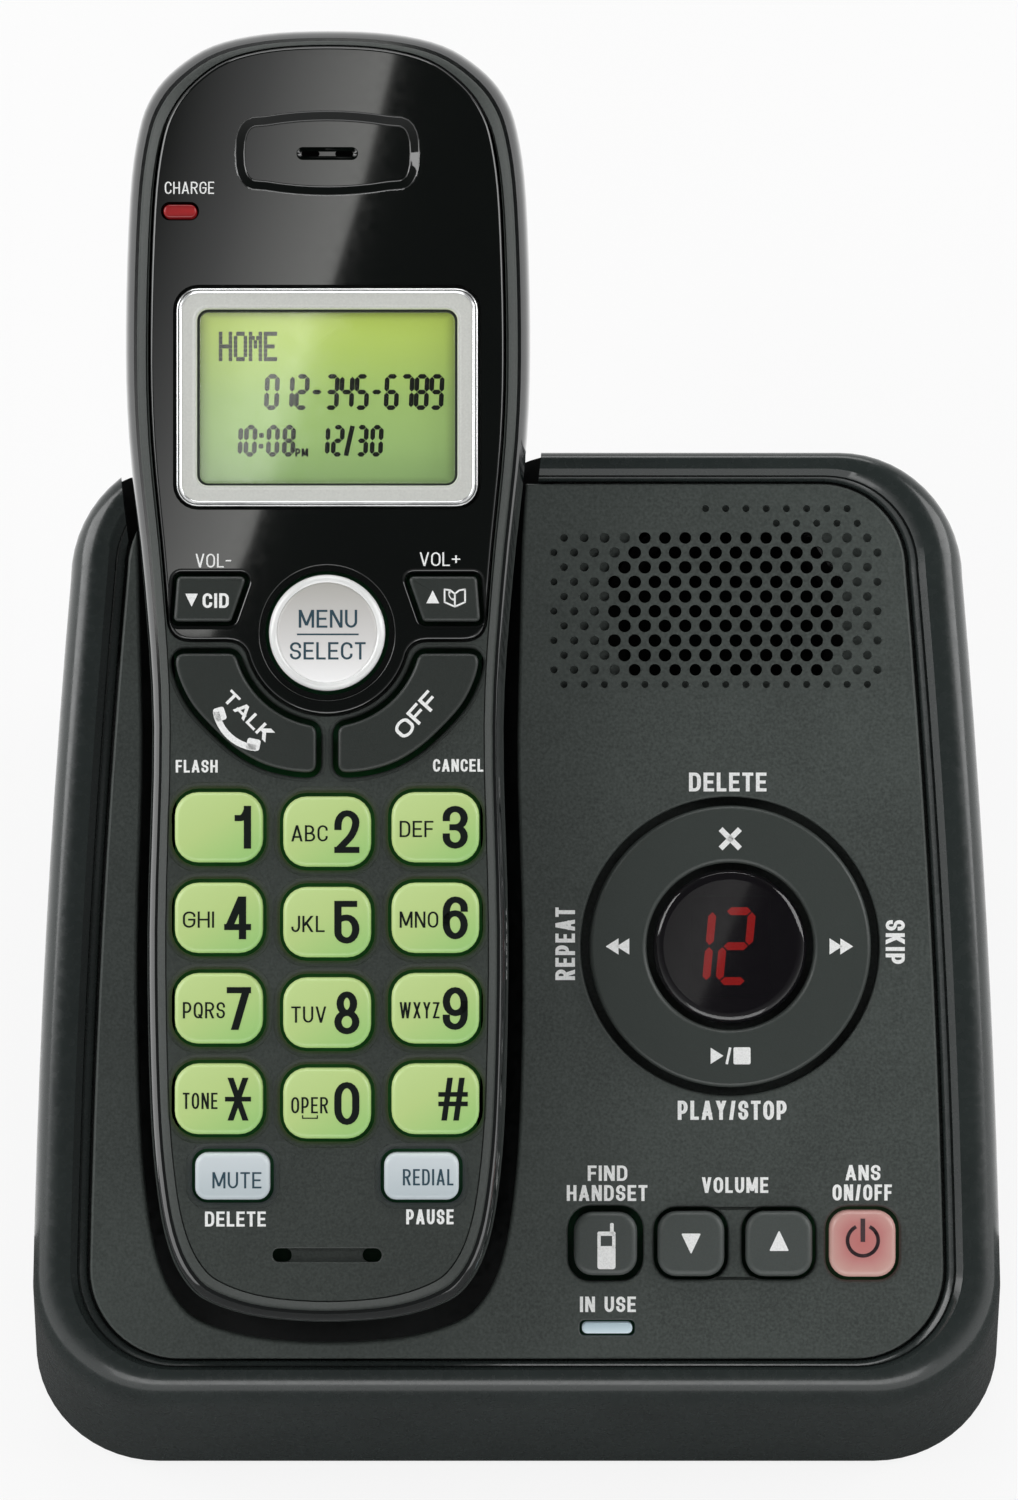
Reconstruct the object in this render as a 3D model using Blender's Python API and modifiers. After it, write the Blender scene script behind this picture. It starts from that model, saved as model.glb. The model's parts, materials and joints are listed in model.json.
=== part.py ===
"""Cordless telephone base with a digital answering machine, and its handset.

The base is a low wedge. Its matte control panel slopes up to the back, and the handset lies in a
trough along the left side and runs out over the back edge. Lengths are in metres, +Z is up, +X is
to the right and the front faces -Y. Panel sizes are given along the slope: x to the right, y up
the slope from the front edge, z out of the panel. Handset sizes are given from its lower end along
its length and as a depth below its face.
"""
import math

import bmesh
import bpy
from mathutils import Matrix, Vector

# Fit and wall values shared by all pieces
SEAT_GAP = 0.0003
OVERRUN = 0.004
FACET_ANGLE = math.radians(32)
ROUND_SIDES = 24
HIDDEN_ROUND_SIDES = 16
SMALL_ROUND_SIDES = 8
PILL_SHARE = 0.45
CORNER_STEPS = 2

# Base, measured along the slope
SLOPE = math.radians(22.5)
PANEL_LINE_HEIGHT = 0.0185
BASE_FRONT_HALF = 0.0572
BASE_BACK_HALF = 0.0528
BASE_FRONT = 0.0091
BASE_BACK = 0.1212
BASE_FRONT_RADIUS = 0.015
BASE_BACK_RADIUS = 0.0145
BASE_SIDE_BOW = 0.0007
BASE_WALL = 0.002
FRONT_WALL_DRAFT = 0.00075
REAR_WALL_LEAN = 0.004
SIDE_WALL_DRAFT = 0.0004
SKIRT_HEIGHT = 0.0015
BASE_CORNER_STEPS = 5
BASE_SIDE_STEPS = 3

# Glossy rim round the panel: how far in from the outline, and how high over the panel
RIM_CROWN = 0.0006
RIM_WIDTH = 0.0058
RIM_DROP = 0.005
PANEL_INSET = 0.0072
LEDGE_INSET = 0.0095
END_INSET_SHARE = 0.667
RADIUS_INSET_SHARE = 0.62
RIM_SHARES = ((0.05, 0.0), (0.09, 0.47), (0.24, 0.8), (0.5, 0.97), (0.85, 1.0))

# Control panel
PANEL_THICKNESS = 0.0022
PANEL_EDGE_BEVEL = 0.0003
PANEL_POST_RADIUS = 0.0022
PANEL_POSTS = ((0.0085, 0.036), (0.0435, 0.037), (0.0085, 0.081), (0.042, 0.081))
STRIP_END = 0.099

# Loudspeaker grille
GRILLE_X = 0.0245
GRILLE_Y = 0.0927
GRILLE_ROW_PITCH = 0.00172
GRILLE_PITCH = 0.002365
GRILLE_HOLE_RADIUS = 0.00072
GRILLE_SMALL_RADIUS = 0.0006
GRILLE_SIDES = 5
GRILLE_ROWS = (10, 11, 12, 11, 12, 11, 12, 11, 10, 9)

# Loudspeaker
SPEAKER_RADIUS = 0.0145
SPEAKER_RIM = 0.0022
SPEAKER_HEIGHT = 0.0105
SPEAKER_MAGNET_RADIUS = 0.0075
SPEAKER_Y = 0.0995

# Message ring, its recess and the window in its middle
RING_X = 0.025
RING_Y = 0.0622
RECESS_RADIUS = 0.0175
RING_OUTER = 0.0165
RING_INNER = 0.0098
RING_HEIGHT = 0.0009
RING_EDGE = 0.0008
TRENCH_FLOOR = 0.0036
TRENCH_WALL = 0.0009
TILT_RING_INNER = 0.0104
TILT_RING_OUTER = 0.0124
TILT_RING_THICKNESS = 0.0006
NUB_SIZE = 0.0012
WINDOW_RADIUS = 0.009
WINDOW_TOP = 0.0005
WINDOW_THICKNESS = 0.0012
WINDOW_SHARES = ((0.7, 0.2), (0.96, 0.6), (1.0, 1.0))
TOWER_RADIUS = 0.0087
DIGITS_WIDTH = 0.009
DIGITS_LENGTH = 0.0115
DIGITS_HEIGHT = 0.0031
DIGITS_BODY_RADIUS = 0.0008

# Keys of the base
BASE_KEY_Y = 0.0274
BASE_KEY_TOP = 0.0011
BASE_KEY_RADIUS = 0.0022
BASE_KEY_HOLE_RADIUS = 0.0026
BASE_KEY_FLANGE = 0.0009
BASE_KEY_FLANGE_THICKNESS = 0.0009
BASE_KEY_BEVEL = 0.0006
FIND_X = 0.0104
FIND_SIZE = 0.0074
FIND_GAP = 0.0007
VOLUME_DOWN_X = 0.0204
VOLUME_UP_X = 0.0307
VOLUME_WIDTH = 0.0078
VOLUME_LENGTH = 0.0076
VOLUME_GAP = 0.00045
ANSWER_X = 0.0405
ANSWER_SIZE = 0.0077
ANSWER_GAP = 0.0005

# In-use light and base circuit board
LIGHT_X = 0.0106
LIGHT_Y = 0.0175
LIGHT_LENGTH = 0.0059
LIGHT_WIDTH = 0.0013
BOARD_THICKNESS = 0.0014
BASE_BOARD_TOP = 0.0048
BASE_BOARD_LEFT = 0.0048
BASE_BOARD_RIGHT = 0.0458
BASE_BOARD_FRONT = 0.0162
BASE_BOARD_BACK = 0.0838

# Bottom cover, feet, sockets
COVER_THICKNESS = 0.002
COVER_SKIRT = 0.005
COVER_WALL = 0.0016
SCREW_WELL_RADIUS = 0.0034
SCREW_WELL_DEPTH = 0.0011
SCREW_HOLE_RADIUS = 0.0015
SCREW_WELL_INSET = 0.0135
FOOT_RADIUS = 0.005
FOOT_POCKET_DEPTH = 0.0008
FOOT_FRONT_INSET = 0.01925
FOOT_BACK_INSET = 0.01485
FOOT_END_INSET = 0.0105
FOOT_BEVEL = 0.0004
LINE_JACK_X = 0.014
LINE_JACK_WIDTH = 0.0132
LINE_JACK_HEIGHT = 0.0118
LINE_JACK_DEPTH = 0.0145
LINE_SOCKET_WIDTH = 0.0098
LINE_SOCKET_HEIGHT = 0.0068
LINE_SOCKET_DEPTH = 0.0115
LINE_LATCH_WIDTH = 0.0042
LINE_LATCH_HEIGHT = 0.0016
POWER_JACK_X = 0.031
POWER_JACK_WIDTH = 0.009
POWER_JACK_DEPTH = 0.012
POWER_HOLE_RADIUS = 0.00275
POWER_HOLE_DEPTH = 0.0092
POWER_PIN_RADIUS = 0.001

# Handset
HANDSET_X = -0.0219
HANDSET_Y = 0.0188
HANDSET_SUNK = 0.012
HANDSET_HALF = 0.0235
HANDSET_LENGTH = 0.1498
HANDSET_DEPTH = 0.027
HANDSET_FACE = HANDSET_DEPTH - HANDSET_SUNK
HANDSET_WALL = 0.0016
OUTLINE_SHARES = (
    (0.0, 0.0), (0.33, 0.0035), (0.56, 0.0135), (0.685, 0.027), (0.78, 0.054), (0.84, 0.0975),
    (0.878, 0.17), (0.892, 0.3), (0.868, 0.46), (0.913, 0.575), (0.985, 0.685), (1.0, 0.77),
    (0.98, 0.87), (0.936, 0.922), (0.868, 0.95), (0.75, 0.971), (0.57, 0.9885), (0.32, 0.9975),
    (0.0, 1.0),
)
BACK_SHARES = (
    (0.07, 0.047, 0.0073, 0.0073), (0.11, 0.015, 0.0024, 0.0024), (0.2, 0.0, 0.0, 0.0),
    (0.41, 0.013, 0.004, 0.0025), (0.556, 0.034, 0.012, 0.006),
    (0.72, 0.09, 0.032, 0.0145), (0.86, 0.195, 0.071, 0.032), (0.95, 0.329, 0.115, 0.063),
    (1.0, 0.53, 0.175, 0.127),
)
FRONT_INSET = 0.0015
FRONT_EDGE_DROP = 0.0004
FRONT_FACE_DEPTH = 0.0004
FRONT_FLANGE_DEPTH = 0.0015
FRONT_CEILING_DEPTH = 0.0026
SKIRT_INSET = 0.003
SKIRT_WALL = 0.0014
SKIRT_DEPTH = 0.0049

# Faceplate
PLATE_INSET = 0.0031
PLATE_TOP_INSET = 0.0023
PLATE_THICKNESS = 0.0012
PLATE_BEVEL = 0.0003
PLATE_BOTTOM = 0.079
PLATE_BOTTOM_RADIUS = 0.0026
LOBE_RADIUS = 0.0094

# Display of the handset
LCD_Y = 0.107
LCD_BEZEL_WIDTH = 0.035
LCD_BEZEL_LENGTH = 0.0254
LCD_BEZEL_RADIUS = 0.0026
LCD_BEZEL_PROUD = 0.0003
LCD_BEZEL_BEVEL = 0.0002
LCD_LENS_WIDTH = 0.0295
LCD_LENS_LENGTH = 0.0198
LCD_LENS_RADIUS = 0.001
LCD_LENS_DEPTH = 0.0002
LCD_LENS_THICKNESS = 0.001
LCD_SEAT = 0.0004
LCD_BODY_THICKNESS = 0.002

# Earpiece, microphone, charge light
EAR_Y = 0.1352
EAR_DISH_WIDTH = 0.0214
EAR_DISH_LENGTH = 0.0099
EAR_DISH_DEPTH = 0.0005
EAR_SLOT_WIDTH = 0.0028
EAR_SLOT_LENGTH = 0.0014
EAR_SLOT_SPACING = 0.0042
EARPIECE_RADIUS = 0.0088
EARPIECE_HEIGHT = 0.0048
MIC_Y = 0.00795
MIC_SLOT_WIDTH = 0.0126
MIC_SLOT_LENGTH = 0.0016
MIC_HOLE_WIDTH = 0.0022
MIC_SLOT_DEPTH = 0.0008
MICROPHONE_RADIUS = 0.0028
MICROPHONE_HEIGHT = 0.002
CHARGE_LIGHT_X = -0.017
CHARGE_LIGHT_Y = 0.1285
CHARGE_LIGHT_WIDTH = 0.0038
CHARGE_LIGHT_LENGTH = 0.00155

# Keys of the handset
KEY_PROUD = 0.0006
KEY_GAP = 0.00045
KEY_BEVEL = 0.0005
KEY_FLANGE = 0.0007
KEY_FLANGE_TOP = 0.0029
KEY_FLANGE_THICKNESS = 0.0008
DIAL_PITCH_X = 0.0125
DIAL_PITCH_Y = 0.01045
DIAL_BOTTOM_Y = 0.0255
DIAL_SIDE_RISE = 0.0005
DIAL_WIDTH = 0.0101
DIAL_LENGTH = 0.0081
DIAL_RADIUS = 0.0027
SMALL_KEY_X = 0.0109
SMALL_KEY_Y = 0.0171
SMALL_KEY_WIDTH = 0.0086
SMALL_KEY_LENGTH = 0.0054
SMALL_KEY_RADIUS = 0.0014
MENU_Y = 0.0798
MENU_RADIUS = 0.0067
MENU_RING_RADIUS = 0.0078
MENU_RING_DEPTH = 0.0005
MENU_PROUD = 0.0009
ARROW_KEY_TOP = 0.0863
ARROW_KEY_BOTTOM = 0.0811
ARROW_KEY_OUTER_TOP = 0.0173
ARROW_KEY_OUTER_BOTTOM = 0.0177
ARROW_KEY_INNER_TOP = 0.0093
ARROW_KEY_INNER_BOTTOM = 0.0111
ARROW_KEY_RADIUS = 0.0006
TALK_TOP = 0.0774
TALK_OUTER_X = 0.0175
TALK_INNER_X = 0.0014
TALK_INNER_ARC = 0.0109
TALK_OUTER_ARC = 0.0195
TALK_OUTER_ARC_Y = 0.083
TALK_RADIUS = 0.0008
ARC_STEPS = 4

# Inside of the handset
PHONE_BOARD_TOP = 0.0052
PHONE_BOARD_END = 0.1225
PHONE_BOARD_INSET = 0.0034
CELL_RADIUS = 0.00525
CELL_LENGTH = 0.0438
CELL_MIDDLE_SHARE = 0.985
PACK_Y = 0.1204
TRAY_WALL = 0.0012
TRAY_GAP = 0.0004
TRAY_FLOOR_DEPTH = 0.0081
DOOR_HALF = 0.012
DOOR_FROM = 0.1026
DOOR_TO = 0.141
DOOR_RADIUS = 0.003
DOOR_REACH = 0.004
CONTACT_X = 0.0065
CONTACT_Y = 0.042
CONTACT_WIDTH = 0.0042
CONTACT_LENGTH = 0.009
CONTACT_THICKNESS = 0.0006

# Trough for the handset
TROUGH_WALL = 0.0016
TROUGH_SEAT_GAP = 0.0006
TROUGH_MOUTH_SIDE = 0.0026
TROUGH_MOUTH_END = 0.0048
TROUGH_FLANGE = 0.0026
TROUGH_SHARES = (1.0, 0.58, 0.26, 0.1, 0.0)
SPRING_WIDTH = 0.0022
SPRING_LENGTH = 0.0062
SPRING_REACH = 0.0042


def clear_scene():
    """Empty the file."""
    for old in list(bpy.data.objects):
        bpy.data.objects.remove(old, do_unlink=True)


def collection(name):
    """A collection linked to the scene."""
    made = bpy.data.collections.new(name)
    bpy.context.scene.collection.children.link(made)
    return made


def surface(name, color, roughness, metallic=0.0):
    """A plain material."""
    made = bpy.data.materials.new(name)
    made.use_nodes = True
    shader = made.node_tree.nodes["Principled BSDF"]
    shader.inputs["Base Color"].default_value = (*color, 1.0)
    shader.inputs["Roughness"].default_value = roughness
    shader.inputs["Metallic"].default_value = metallic
    return made


def empty(name, parent=None, matrix=None):
    """A frame that pieces hang from."""
    made = bpy.data.objects.new(name, None)
    PARTS.objects.link(made)
    made.parent = parent
    if matrix is not None:
        made.matrix_local = matrix
    return made


def add_object(name, mesh, parent, look=None, sharp=True):
    """Link a mesh as a piece, with its material."""
    made = bpy.data.objects.new(name, mesh)
    PARTS.objects.link(made)
    made.parent = parent
    if look is not None:
        mesh.materials.append(surface(name, *look))
    if sharp:
        mesh.shade_smooth()
        mesh.set_sharp_from_angle(angle=FACET_ANGLE)
    return made


def add_cutter(name, mesh, parent):
    """Link a mesh as a cutter, which isn't part of the object."""
    made = bpy.data.objects.new(name, mesh)
    CUTTERS.objects.link(made)
    made.parent = parent
    made.hide_render = True
    made.display_type = 'WIRE'
    return made


def combine(piece, cutter, operation='DIFFERENCE'):
    """Cut a piece by a cutter, join it to one, or keep what both share."""
    step = piece.modifiers.new(operation.lower(), 'BOOLEAN')
    step.operation = operation
    step.solver = 'EXACT'
    step.object = cutter


def mesh_from(name, verts, faces):
    """A mesh from points and faces."""
    mesh = bpy.data.meshes.new(name)
    mesh.from_pydata([tuple(v) for v in verts], [], faces)
    mesh.update()
    return mesh


def loft_data(rings, close_low=True, close_high=True):
    """Points and faces of a loft through rings of like count, listed from the low end up."""
    count = len(rings[0])
    verts = [point for ring in rings for point in ring]
    faces = []
    for level in range(len(rings) - 1):
        low = level * count
        high = low + count
        for i in range(count):
            j = (i + 1) % count
            faces.append((low + i, low + j, high + j, high + i))
    if close_low:
        faces.append(tuple(reversed(range(count))))
    if close_high:
        top = (len(rings) - 1) * count
        faces.append(tuple(range(top, top + count)))
    return verts, faces


def loft(name, rings, close_low=True, close_high=True):
    """A loft as a mesh."""
    return mesh_from(name, *loft_data(rings, close_low, close_high))


def loft_loop(name, rings):
    """A ring-shaped solid: a loft whose last ring joins its first."""
    count = len(rings[0])
    verts, faces = loft_data(rings, False, False)
    last = (len(rings) - 1) * count
    for i in range(count):
        j = (i + 1) % count
        faces.append((last + i, last + j, j, i))
    return mesh_from(name, verts, faces)


def prisms(name, outlines, low, high):
    """Upright prisms on flat outlines, all in one mesh."""
    verts, faces = [], []
    for outline in outlines:
        rings = [[(x, y, z) for x, y in outline] for z in (low, high)]
        more_verts, more_faces = loft_data(rings)
        start = len(verts)
        verts += more_verts
        faces += [tuple(start + i for i in face) for face in more_faces]
    return mesh_from(name, verts, faces)


def lifted(outline, height):
    """A flat outline as a ring at a height."""
    return [Vector((x, y, height)) for x, y in outline]


def circle(x, y, radius, sides=ROUND_SIDES):
    """A round outline."""
    turn = 2 * math.pi / sides
    return [(x + radius * math.cos(i * turn), y + radius * math.sin(i * turn)) for i in range(sides)]


def arc(x, y, radius, start, end, steps):
    """Points along an arc, angles in degrees."""
    points = []
    for i in range(steps + 1):
        angle = math.radians(start + (end - start) * i / steps)
        points.append((x + radius * math.cos(angle), y + radius * math.sin(angle)))
    return points


def rounded(x, y, width, length, radius, steps=CORNER_STEPS):
    """A rectangle with round corners."""
    right, top = width / 2 - radius, length / 2 - radius
    corners = ((right, -top, -90), (right, top, 0), (-right, top, 90), (-right, -top, 180))
    points = []
    for dx, dy, start in corners:
        points += arc(x + dx, y + dy, radius, start, start + 90, steps)
    return points


def offset(outline, distance):
    """Move an outline outwards (anticlockwise outlines) by a distance."""
    count = len(outline)
    moved = []
    for i in range(count):
        here = Vector(outline[i])
        before = (here - Vector(outline[i - 1])).normalized()
        after = (Vector(outline[(i + 1) % count]) - here).normalized()
        normal = Vector((before.y + after.y, -before.x - after.x)).normalized()
        spread = max(0.5, normal.dot(Vector((after.y, -after.x))))
        moved.append(tuple(here + normal * (distance / spread)))
    return moved


def fillet(outline, radius, steps=CORNER_STEPS, least=math.radians(30)):
    """Round the corners of an outline that turn by more than an angle."""
    count = len(outline)
    points = []
    for i in range(count):
        here = Vector(outline[i])
        back = Vector(outline[i - 1]) - here
        ahead = Vector(outline[(i + 1) % count]) - here
        turn = math.pi - back.angle(ahead)
        if turn < least:
            points.append(tuple(here))
            continue
        reach = min(radius * math.tan(turn / 2), back.length * 0.95, ahead.length * 0.95)
        start = here + back.normalized() * reach
        end = here + ahead.normalized() * reach
        for k in range(steps + 1):
            t = k / steps
            points.append(tuple(start * (1 - t) ** 2 + here * (2 * t * (1 - t)) + end * t ** 2))
    return points


def mirrored(outline):
    """An outline mirrored left to right, still anticlockwise."""
    return [(-x, y) for x, y in reversed(outline)]


def smooth_path(points, steps):
    """A smooth curve through points (Catmull-Rom), both ends kept."""
    path = []
    for i in range(len(points) - 1):
        a = Vector(points[max(i - 1, 0)])
        b = Vector(points[i])
        c = Vector(points[i + 1])
        d = Vector(points[min(i + 2, len(points) - 1)])
        for k in range(steps):
            t = k / steps
            path.append(b * (1 - 3 * t ** 2 + 2 * t ** 3) + c * (3 * t ** 2 - 2 * t ** 3)
                        + (c - a) * ((t - 2 * t ** 2 + t ** 3) / 2) + (d - b) * ((t ** 3 - t ** 2) / 2))
    path.append(Vector(points[-1]))
    return path


def turned(name, profile, parent, look, x=0.0, y=0.0, z=0.0, sides=ROUND_SIDES):
    """A turned piece: its profile, at +X from top to bottom, spun round its own Z axis."""
    mesh = bpy.data.meshes.new(name)
    mesh.from_pydata([(r, 0, h) for r, h in profile], [(i, i + 1) for i in range(len(profile) - 1)], [])
    made = add_object(name, mesh, parent, look, sharp=False)
    made.location = (x, y, z)
    spin = made.modifiers.new("spin", 'SCREW')
    spin.steps = sides
    spin.render_steps = sides
    spin.use_merge_vertices = True
    spin.merge_threshold = 0.00001
    spin.use_smooth_shade = True
    return made


def tapered_outline(inset, front, back, front_half, back_half, front_radius, back_radius, end_share):
    """The base's outline, drawn in by an inset: round corners, tapered and slightly bowed sides."""
    end_inset = inset * end_share
    front, back = front + end_inset, back - end_inset
    front_half, back_half = front_half - inset, back_half - inset
    front_radius -= inset * RADIUS_INSET_SHARE
    back_radius -= inset * RADIUS_INSET_SHARE
    right = arc(front_half - front_radius, front + front_radius, front_radius, -90, 0, BASE_CORNER_STEPS)
    low, high = front + front_radius, back - back_radius
    for i in range(1, BASE_SIDE_STEPS):
        t = i / BASE_SIDE_STEPS
        right.append((front_half + (back_half - front_half) * t + BASE_SIDE_BOW * 4 * t * (1 - t),
                      low + (high - low) * t))
    right += arc(back_half - back_radius, high, back_radius, 0, 90, BASE_CORNER_STEPS)
    return right + mirrored(right)


def top_outline(inset, end_share=END_INSET_SHARE):
    """The base's outline in the plane of the panel."""
    return tapered_outline(inset, BASE_FRONT, BASE_BACK, BASE_FRONT_HALF, BASE_BACK_HALF,
                           BASE_FRONT_RADIUS, BASE_BACK_RADIUS, end_share)


def foot_outline(inset):
    """The base's outline where it meets the table."""
    front = BASE_FRONT * math.cos(SLOPE) - FRONT_WALL_DRAFT
    back = BASE_BACK * math.cos(SLOPE) - REAR_WALL_LEAN
    return tapered_outline(inset, front, back, BASE_FRONT_HALF + SIDE_WALL_DRAFT,
                           BASE_BACK_HALF + SIDE_WALL_DRAFT, BASE_FRONT_RADIUS, BASE_BACK_RADIUS, 1.0)


def slope_matrix():
    """From the panel's frame to the table's frame."""
    return Matrix.Translation((0, 0, PANEL_LINE_HEIGHT)) @ Matrix.Rotation(SLOPE, 4, 'X')


def top_ring(inset, height):
    """A ring of the housing parallel to the panel, in the table's frame."""
    place = slope_matrix()
    return [place @ point for point in lifted(top_outline(inset), height)]


def wall_top_ring(inset, height, end_share=END_INSET_SHARE):
    """A ring where the walls end under the rim, slid forward so that the walls stand upright."""
    place = slope_matrix() @ Matrix.Translation((0, height * math.tan(SLOPE), 0))
    return [place @ point for point in lifted(top_outline(inset, end_share), height)]


def wall_ring(inset, height):
    """A level ring on the inner side of the walls."""
    low = lifted(foot_outline(inset), SKIRT_HEIGHT)
    high = wall_top_ring(inset, -PANEL_THICKNESS - SEAT_GAP - BASE_WALL, 1.0)
    return [a.lerp(b, (height - a.z) / (b.z - a.z)) for a, b in zip(low, high)]


def housing_rings(inset=0.0):
    """The housing's outer surface from its foot up to the crown of the rim."""
    rings = [lifted(foot_outline(inset), SKIRT_HEIGHT)]
    for across, up in RIM_SHARES:
        height = (RIM_CROWN + RIM_DROP) * up - RIM_DROP - inset
        rings.append(wall_top_ring(inset + across * RIM_WIDTH, height))
    return rings


def handset_outline(side, low_end, high_end):
    """The handset's outline drawn in by an amount at its sides and at each end."""
    right = smooth_path([(x * HANDSET_HALF, y * HANDSET_LENGTH) for x, y in OUTLINE_SHARES], 1)
    narrow = 1 - side / HANDSET_HALF
    shorter = 1 - (low_end + high_end) / HANDSET_LENGTH
    right = [(p.x * narrow, low_end + p.y * shorter) for p in right]
    return right + [(-x, y) for x, y in reversed(right[1:-1])]


def handset_ring(side, low_end, high_end, depth):
    """A ring of the handset at a depth below its face."""
    return lifted(handset_outline(side, low_end, high_end), -depth)


def back_rings(rows=BACK_SHARES, inset=0.0):
    """The rear shell's surface from the flat of its back up to its rim."""
    rings = []
    for depth, side, low, high in reversed(rows):
        rings.append(handset_ring(side * HANDSET_HALF + inset, low * HANDSET_LENGTH + inset,
                                  high * HANDSET_LENGTH + inset, depth * HANDSET_DEPTH))
    return rings


def trough_rings(extra=0.0):
    """The trough's inner surface, from its floor up to its mouth, moved outwards by an extra."""
    rows = BACK_SHARES[-len(TROUGH_SHARES):]
    rings = []
    for (depth, side, low, high), open_share in zip(rows, TROUGH_SHARES):
        side_gap = TROUGH_SEAT_GAP + (TROUGH_MOUTH_SIDE - TROUGH_SEAT_GAP) * open_share + extra
        end_gap = TROUGH_SEAT_GAP + (TROUGH_MOUTH_END - TROUGH_SEAT_GAP) * open_share + extra
        rings.append(handset_ring(side * HANDSET_HALF - side_gap, low * HANDSET_LENGTH - end_gap,
                                  high * HANDSET_LENGTH - side_gap,
                                  depth * HANDSET_DEPTH + extra * (1 - open_share)))
    depth, side, low, high = rows[-1]
    floor = handset_ring(side * HANDSET_HALF, low * HANDSET_LENGTH, high * HANDSET_LENGTH,
                         depth * HANDSET_DEPTH + TROUGH_SEAT_GAP + extra)
    rings.append(floor)
    return list(reversed(rings))


def mouth_outline(extra=0.0):
    """The outline of the trough's mouth, in the handset's frame."""
    return [(p.x, p.y) for p in trough_rings(extra)[-1]]


def at_height(ring, height):
    """A ring of the handset's frame moved to a height over the panel."""
    return [Vector((p.x, p.y, height - HANDSET_FACE)) for p in ring]


def plate_outline(inset=0.0):
    """The faceplate's outline, with the round lobe under the menu key."""
    whole = handset_outline(PLATE_INSET + inset, PLATE_INSET + inset, PLATE_TOP_INSET + inset)
    bottom = PLATE_BOTTOM + inset
    half = len(whole) // 2
    right = [p for p in whole[:half + 1] if p[1] > bottom + PLATE_BOTTOM_RADIUS / 2]
    below = [p for p in whole[:half + 1] if p[1] <= bottom][-1]
    share = (bottom - below[1]) / (right[0][1] - below[1])
    corner = (below[0] + (right[0][0] - below[0]) * share, bottom)
    upper = [corner] + right
    left = [(-x, y) for x, y in reversed(upper) if x > 0]
    lobe = LOBE_RADIUS - inset
    lean = math.degrees(math.asin((MENU_Y - bottom) / lobe))
    under = arc(0, MENU_Y, lobe, 180 + lean, 360 - lean, 2 * ARC_STEPS)
    return fillet(upper + left + under, PLATE_BOTTOM_RADIUS)


def arrow_key_outline():
    """The slanted key left of the menu key."""
    corners = [(-ARROW_KEY_OUTER_BOTTOM, ARROW_KEY_BOTTOM), (-ARROW_KEY_INNER_BOTTOM, ARROW_KEY_BOTTOM),
               (-ARROW_KEY_INNER_TOP, ARROW_KEY_TOP), (-ARROW_KEY_OUTER_TOP, ARROW_KEY_TOP)]
    return fillet(corners, ARROW_KEY_RADIUS)


def talk_key_outline():
    """The talk key: an arm that hugs the menu key's lobe, with a convex outer edge."""
    across = math.sqrt(TALK_INNER_ARC ** 2 - (MENU_Y - TALK_TOP) ** 2)
    start = math.degrees(math.acos(-across / TALK_INNER_ARC))
    end = math.degrees(math.acos(-TALK_INNER_X / TALK_INNER_ARC))
    inner = arc(0, MENU_Y, TALK_INNER_ARC, -end, -start, ARC_STEPS)
    low = math.degrees(math.acos(-TALK_INNER_X / TALK_OUTER_ARC))
    side = math.degrees(math.acos(-TALK_OUTER_X / TALK_OUTER_ARC))
    outer = arc(0, TALK_OUTER_ARC_Y, TALK_OUTER_ARC, -side, -low, ARC_STEPS)
    return fillet(outer + inner + [(-TALK_OUTER_X, TALK_TOP)], TALK_RADIUS)


def dial_place(column, row):
    """The middle of a dial key: columns -1, 0 and 1, rows 0 to 3 from the top."""
    rise = DIAL_SIDE_RISE * abs(column)
    return column * DIAL_PITCH_X, DIAL_BOTTOM_Y + (3 - row) * DIAL_PITCH_Y + rise


def handset_keys():
    """Each key of the handset: name, outline, how far it stands proud, and its colour."""
    green, pearl, dark = (0.55, 0.72, 0.27), (0.74, 0.78, 0.8), (0.035, 0.04, 0.038)
    names = ("key_1", "key_2", "key_3", "key_4", "key_5", "key_6", "key_7", "key_8", "key_9",
             "key_star", "key_0", "key_hash")
    keys = []
    for i, name in enumerate(names):
        x, y = dial_place(i % 3 - 1, i // 3)
        keys.append((name, rounded(x, y, DIAL_WIDTH, DIAL_LENGTH, DIAL_RADIUS), KEY_PROUD, green))
    small = rounded(-SMALL_KEY_X, SMALL_KEY_Y, SMALL_KEY_WIDTH, SMALL_KEY_LENGTH, SMALL_KEY_RADIUS)
    keys.append(("mute_key", small, KEY_PROUD, pearl))
    keys.append(("redial_key", mirrored(small), KEY_PROUD, pearl))
    keys.append(("menu_key", circle(0, MENU_Y, MENU_RADIUS, HIDDEN_ROUND_SIDES), MENU_PROUD, pearl))
    keys.append(("call_list_key", arrow_key_outline(), KEY_PROUD, dark))
    keys.append(("phone_book_key", mirrored(arrow_key_outline()), KEY_PROUD, dark))
    keys.append(("talk_key", talk_key_outline(), KEY_PROUD, dark))
    keys.append(("off_key", mirrored(talk_key_outline()), KEY_PROUD, dark))
    return keys


def key_mesh(name, outline, top, edge, flange, flange_top, flange_thickness):
    """A key cap with a flange under its opening; heights are counted out of the face."""
    wide = offset(outline, flange)
    rings = [lifted(wide, flange_top - flange_thickness), lifted(wide, flange_top),
             lifted(outline, flange_top), lifted(outline, top - edge), lifted(offset(outline, -edge), top)]
    return loft(name, rings)


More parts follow.
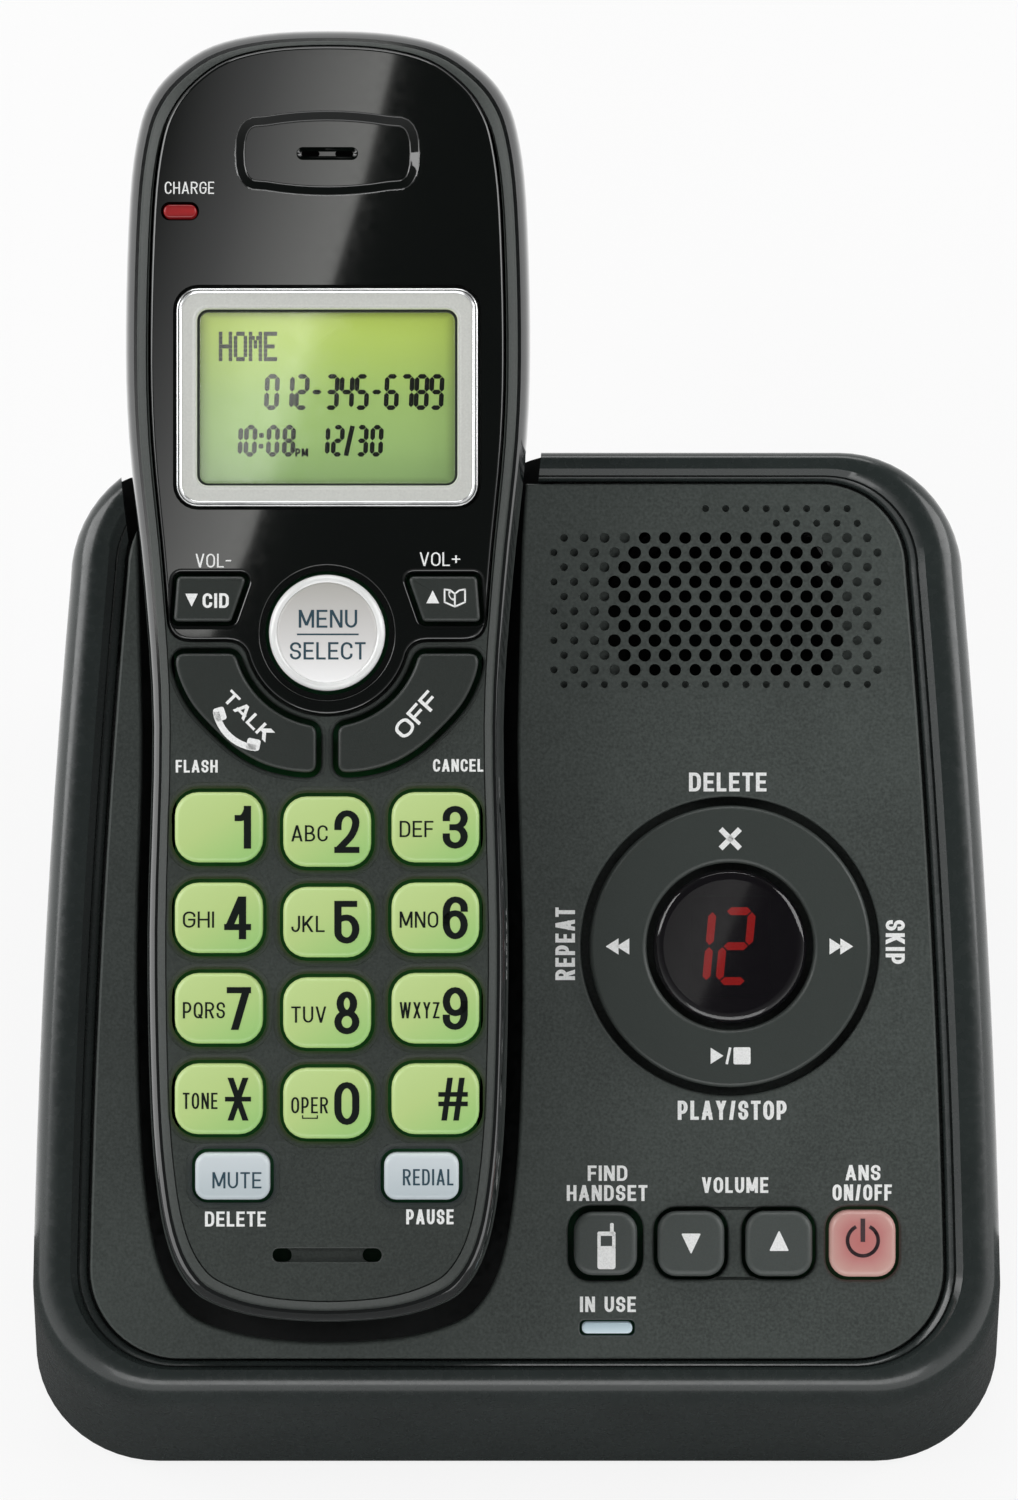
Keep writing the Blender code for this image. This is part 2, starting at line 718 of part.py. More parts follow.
def build_housing():
    """The glossy housing: walls, round rim, groove and the ledge that the panel lies on."""
    ledge = -PANEL_THICKNESS - SEAT_GAP
    rings = housing_rings()
    rings.append(top_ring(RIM_WIDTH, -RIM_CROWN))
    rings.append(top_ring(RIM_WIDTH, ledge))
    rings.append(top_ring(LEDGE_INSET, ledge))
    rings.append(top_ring(LEDGE_INSET, ledge - BASE_WALL))
    rings.append(wall_top_ring(BASE_WALL, ledge - BASE_WALL, 1.0))
    rings.append(lifted(foot_outline(BASE_WALL), SKIRT_HEIGHT))
    housing = add_object("base_housing", loft_loop("base_housing", rings), ROOT,
                         ((0.028, 0.034, 0.036), 0.18))
    mouth = trough_rings()[-1]
    flange_low = ledge - TROUGH_WALL - SEAT_GAP
    reach = TROUGH_WALL + SEAT_GAP
    flange = trough_rings(TROUGH_FLANGE + SEAT_GAP)[-1]
    cut = loft("trough_way", trough_rings(reach)[:-1]
               + [at_height(trough_rings(reach)[-1], flange_low), at_height(flange, flange_low),
                  at_height(flange, -PANEL_THICKNESS), at_height(mouth, -PANEL_THICKNESS),
                  at_height(mouth, OVERRUN)])
    combine(housing, add_cutter("trough_way", cut, HANDSET_FRAME))
    line_z = SKIRT_HEIGHT + COVER_THICKNESS + SEAT_GAP
    ways = [jack_box(LINE_JACK_X, LINE_JACK_WIDTH, line_z, LINE_JACK_HEIGHT, SEAT_GAP),
            jack_box(POWER_JACK_X, POWER_JACK_WIDTH, line_z, LINE_JACK_HEIGHT, SEAT_GAP)]
    back = BASE_BACK * math.cos(SLOPE)
    for i, (left, right, low, high) in enumerate(ways):
        way = box_mesh("jack_way", left, right, back - LINE_JACK_DEPTH, back + OVERRUN, low, high)
        combine(housing, add_cutter(f"jack_way_{i}", way, ROOT))


def box_mesh(name, left, right, front, back, low, high):
    """A block between six planes, from a cube."""
    shape = bmesh.new()
    bmesh.ops.create_cube(shape, size=1)
    size = (right - left, back - front, high - low)
    middle = ((left + right) / 2, (front + back) / 2, (low + high) / 2)
    bmesh.ops.transform(shape, matrix=Matrix.Translation(middle) @ Matrix.Diagonal((*size, 1)),
                        verts=shape.verts)
    mesh = bpy.data.meshes.new(name)
    shape.to_mesh(mesh)
    shape.free()
    return mesh


def jack_box(x, width, low, height, gap):
    """The left, right, low and high side of a socket block, widened by a gap."""
    return x - width / 2 - gap, x + width / 2 + gap, low - gap, low + height + gap


def rear_wall_y(height):
    """Where the outer face of the rear wall lies at a height over the table."""
    top = slope_matrix() @ Vector((0, BASE_BACK - RIM_DROP * math.tan(SLOPE), -RIM_DROP))
    foot = BASE_BACK * math.cos(SLOPE) - REAR_WALL_LEAN
    return foot + (top.y - foot) * (height - SKIRT_HEIGHT) / (top.z - SKIRT_HEIGHT)


def build_jacks():
    """The telephone line socket and the power socket, behind openings in the rear wall."""
    low = SKIRT_HEIGHT + COVER_THICKNESS + SEAT_GAP
    face = rear_wall_y(low)
    left, right, bottom, top = jack_box(LINE_JACK_X, LINE_JACK_WIDTH, low, LINE_JACK_HEIGHT, 0)
    line = add_object("line_socket", box_mesh("line_socket", left, right, face - LINE_JACK_DEPTH,
                                              face, bottom, top), ROOT, ((0.7, 0.69, 0.64), 0.45))
    middle = low + LINE_JACK_HEIGHT / 2
    half = LINE_SOCKET_WIDTH / 2
    mouth = box_mesh("line_mouth", LINE_JACK_X - half, LINE_JACK_X + half, face - LINE_SOCKET_DEPTH,
                     face + OVERRUN, middle - LINE_SOCKET_HEIGHT / 2, middle + LINE_SOCKET_HEIGHT / 2)
    combine(line, add_cutter("line_mouth", mouth, ROOT))
    half = LINE_LATCH_WIDTH / 2
    latch_low = middle - LINE_SOCKET_HEIGHT / 2 - LINE_LATCH_HEIGHT
    latch = box_mesh("line_latch", LINE_JACK_X - half, LINE_JACK_X + half, face - LINE_SOCKET_DEPTH,
                     face + OVERRUN, latch_low, middle)
    combine(line, add_cutter("line_latch", latch, ROOT))

    left, right, bottom, top = jack_box(POWER_JACK_X, POWER_JACK_WIDTH, low, LINE_JACK_HEIGHT, 0)
    power = add_object("power_socket", box_mesh("power_socket", left, right, face - POWER_JACK_DEPTH,
                                                face, bottom, top), ROOT, ((0.02, 0.02, 0.02), 0.4))
    profile = [(POWER_HOLE_RADIUS, POWER_HOLE_DEPTH + OVERRUN), (POWER_HOLE_RADIUS, 0.0),
               (POWER_PIN_RADIUS, 0.0), (POWER_PIN_RADIUS, POWER_HOLE_DEPTH - POWER_PIN_RADIUS),
               (0.0, POWER_HOLE_DEPTH - POWER_PIN_RADIUS), (0.0, POWER_HOLE_DEPTH + OVERRUN)]
    hole = turned("power_way", profile + profile[:1], ROOT, None, sides=SMALL_ROUND_SIDES)
    PARTS.objects.unlink(hole)
    CUTTERS.objects.link(hole)
    hole.hide_render = True
    hole.display_type = 'WIRE'
    hole.rotation_euler = (-math.pi / 2, 0, 0)
    hole.location = (POWER_JACK_X, face - POWER_HOLE_DEPTH, middle)
    combine(power, hole)


def grille_holes():
    """The grille's through holes: staggered rows, from the lowest up."""
    outlines = []
    for row, count in enumerate(GRILLE_ROWS):
        last = row in (0, len(GRILLE_ROWS) - 1)
        radius = GRILLE_SMALL_RADIUS if last else GRILLE_HOLE_RADIUS
        y = GRILLE_Y + (row + 1) * GRILLE_ROW_PITCH
        for i in range(count):
            x = GRILLE_X + (i - (count - 1) / 2) * GRILLE_PITCH
            outlines.append(circle(x, y, radius, GRILLE_SIDES))
    return outlines


def base_keys():
    """Each key of the base: name, outline, colour."""
    dark = (0.035, 0.04, 0.038)
    keys = [("find_key", rounded(FIND_X, BASE_KEY_Y, FIND_SIZE, FIND_SIZE, BASE_KEY_RADIUS), dark)]
    for name, x in (("volume_down_key", VOLUME_DOWN_X), ("volume_up_key", VOLUME_UP_X)):
        keys.append((name, rounded(x, BASE_KEY_Y, VOLUME_WIDTH, VOLUME_LENGTH, BASE_KEY_RADIUS), dark))
    keys.append(("answer_key", rounded(ANSWER_X, BASE_KEY_Y, ANSWER_SIZE, ANSWER_SIZE,
                                       BASE_KEY_RADIUS), (0.75, 0.4, 0.38)))
    return keys


def base_key_holes():
    """The openings of the base's keys."""
    find = FIND_SIZE + 2 * FIND_GAP
    answer = ANSWER_SIZE + 2 * ANSWER_GAP
    width, length = VOLUME_WIDTH + 2 * VOLUME_GAP, VOLUME_LENGTH + 2 * VOLUME_GAP
    holes = [rounded(x, BASE_KEY_Y, width, length, BASE_KEY_HOLE_RADIUS)
             for x in (VOLUME_DOWN_X, VOLUME_UP_X)]
    return holes + [rounded(FIND_X, BASE_KEY_Y, find, find, BASE_KEY_HOLE_RADIUS),
                    rounded(ANSWER_X, BASE_KEY_Y, answer, answer, BASE_KEY_HOLE_RADIUS)]


def build_panel():
    """The matte panel: plate, ring trench with its middle tower, grille and openings."""
    outline = top_outline(PANEL_INSET)
    inner = top_outline(PANEL_INSET + PANEL_EDGE_BEVEL)
    rings = [lifted(outline, -PANEL_THICKNESS), lifted(outline, -PANEL_EDGE_BEVEL), lifted(inner, 0)]
    panel = add_object("control_panel", loft("control_panel", rings), SLOPE_FRAME,
                       ((0.045, 0.05, 0.047), 0.6))
    cup = RECESS_RADIUS + TRENCH_WALL
    low = -TRENCH_FLOOR - TRENCH_WALL
    extras = prisms("panel_extras", [circle(RING_X, RING_Y, cup)], low, -PANEL_THICKNESS / 2)
    combine(panel, add_cutter("panel_extras", extras, SLOPE_FRAME), 'UNION')
    post_low = -BASE_BOARD_TOP + SEAT_GAP
    posts = [circle(x, y, PANEL_POST_RADIUS, SMALL_ROUND_SIDES) for x, y in PANEL_POSTS]
    combine(panel, add_cutter("panel_posts", prisms("panel_posts", posts, post_low, -PANEL_THICKNESS / 2),
                              SLOPE_FRAME), 'UNION')
    well = prisms("ring_well", [circle(RING_X, RING_Y, RECESS_RADIUS)], -TRENCH_FLOOR, OVERRUN)
    combine(panel, add_cutter("ring_well", well, SLOPE_FRAME))
    tower_top = WINDOW_TOP - WINDOW_THICKNESS - SEAT_GAP
    tower = prisms("tower", [circle(RING_X, RING_Y, TOWER_RADIUS, HIDDEN_ROUND_SIDES)], low, tower_top)
    combine(panel, add_cutter("tower", tower, SLOPE_FRAME), 'UNION')
    nub_x = (TILT_RING_INNER + TILT_RING_OUTER) / 2
    nubs = [rounded(RING_X + side * nub_x, RING_Y, NUB_SIZE, NUB_SIZE, NUB_SIZE / 4, 1) for side in (-1, 1)]
    nub_top = -TRENCH_FLOOR + SEAT_GAP
    combine(panel, add_cutter("trench_nubs", prisms("trench_nubs", nubs, -TRENCH_FLOOR - TRENCH_WALL / 2,
                                                    nub_top), SLOPE_FRAME), 'UNION')
    digits = rounded(RING_X, RING_Y, DIGITS_WIDTH + 2 * SEAT_GAP, DIGITS_LENGTH + 2 * SEAT_GAP,
                     DIGITS_BODY_RADIUS)
    light = rounded(LIGHT_X, LIGHT_Y, LIGHT_LENGTH + 2 * SEAT_GAP, LIGHT_WIDTH + 2 * SEAT_GAP,
                    LIGHT_WIDTH * PILL_SHARE)
    ways = prisms("panel_ways", base_key_holes() + [digits, light] + grille_holes(),
                  low - OVERRUN, OVERRUN)
    combine(panel, add_cutter("panel_ways", ways, SLOPE_FRAME))
    mouth = prisms("mouth_way", [mouth_outline()], -OVERRUN - HANDSET_FACE, OVERRUN - HANDSET_FACE)
    combine(panel, add_cutter("mouth_way", mouth, HANDSET_FRAME))
    end = box_mesh("strip_end", -BASE_FRONT_HALF, HANDSET_X, STRIP_END, BASE_BACK, -OVERRUN, OVERRUN)
    combine(panel, add_cutter("strip_end", end, SLOPE_FRAME))


def build_trough():
    """The trough that the handset lies in: it follows the handset's back and ends at the rear wall."""
    inner, outer = trough_rings(), trough_rings(TROUGH_WALL)
    flange = trough_rings(TROUGH_FLANGE)[-1]
    flange_top = -PANEL_THICKNESS - SEAT_GAP
    flange_low = flange_top - TROUGH_WALL
    rings = outer[:-1] + [at_height(outer[-1], flange_low), at_height(flange, flange_low),
                          at_height(flange, flange_top), at_height(inner[-1], flange_top)]
    rings += reversed(inner[:-1])
    trough = add_object("handset_trough", loft("handset_trough", rings), HANDSET_FRAME,
                        ((0.02, 0.022, 0.023), 0.35))
    core = add_cutter("housing_core", loft("housing_core", housing_rings(SEAT_GAP)), ROOT)
    combine(trough, core, 'INTERSECT')
    slots = [rounded(x, CONTACT_Y, SPRING_WIDTH + 2 * SEAT_GAP, SPRING_LENGTH + 2 * SEAT_GAP,
                     SPRING_WIDTH * PILL_SHARE) for x in (-CONTACT_X, CONTACT_X)]
    low = -HANDSET_DEPTH - TROUGH_WALL - OVERRUN
    combine(trough, add_cutter("spring_ways", prisms("spring_ways", slots, low, low + 2 * OVERRUN),
                               HANDSET_FRAME))


def build_charge_springs():
    """Two contact blades that come up through the trough's floor."""
    top = -HANDSET_DEPTH - SEAT_GAP
    for name, x in (("charge_spring_left", -CONTACT_X), ("charge_spring_right", CONTACT_X)):
        blade = rounded(x, CONTACT_Y, SPRING_WIDTH, SPRING_LENGTH, SPRING_WIDTH * PILL_SHARE)
        crown = offset(blade, -SPRING_WIDTH / 4)
        rings = [lifted(blade, top - SPRING_REACH), lifted(blade, top - TROUGH_SEAT_GAP), lifted(crown, top)]
        add_object(name, loft(name, rings), HANDSET_FRAME, ((0.75, 0.7, 0.55), 0.3, 1.0))


def build_base_controls():
    """Window, light display, tilting ring, keys and in-use light of the base."""
    half = WINDOW_THICKNESS / 2
    profile = [(0.0, WINDOW_TOP)]
    profile += [(WINDOW_RADIUS * across, WINDOW_TOP - half * down) for across, down in WINDOW_SHARES]
    profile += [(WINDOW_RADIUS, WINDOW_TOP - WINDOW_THICKNESS), (0.0, WINDOW_TOP - WINDOW_THICKNESS)]
    turned("display_window", profile, SLOPE_FRAME, ((0.02, 0.015, 0.022), 0.08), RING_X, RING_Y)
    low = -BASE_BOARD_TOP + SEAT_GAP
    digits = rounded(RING_X, RING_Y, DIGITS_WIDTH, DIGITS_LENGTH, DIGITS_BODY_RADIUS)
    add_object("light_display", prisms("light_display", [digits], low, low + DIGITS_HEIGHT), SLOPE_FRAME,
               ((0.1, 0.02, 0.02), 0.5))

    axis = -TRENCH_FLOOR + 2 * SEAT_GAP
    tilt = empty("tilt_axis", SLOPE_FRAME, Matrix.Translation((RING_X, RING_Y, axis)))
    inner, outer = TILT_RING_INNER, TILT_RING_OUTER
    ring = turned("tilt_ring", [(inner, 0), (inner, TILT_RING_THICKNESS), (outer, TILT_RING_THICKNESS),
                                (outer, 0), (inner, 0)], tilt, ((0.25, 0.25, 0.26), 0.6),
                  sides=HIDDEN_ROUND_SIDES)
    nubs = [rounded(0, side * (inner + outer) / 2, NUB_SIZE, NUB_SIZE, NUB_SIZE / 4, 1) for side in (-1, 1)]
    nub_mesh = prisms("tilt_nubs", nubs, TILT_RING_THICKNESS / 2, TILT_RING_THICKNESS + SEAT_GAP)
    combine(ring, add_cutter("tilt_nubs", nub_mesh, tilt), 'UNION')
    swing = empty("swing_axis", tilt, Matrix.Translation((0, 0, TILT_RING_THICKNESS + 2 * SEAT_GAP)))
    top = RING_HEIGHT - (axis + TILT_RING_THICKNESS + 2 * SEAT_GAP)
    profile = [(RING_INNER, 0.0), (RING_INNER, top - RING_EDGE),
               (RING_INNER + RING_EDGE / 3, top - RING_EDGE / 3),
               (RING_INNER + RING_EDGE, top), (RING_OUTER - RING_EDGE, top),
               (RING_OUTER - RING_EDGE / 3, top - RING_EDGE / 3), (RING_OUTER, top - RING_EDGE),
               (RING_OUTER, 0.0), (RING_INNER, 0.0)]
    turned("message_ring", profile, swing, ((0.05, 0.055, 0.052), 0.5))

    for name, outline, color in base_keys():
        mesh = key_mesh(name, outline, BASE_KEY_TOP, BASE_KEY_BEVEL, BASE_KEY_FLANGE,
                        -PANEL_THICKNESS - SEAT_GAP, BASE_KEY_FLANGE_THICKNESS)
        add_object(name, mesh, SLOPE_FRAME, (color, 0.4))
    bar = rounded(LIGHT_X, LIGHT_Y, LIGHT_LENGTH, LIGHT_WIDTH, LIGHT_WIDTH * PILL_SHARE)
    add_object("in_use_light", prisms("in_use_light", [bar], low, 0.0), SLOPE_FRAME,
               ((0.2, 0.24, 0.28), 0.3))


def build_base_inside():
    """Circuit board and loudspeaker under the panel."""
    board = rounded((BASE_BOARD_LEFT + BASE_BOARD_RIGHT) / 2, (BASE_BOARD_FRONT + BASE_BOARD_BACK) / 2,
                    BASE_BOARD_RIGHT - BASE_BOARD_LEFT, BASE_BOARD_BACK - BASE_BOARD_FRONT, BOARD_THICKNESS)
    mesh = prisms("base_circuit_board", [board], -BASE_BOARD_TOP - BOARD_THICKNESS, -BASE_BOARD_TOP)
    add_object("base_circuit_board", mesh, SLOPE_FRAME, ((0.03, 0.18, 0.07), 0.5))
    top = -PANEL_THICKNESS - SEAT_GAP
    radius, magnet = SPEAKER_RADIUS, SPEAKER_MAGNET_RADIUS
    cone = SPEAKER_RIM
    profile = [(0.0, top - cone), (radius - cone, top - cone / 2), (radius - cone, top), (radius, top),
               (radius, top - cone), (magnet, top - SPEAKER_HEIGHT / 2), (magnet, top - SPEAKER_HEIGHT),
               (0.0, top - SPEAKER_HEIGHT)]
    turned("loudspeaker", profile, SLOPE_FRAME, ((0.08, 0.08, 0.08), 0.5), GRILLE_X, SPEAKER_Y,
           sides=HIDDEN_ROUND_SIDES)


def foot_places():
    """The middles of the four feet."""
    front = BASE_FRONT * math.cos(SLOPE) + FOOT_END_INSET
    back = BASE_BACK * math.cos(SLOPE) - REAR_WALL_LEAN - FOOT_END_INSET
    rows = ((front, BASE_FRONT_HALF - FOOT_FRONT_INSET), (back, BASE_BACK_HALF - FOOT_BACK_INSET))
    return [(x, y) for y, half in rows for x in (-half, half)]


def build_bottom():
    """The bottom cover, a shallow tray with screw wells, and the four rubber feet."""
    outer, inner = BASE_WALL + SEAT_GAP, BASE_WALL + SEAT_GAP + COVER_WALL
    low, floor = SKIRT_HEIGHT, SKIRT_HEIGHT + COVER_THICKNESS
    high = floor + COVER_SKIRT
    rings = [wall_ring(outer, low), wall_ring(outer, high), wall_ring(inner, high), wall_ring(inner, floor)]
    cover = add_object("bottom_cover", loft("bottom_cover", rings), ROOT, ((0.03, 0.03, 0.03), 0.5))
    back = BASE_BACK * math.cos(SLOPE)
    jacks_left = LINE_JACK_X - LINE_JACK_WIDTH / 2 - SEAT_GAP
    jacks_right = POWER_JACK_X + POWER_JACK_WIDTH / 2 + SEAT_GAP
    gate = box_mesh("jack_gate", jacks_left, jacks_right, back - 2 * LINE_JACK_DEPTH, back + OVERRUN,
                    floor, high + OVERRUN)
    combine(cover, add_cutter("jack_gate", gate, ROOT))
    pockets = [circle(x, y, FOOT_RADIUS + SEAT_GAP, HIDDEN_ROUND_SIDES) for x, y in foot_places()]
    wells = []
    for x, y in foot_places():
        toward = SCREW_WELL_INSET if y < back / 2 else -SCREW_WELL_INSET
        wells.append((x, y + toward))
    mesh = prisms("foot_pockets", pockets, low - OVERRUN, low + FOOT_POCKET_DEPTH)
    combine(cover, add_cutter("foot_pockets", mesh, ROOT))
    mesh = prisms("screw_wells", [circle(x, y, SCREW_WELL_RADIUS, SMALL_ROUND_SIDES) for x, y in wells],
                  low - OVERRUN, low + SCREW_WELL_DEPTH)
    combine(cover, add_cutter("screw_wells", mesh, ROOT))
    mesh = prisms("screw_ways", [circle(x, y, SCREW_HOLE_RADIUS, SMALL_ROUND_SIDES) for x, y in wells],
                  low - OVERRUN, floor + OVERRUN)
    combine(cover, add_cutter("screw_ways", mesh, ROOT))
    names = ("foot_front_left", "foot_front_right", "foot_back_left", "foot_back_right")
    top = low + FOOT_POCKET_DEPTH - SEAT_GAP
    for name, (x, y) in zip(names, foot_places()):
        profile = [(0.0, top), (FOOT_RADIUS, top), (FOOT_RADIUS, FOOT_BEVEL),
                   (FOOT_RADIUS - FOOT_BEVEL, 0.0), (0.0, 0.0)]
        turned(name, profile, ROOT, ((0.02, 0.02, 0.02), 0.8), x, y, sides=HIDDEN_ROUND_SIDES)


def build_rear_shell():
    """The handset's glossy rear shell with the battery tray, and the door cut from the same skin."""
    mesh = loft("handset_rear_shell", back_rings(), True, False)
    shell = add_object("handset_rear_shell", mesh, HANDSET_FRAME, ((0.03, 0.033, 0.035), 0.15))
    door_mesh = mesh.copy()
    door_mesh.materials.clear()
    door = add_object("battery_door", door_mesh, HANDSET_FRAME, ((0.03, 0.033, 0.035), 0.2), sharp=False)
    for piece in (shell, door):
        wall = piece.modifiers.new("wall", 'SOLIDIFY')
        wall.thickness = HANDSET_WALL
        wall.offset = -1
        wall.use_even_offset = True

    low_end = PACK_Y - CELL_LENGTH / 2 - TRAY_GAP
    high_end = PACK_Y + CELL_LENGTH / 2 + TRAY_GAP
    half = 2 * CELL_RADIUS + TRAY_GAP
    tray = box_mesh("tray_block", -half - TRAY_WALL, half + TRAY_WALL, low_end - TRAY_WALL,
                    high_end + TRAY_WALL, -HANDSET_DEPTH - OVERRUN, -TRAY_FLOOR_DEPTH)
    block = add_cutter("tray_block", tray, HANDSET_FRAME)
    solid = add_cutter("handset_solid", loft("handset_solid", back_rings(inset=SEAT_GAP)), HANDSET_FRAME)
    combine(block, solid, 'INTERSECT')
    combine(shell, block, 'UNION')
    hollow = box_mesh("tray_hollow", -half, half, low_end, high_end, -HANDSET_DEPTH - OVERRUN,
                      -TRAY_FLOOR_DEPTH - TRAY_WALL)
    way_inside = add_cutter("tray_hollow", hollow, HANDSET_FRAME)
    skin = add_cutter("handset_inside", loft("handset_inside", back_rings(inset=HANDSET_WALL)), HANDSET_FRAME)
    combine(way_inside, skin, 'INTERSECT')
    combine(shell, way_inside)

    middle = (DOOR_FROM + DOOR_TO) / 2
    outline = rounded(0, middle, 2 * DOOR_HALF, DOOR_TO - DOOR_FROM, DOOR_RADIUS)
    low = -HANDSET_DEPTH - OVERRUN
    high = -HANDSET_DEPTH + DOOR_REACH
    mesh = prisms("door_way", [outline], low, high)
    combine(shell, add_cutter("door_way", mesh, HANDSET_FRAME))
    mesh = prisms("door_size", [offset(outline, -SEAT_GAP)], low, high - SEAT_GAP)
    combine(door, add_cutter("door_size", mesh, HANDSET_FRAME), 'INTERSECT')
    seats = [rounded(x, CONTACT_Y, CONTACT_WIDTH + 2 * SEAT_GAP, CONTACT_LENGTH + 2 * SEAT_GAP,
                     CONTACT_WIDTH / 5) for x in (-CONTACT_X, CONTACT_X)]
    mesh = prisms("contact_seats", seats, low, -HANDSET_DEPTH + CONTACT_THICKNESS + SEAT_GAP)
    combine(shell, add_cutter("contact_seats", mesh, HANDSET_FRAME))
    for name, x in (("charge_contact_left", -CONTACT_X), ("charge_contact_right", CONTACT_X)):
        plate = rounded(x, CONTACT_Y, CONTACT_WIDTH, CONTACT_LENGTH, CONTACT_WIDTH / 5)
        add_object(name, prisms(name, [plate], -HANDSET_DEPTH, -HANDSET_DEPTH + CONTACT_THICKNESS),
                   HANDSET_FRAME, ((0.75, 0.72, 0.66), 0.25, 1.0))


def ear_slots(extra=0.0):
    """The two slots over the earpiece."""
    return [rounded(side * EAR_SLOT_SPACING / 2, EAR_Y, EAR_SLOT_WIDTH + extra, EAR_SLOT_LENGTH + extra,
                    (EAR_SLOT_LENGTH + extra) * PILL_SHARE) for side in (-1, 1)]


def light_outline(extra=0.0):
    """The charge light's pill shape."""
    return rounded(CHARGE_LIGHT_X, CHARGE_LIGHT_Y, CHARGE_LIGHT_WIDTH + extra,
                   CHARGE_LIGHT_LENGTH + extra, (CHARGE_LIGHT_LENGTH + extra) * PILL_SHARE)


def build_front_shell():
    """The matte front shell: a lid with a skirt, the faceplate's seat and every opening."""
    inner = SKIRT_INSET + SKIRT_WALL
    rings = [handset_ring(inner, inner, inner, FRONT_CEILING_DEPTH),
             handset_ring(inner, inner, inner, SKIRT_DEPTH),
             handset_ring(SKIRT_INSET, SKIRT_INSET, SKIRT_INSET, SKIRT_DEPTH),
             handset_ring(SKIRT_INSET, SKIRT_INSET, SKIRT_INSET, FRONT_FLANGE_DEPTH),
             handset_ring(FRONT_INSET, FRONT_INSET, FRONT_INSET, FRONT_FLANGE_DEPTH),
             handset_ring(FRONT_INSET, FRONT_INSET, FRONT_INSET, FRONT_FACE_DEPTH + FRONT_EDGE_DROP),
             handset_ring(FRONT_INSET + FRONT_EDGE_DROP, FRONT_INSET + FRONT_EDGE_DROP,
                          FRONT_INSET + FRONT_EDGE_DROP, FRONT_FACE_DEPTH)]
    shell = add_object("handset_front_shell", loft("handset_front_shell", rings), HANDSET_FRAME,
                       ((0.045, 0.05, 0.047), 0.6))
    seat = prisms("plate_seat", [offset(plate_outline(), SEAT_GAP)], -PLATE_THICKNESS - SEAT_GAP, OVERRUN)
    combine(shell, add_cutter("plate_seat", seat, HANDSET_FRAME))
    ways = [offset(outline, KEY_GAP) for name, outline, proud, color in handset_keys()]
    ways.append(rounded(0, LCD_Y, LCD_LENS_WIDTH - 2 * LCD_SEAT, LCD_LENS_LENGTH - 2 * LCD_SEAT,
                        LCD_LENS_RADIUS))
    ways += ear_slots(SEAT_GAP)
    ways.append(light_outline(2 * SEAT_GAP))
    ways += [rounded(side * (MIC_SLOT_WIDTH - MIC_HOLE_WIDTH) / 2, MIC_Y, MIC_HOLE_WIDTH, MIC_SLOT_LENGTH,
                     MIC_SLOT_LENGTH * PILL_SHARE, 1) for side in (-1, 1)]
    low = -SKIRT_DEPTH - OVERRUN
    combine(shell, add_cutter("shell_ways", prisms("shell_ways", ways, low, OVERRUN), HANDSET_FRAME))
    first = SMALL_KEY_Y - SMALL_KEY_LENGTH / 2 - KEY_FLANGE - 2 * SEAT_GAP
    last = ARROW_KEY_TOP + KEY_FLANGE + 2 * SEAT_GAP
    gap = box_mesh("skirt_gap", -HANDSET_HALF, HANDSET_HALF, first, last, low, -FRONT_CEILING_DEPTH)
    combine(shell, add_cutter("skirt_gap", gap, HANDSET_FRAME))
    slot = rounded(0, MIC_Y, MIC_SLOT_WIDTH - SEAT_GAP, MIC_SLOT_LENGTH - SEAT_GAP, MIC_SLOT_LENGTH / 3)
    mesh = prisms("mic_slot", [slot], -FRONT_FACE_DEPTH - MIC_SLOT_DEPTH, OVERRUN)
    combine(shell, add_cutter("mic_slot", mesh, HANDSET_FRAME))


def build_faceplate():
    """The glossy plate over the upper half, with its openings and the earpiece dish."""
    rings = [lifted(plate_outline(), -PLATE_THICKNESS), lifted(plate_outline(), -PLATE_BEVEL),
             lifted(plate_outline(PLATE_BEVEL), 0)]
    plate = add_object("handset_faceplate", loft("handset_faceplate", rings), HANDSET_FRAME,
                       ((0.008, 0.009, 0.009), 0.06))
    keys = {name: outline for name, outline, proud, color in handset_keys()}
    ways = [offset(keys["call_list_key"], KEY_GAP), offset(keys["phone_book_key"], KEY_GAP),
            offset(keys["menu_key"], KEY_GAP)]
    ways.append(rounded(0, LCD_Y, LCD_BEZEL_WIDTH + 2 * SEAT_GAP, LCD_BEZEL_LENGTH + 2 * SEAT_GAP,
                        LCD_BEZEL_RADIUS + SEAT_GAP))
    ways.append(light_outline(2 * SEAT_GAP))
    ways += ear_slots()
    low = -PLATE_THICKNESS - OVERRUN
    combine(plate, add_cutter("plate_ways", prisms("plate_ways", ways, low, OVERRUN), HANDSET_FRAME))
    pill = rounded(0, EAR_Y, EAR_DISH_WIDTH, EAR_DISH_LENGTH, EAR_DISH_LENGTH * PILL_SHARE, CORNER_STEPS + 1)
    dish = prisms("plate_dishes", [pill], -EAR_DISH_DEPTH, OVERRUN)
    combine(plate, add_cutter("plate_dishes", dish, HANDSET_FRAME))
    ring = prisms("menu_dish", [circle(0, MENU_Y, MENU_RING_RADIUS)], -MENU_RING_DEPTH, OVERRUN)
    combine(plate, add_cutter("menu_dish", ring, HANDSET_FRAME))


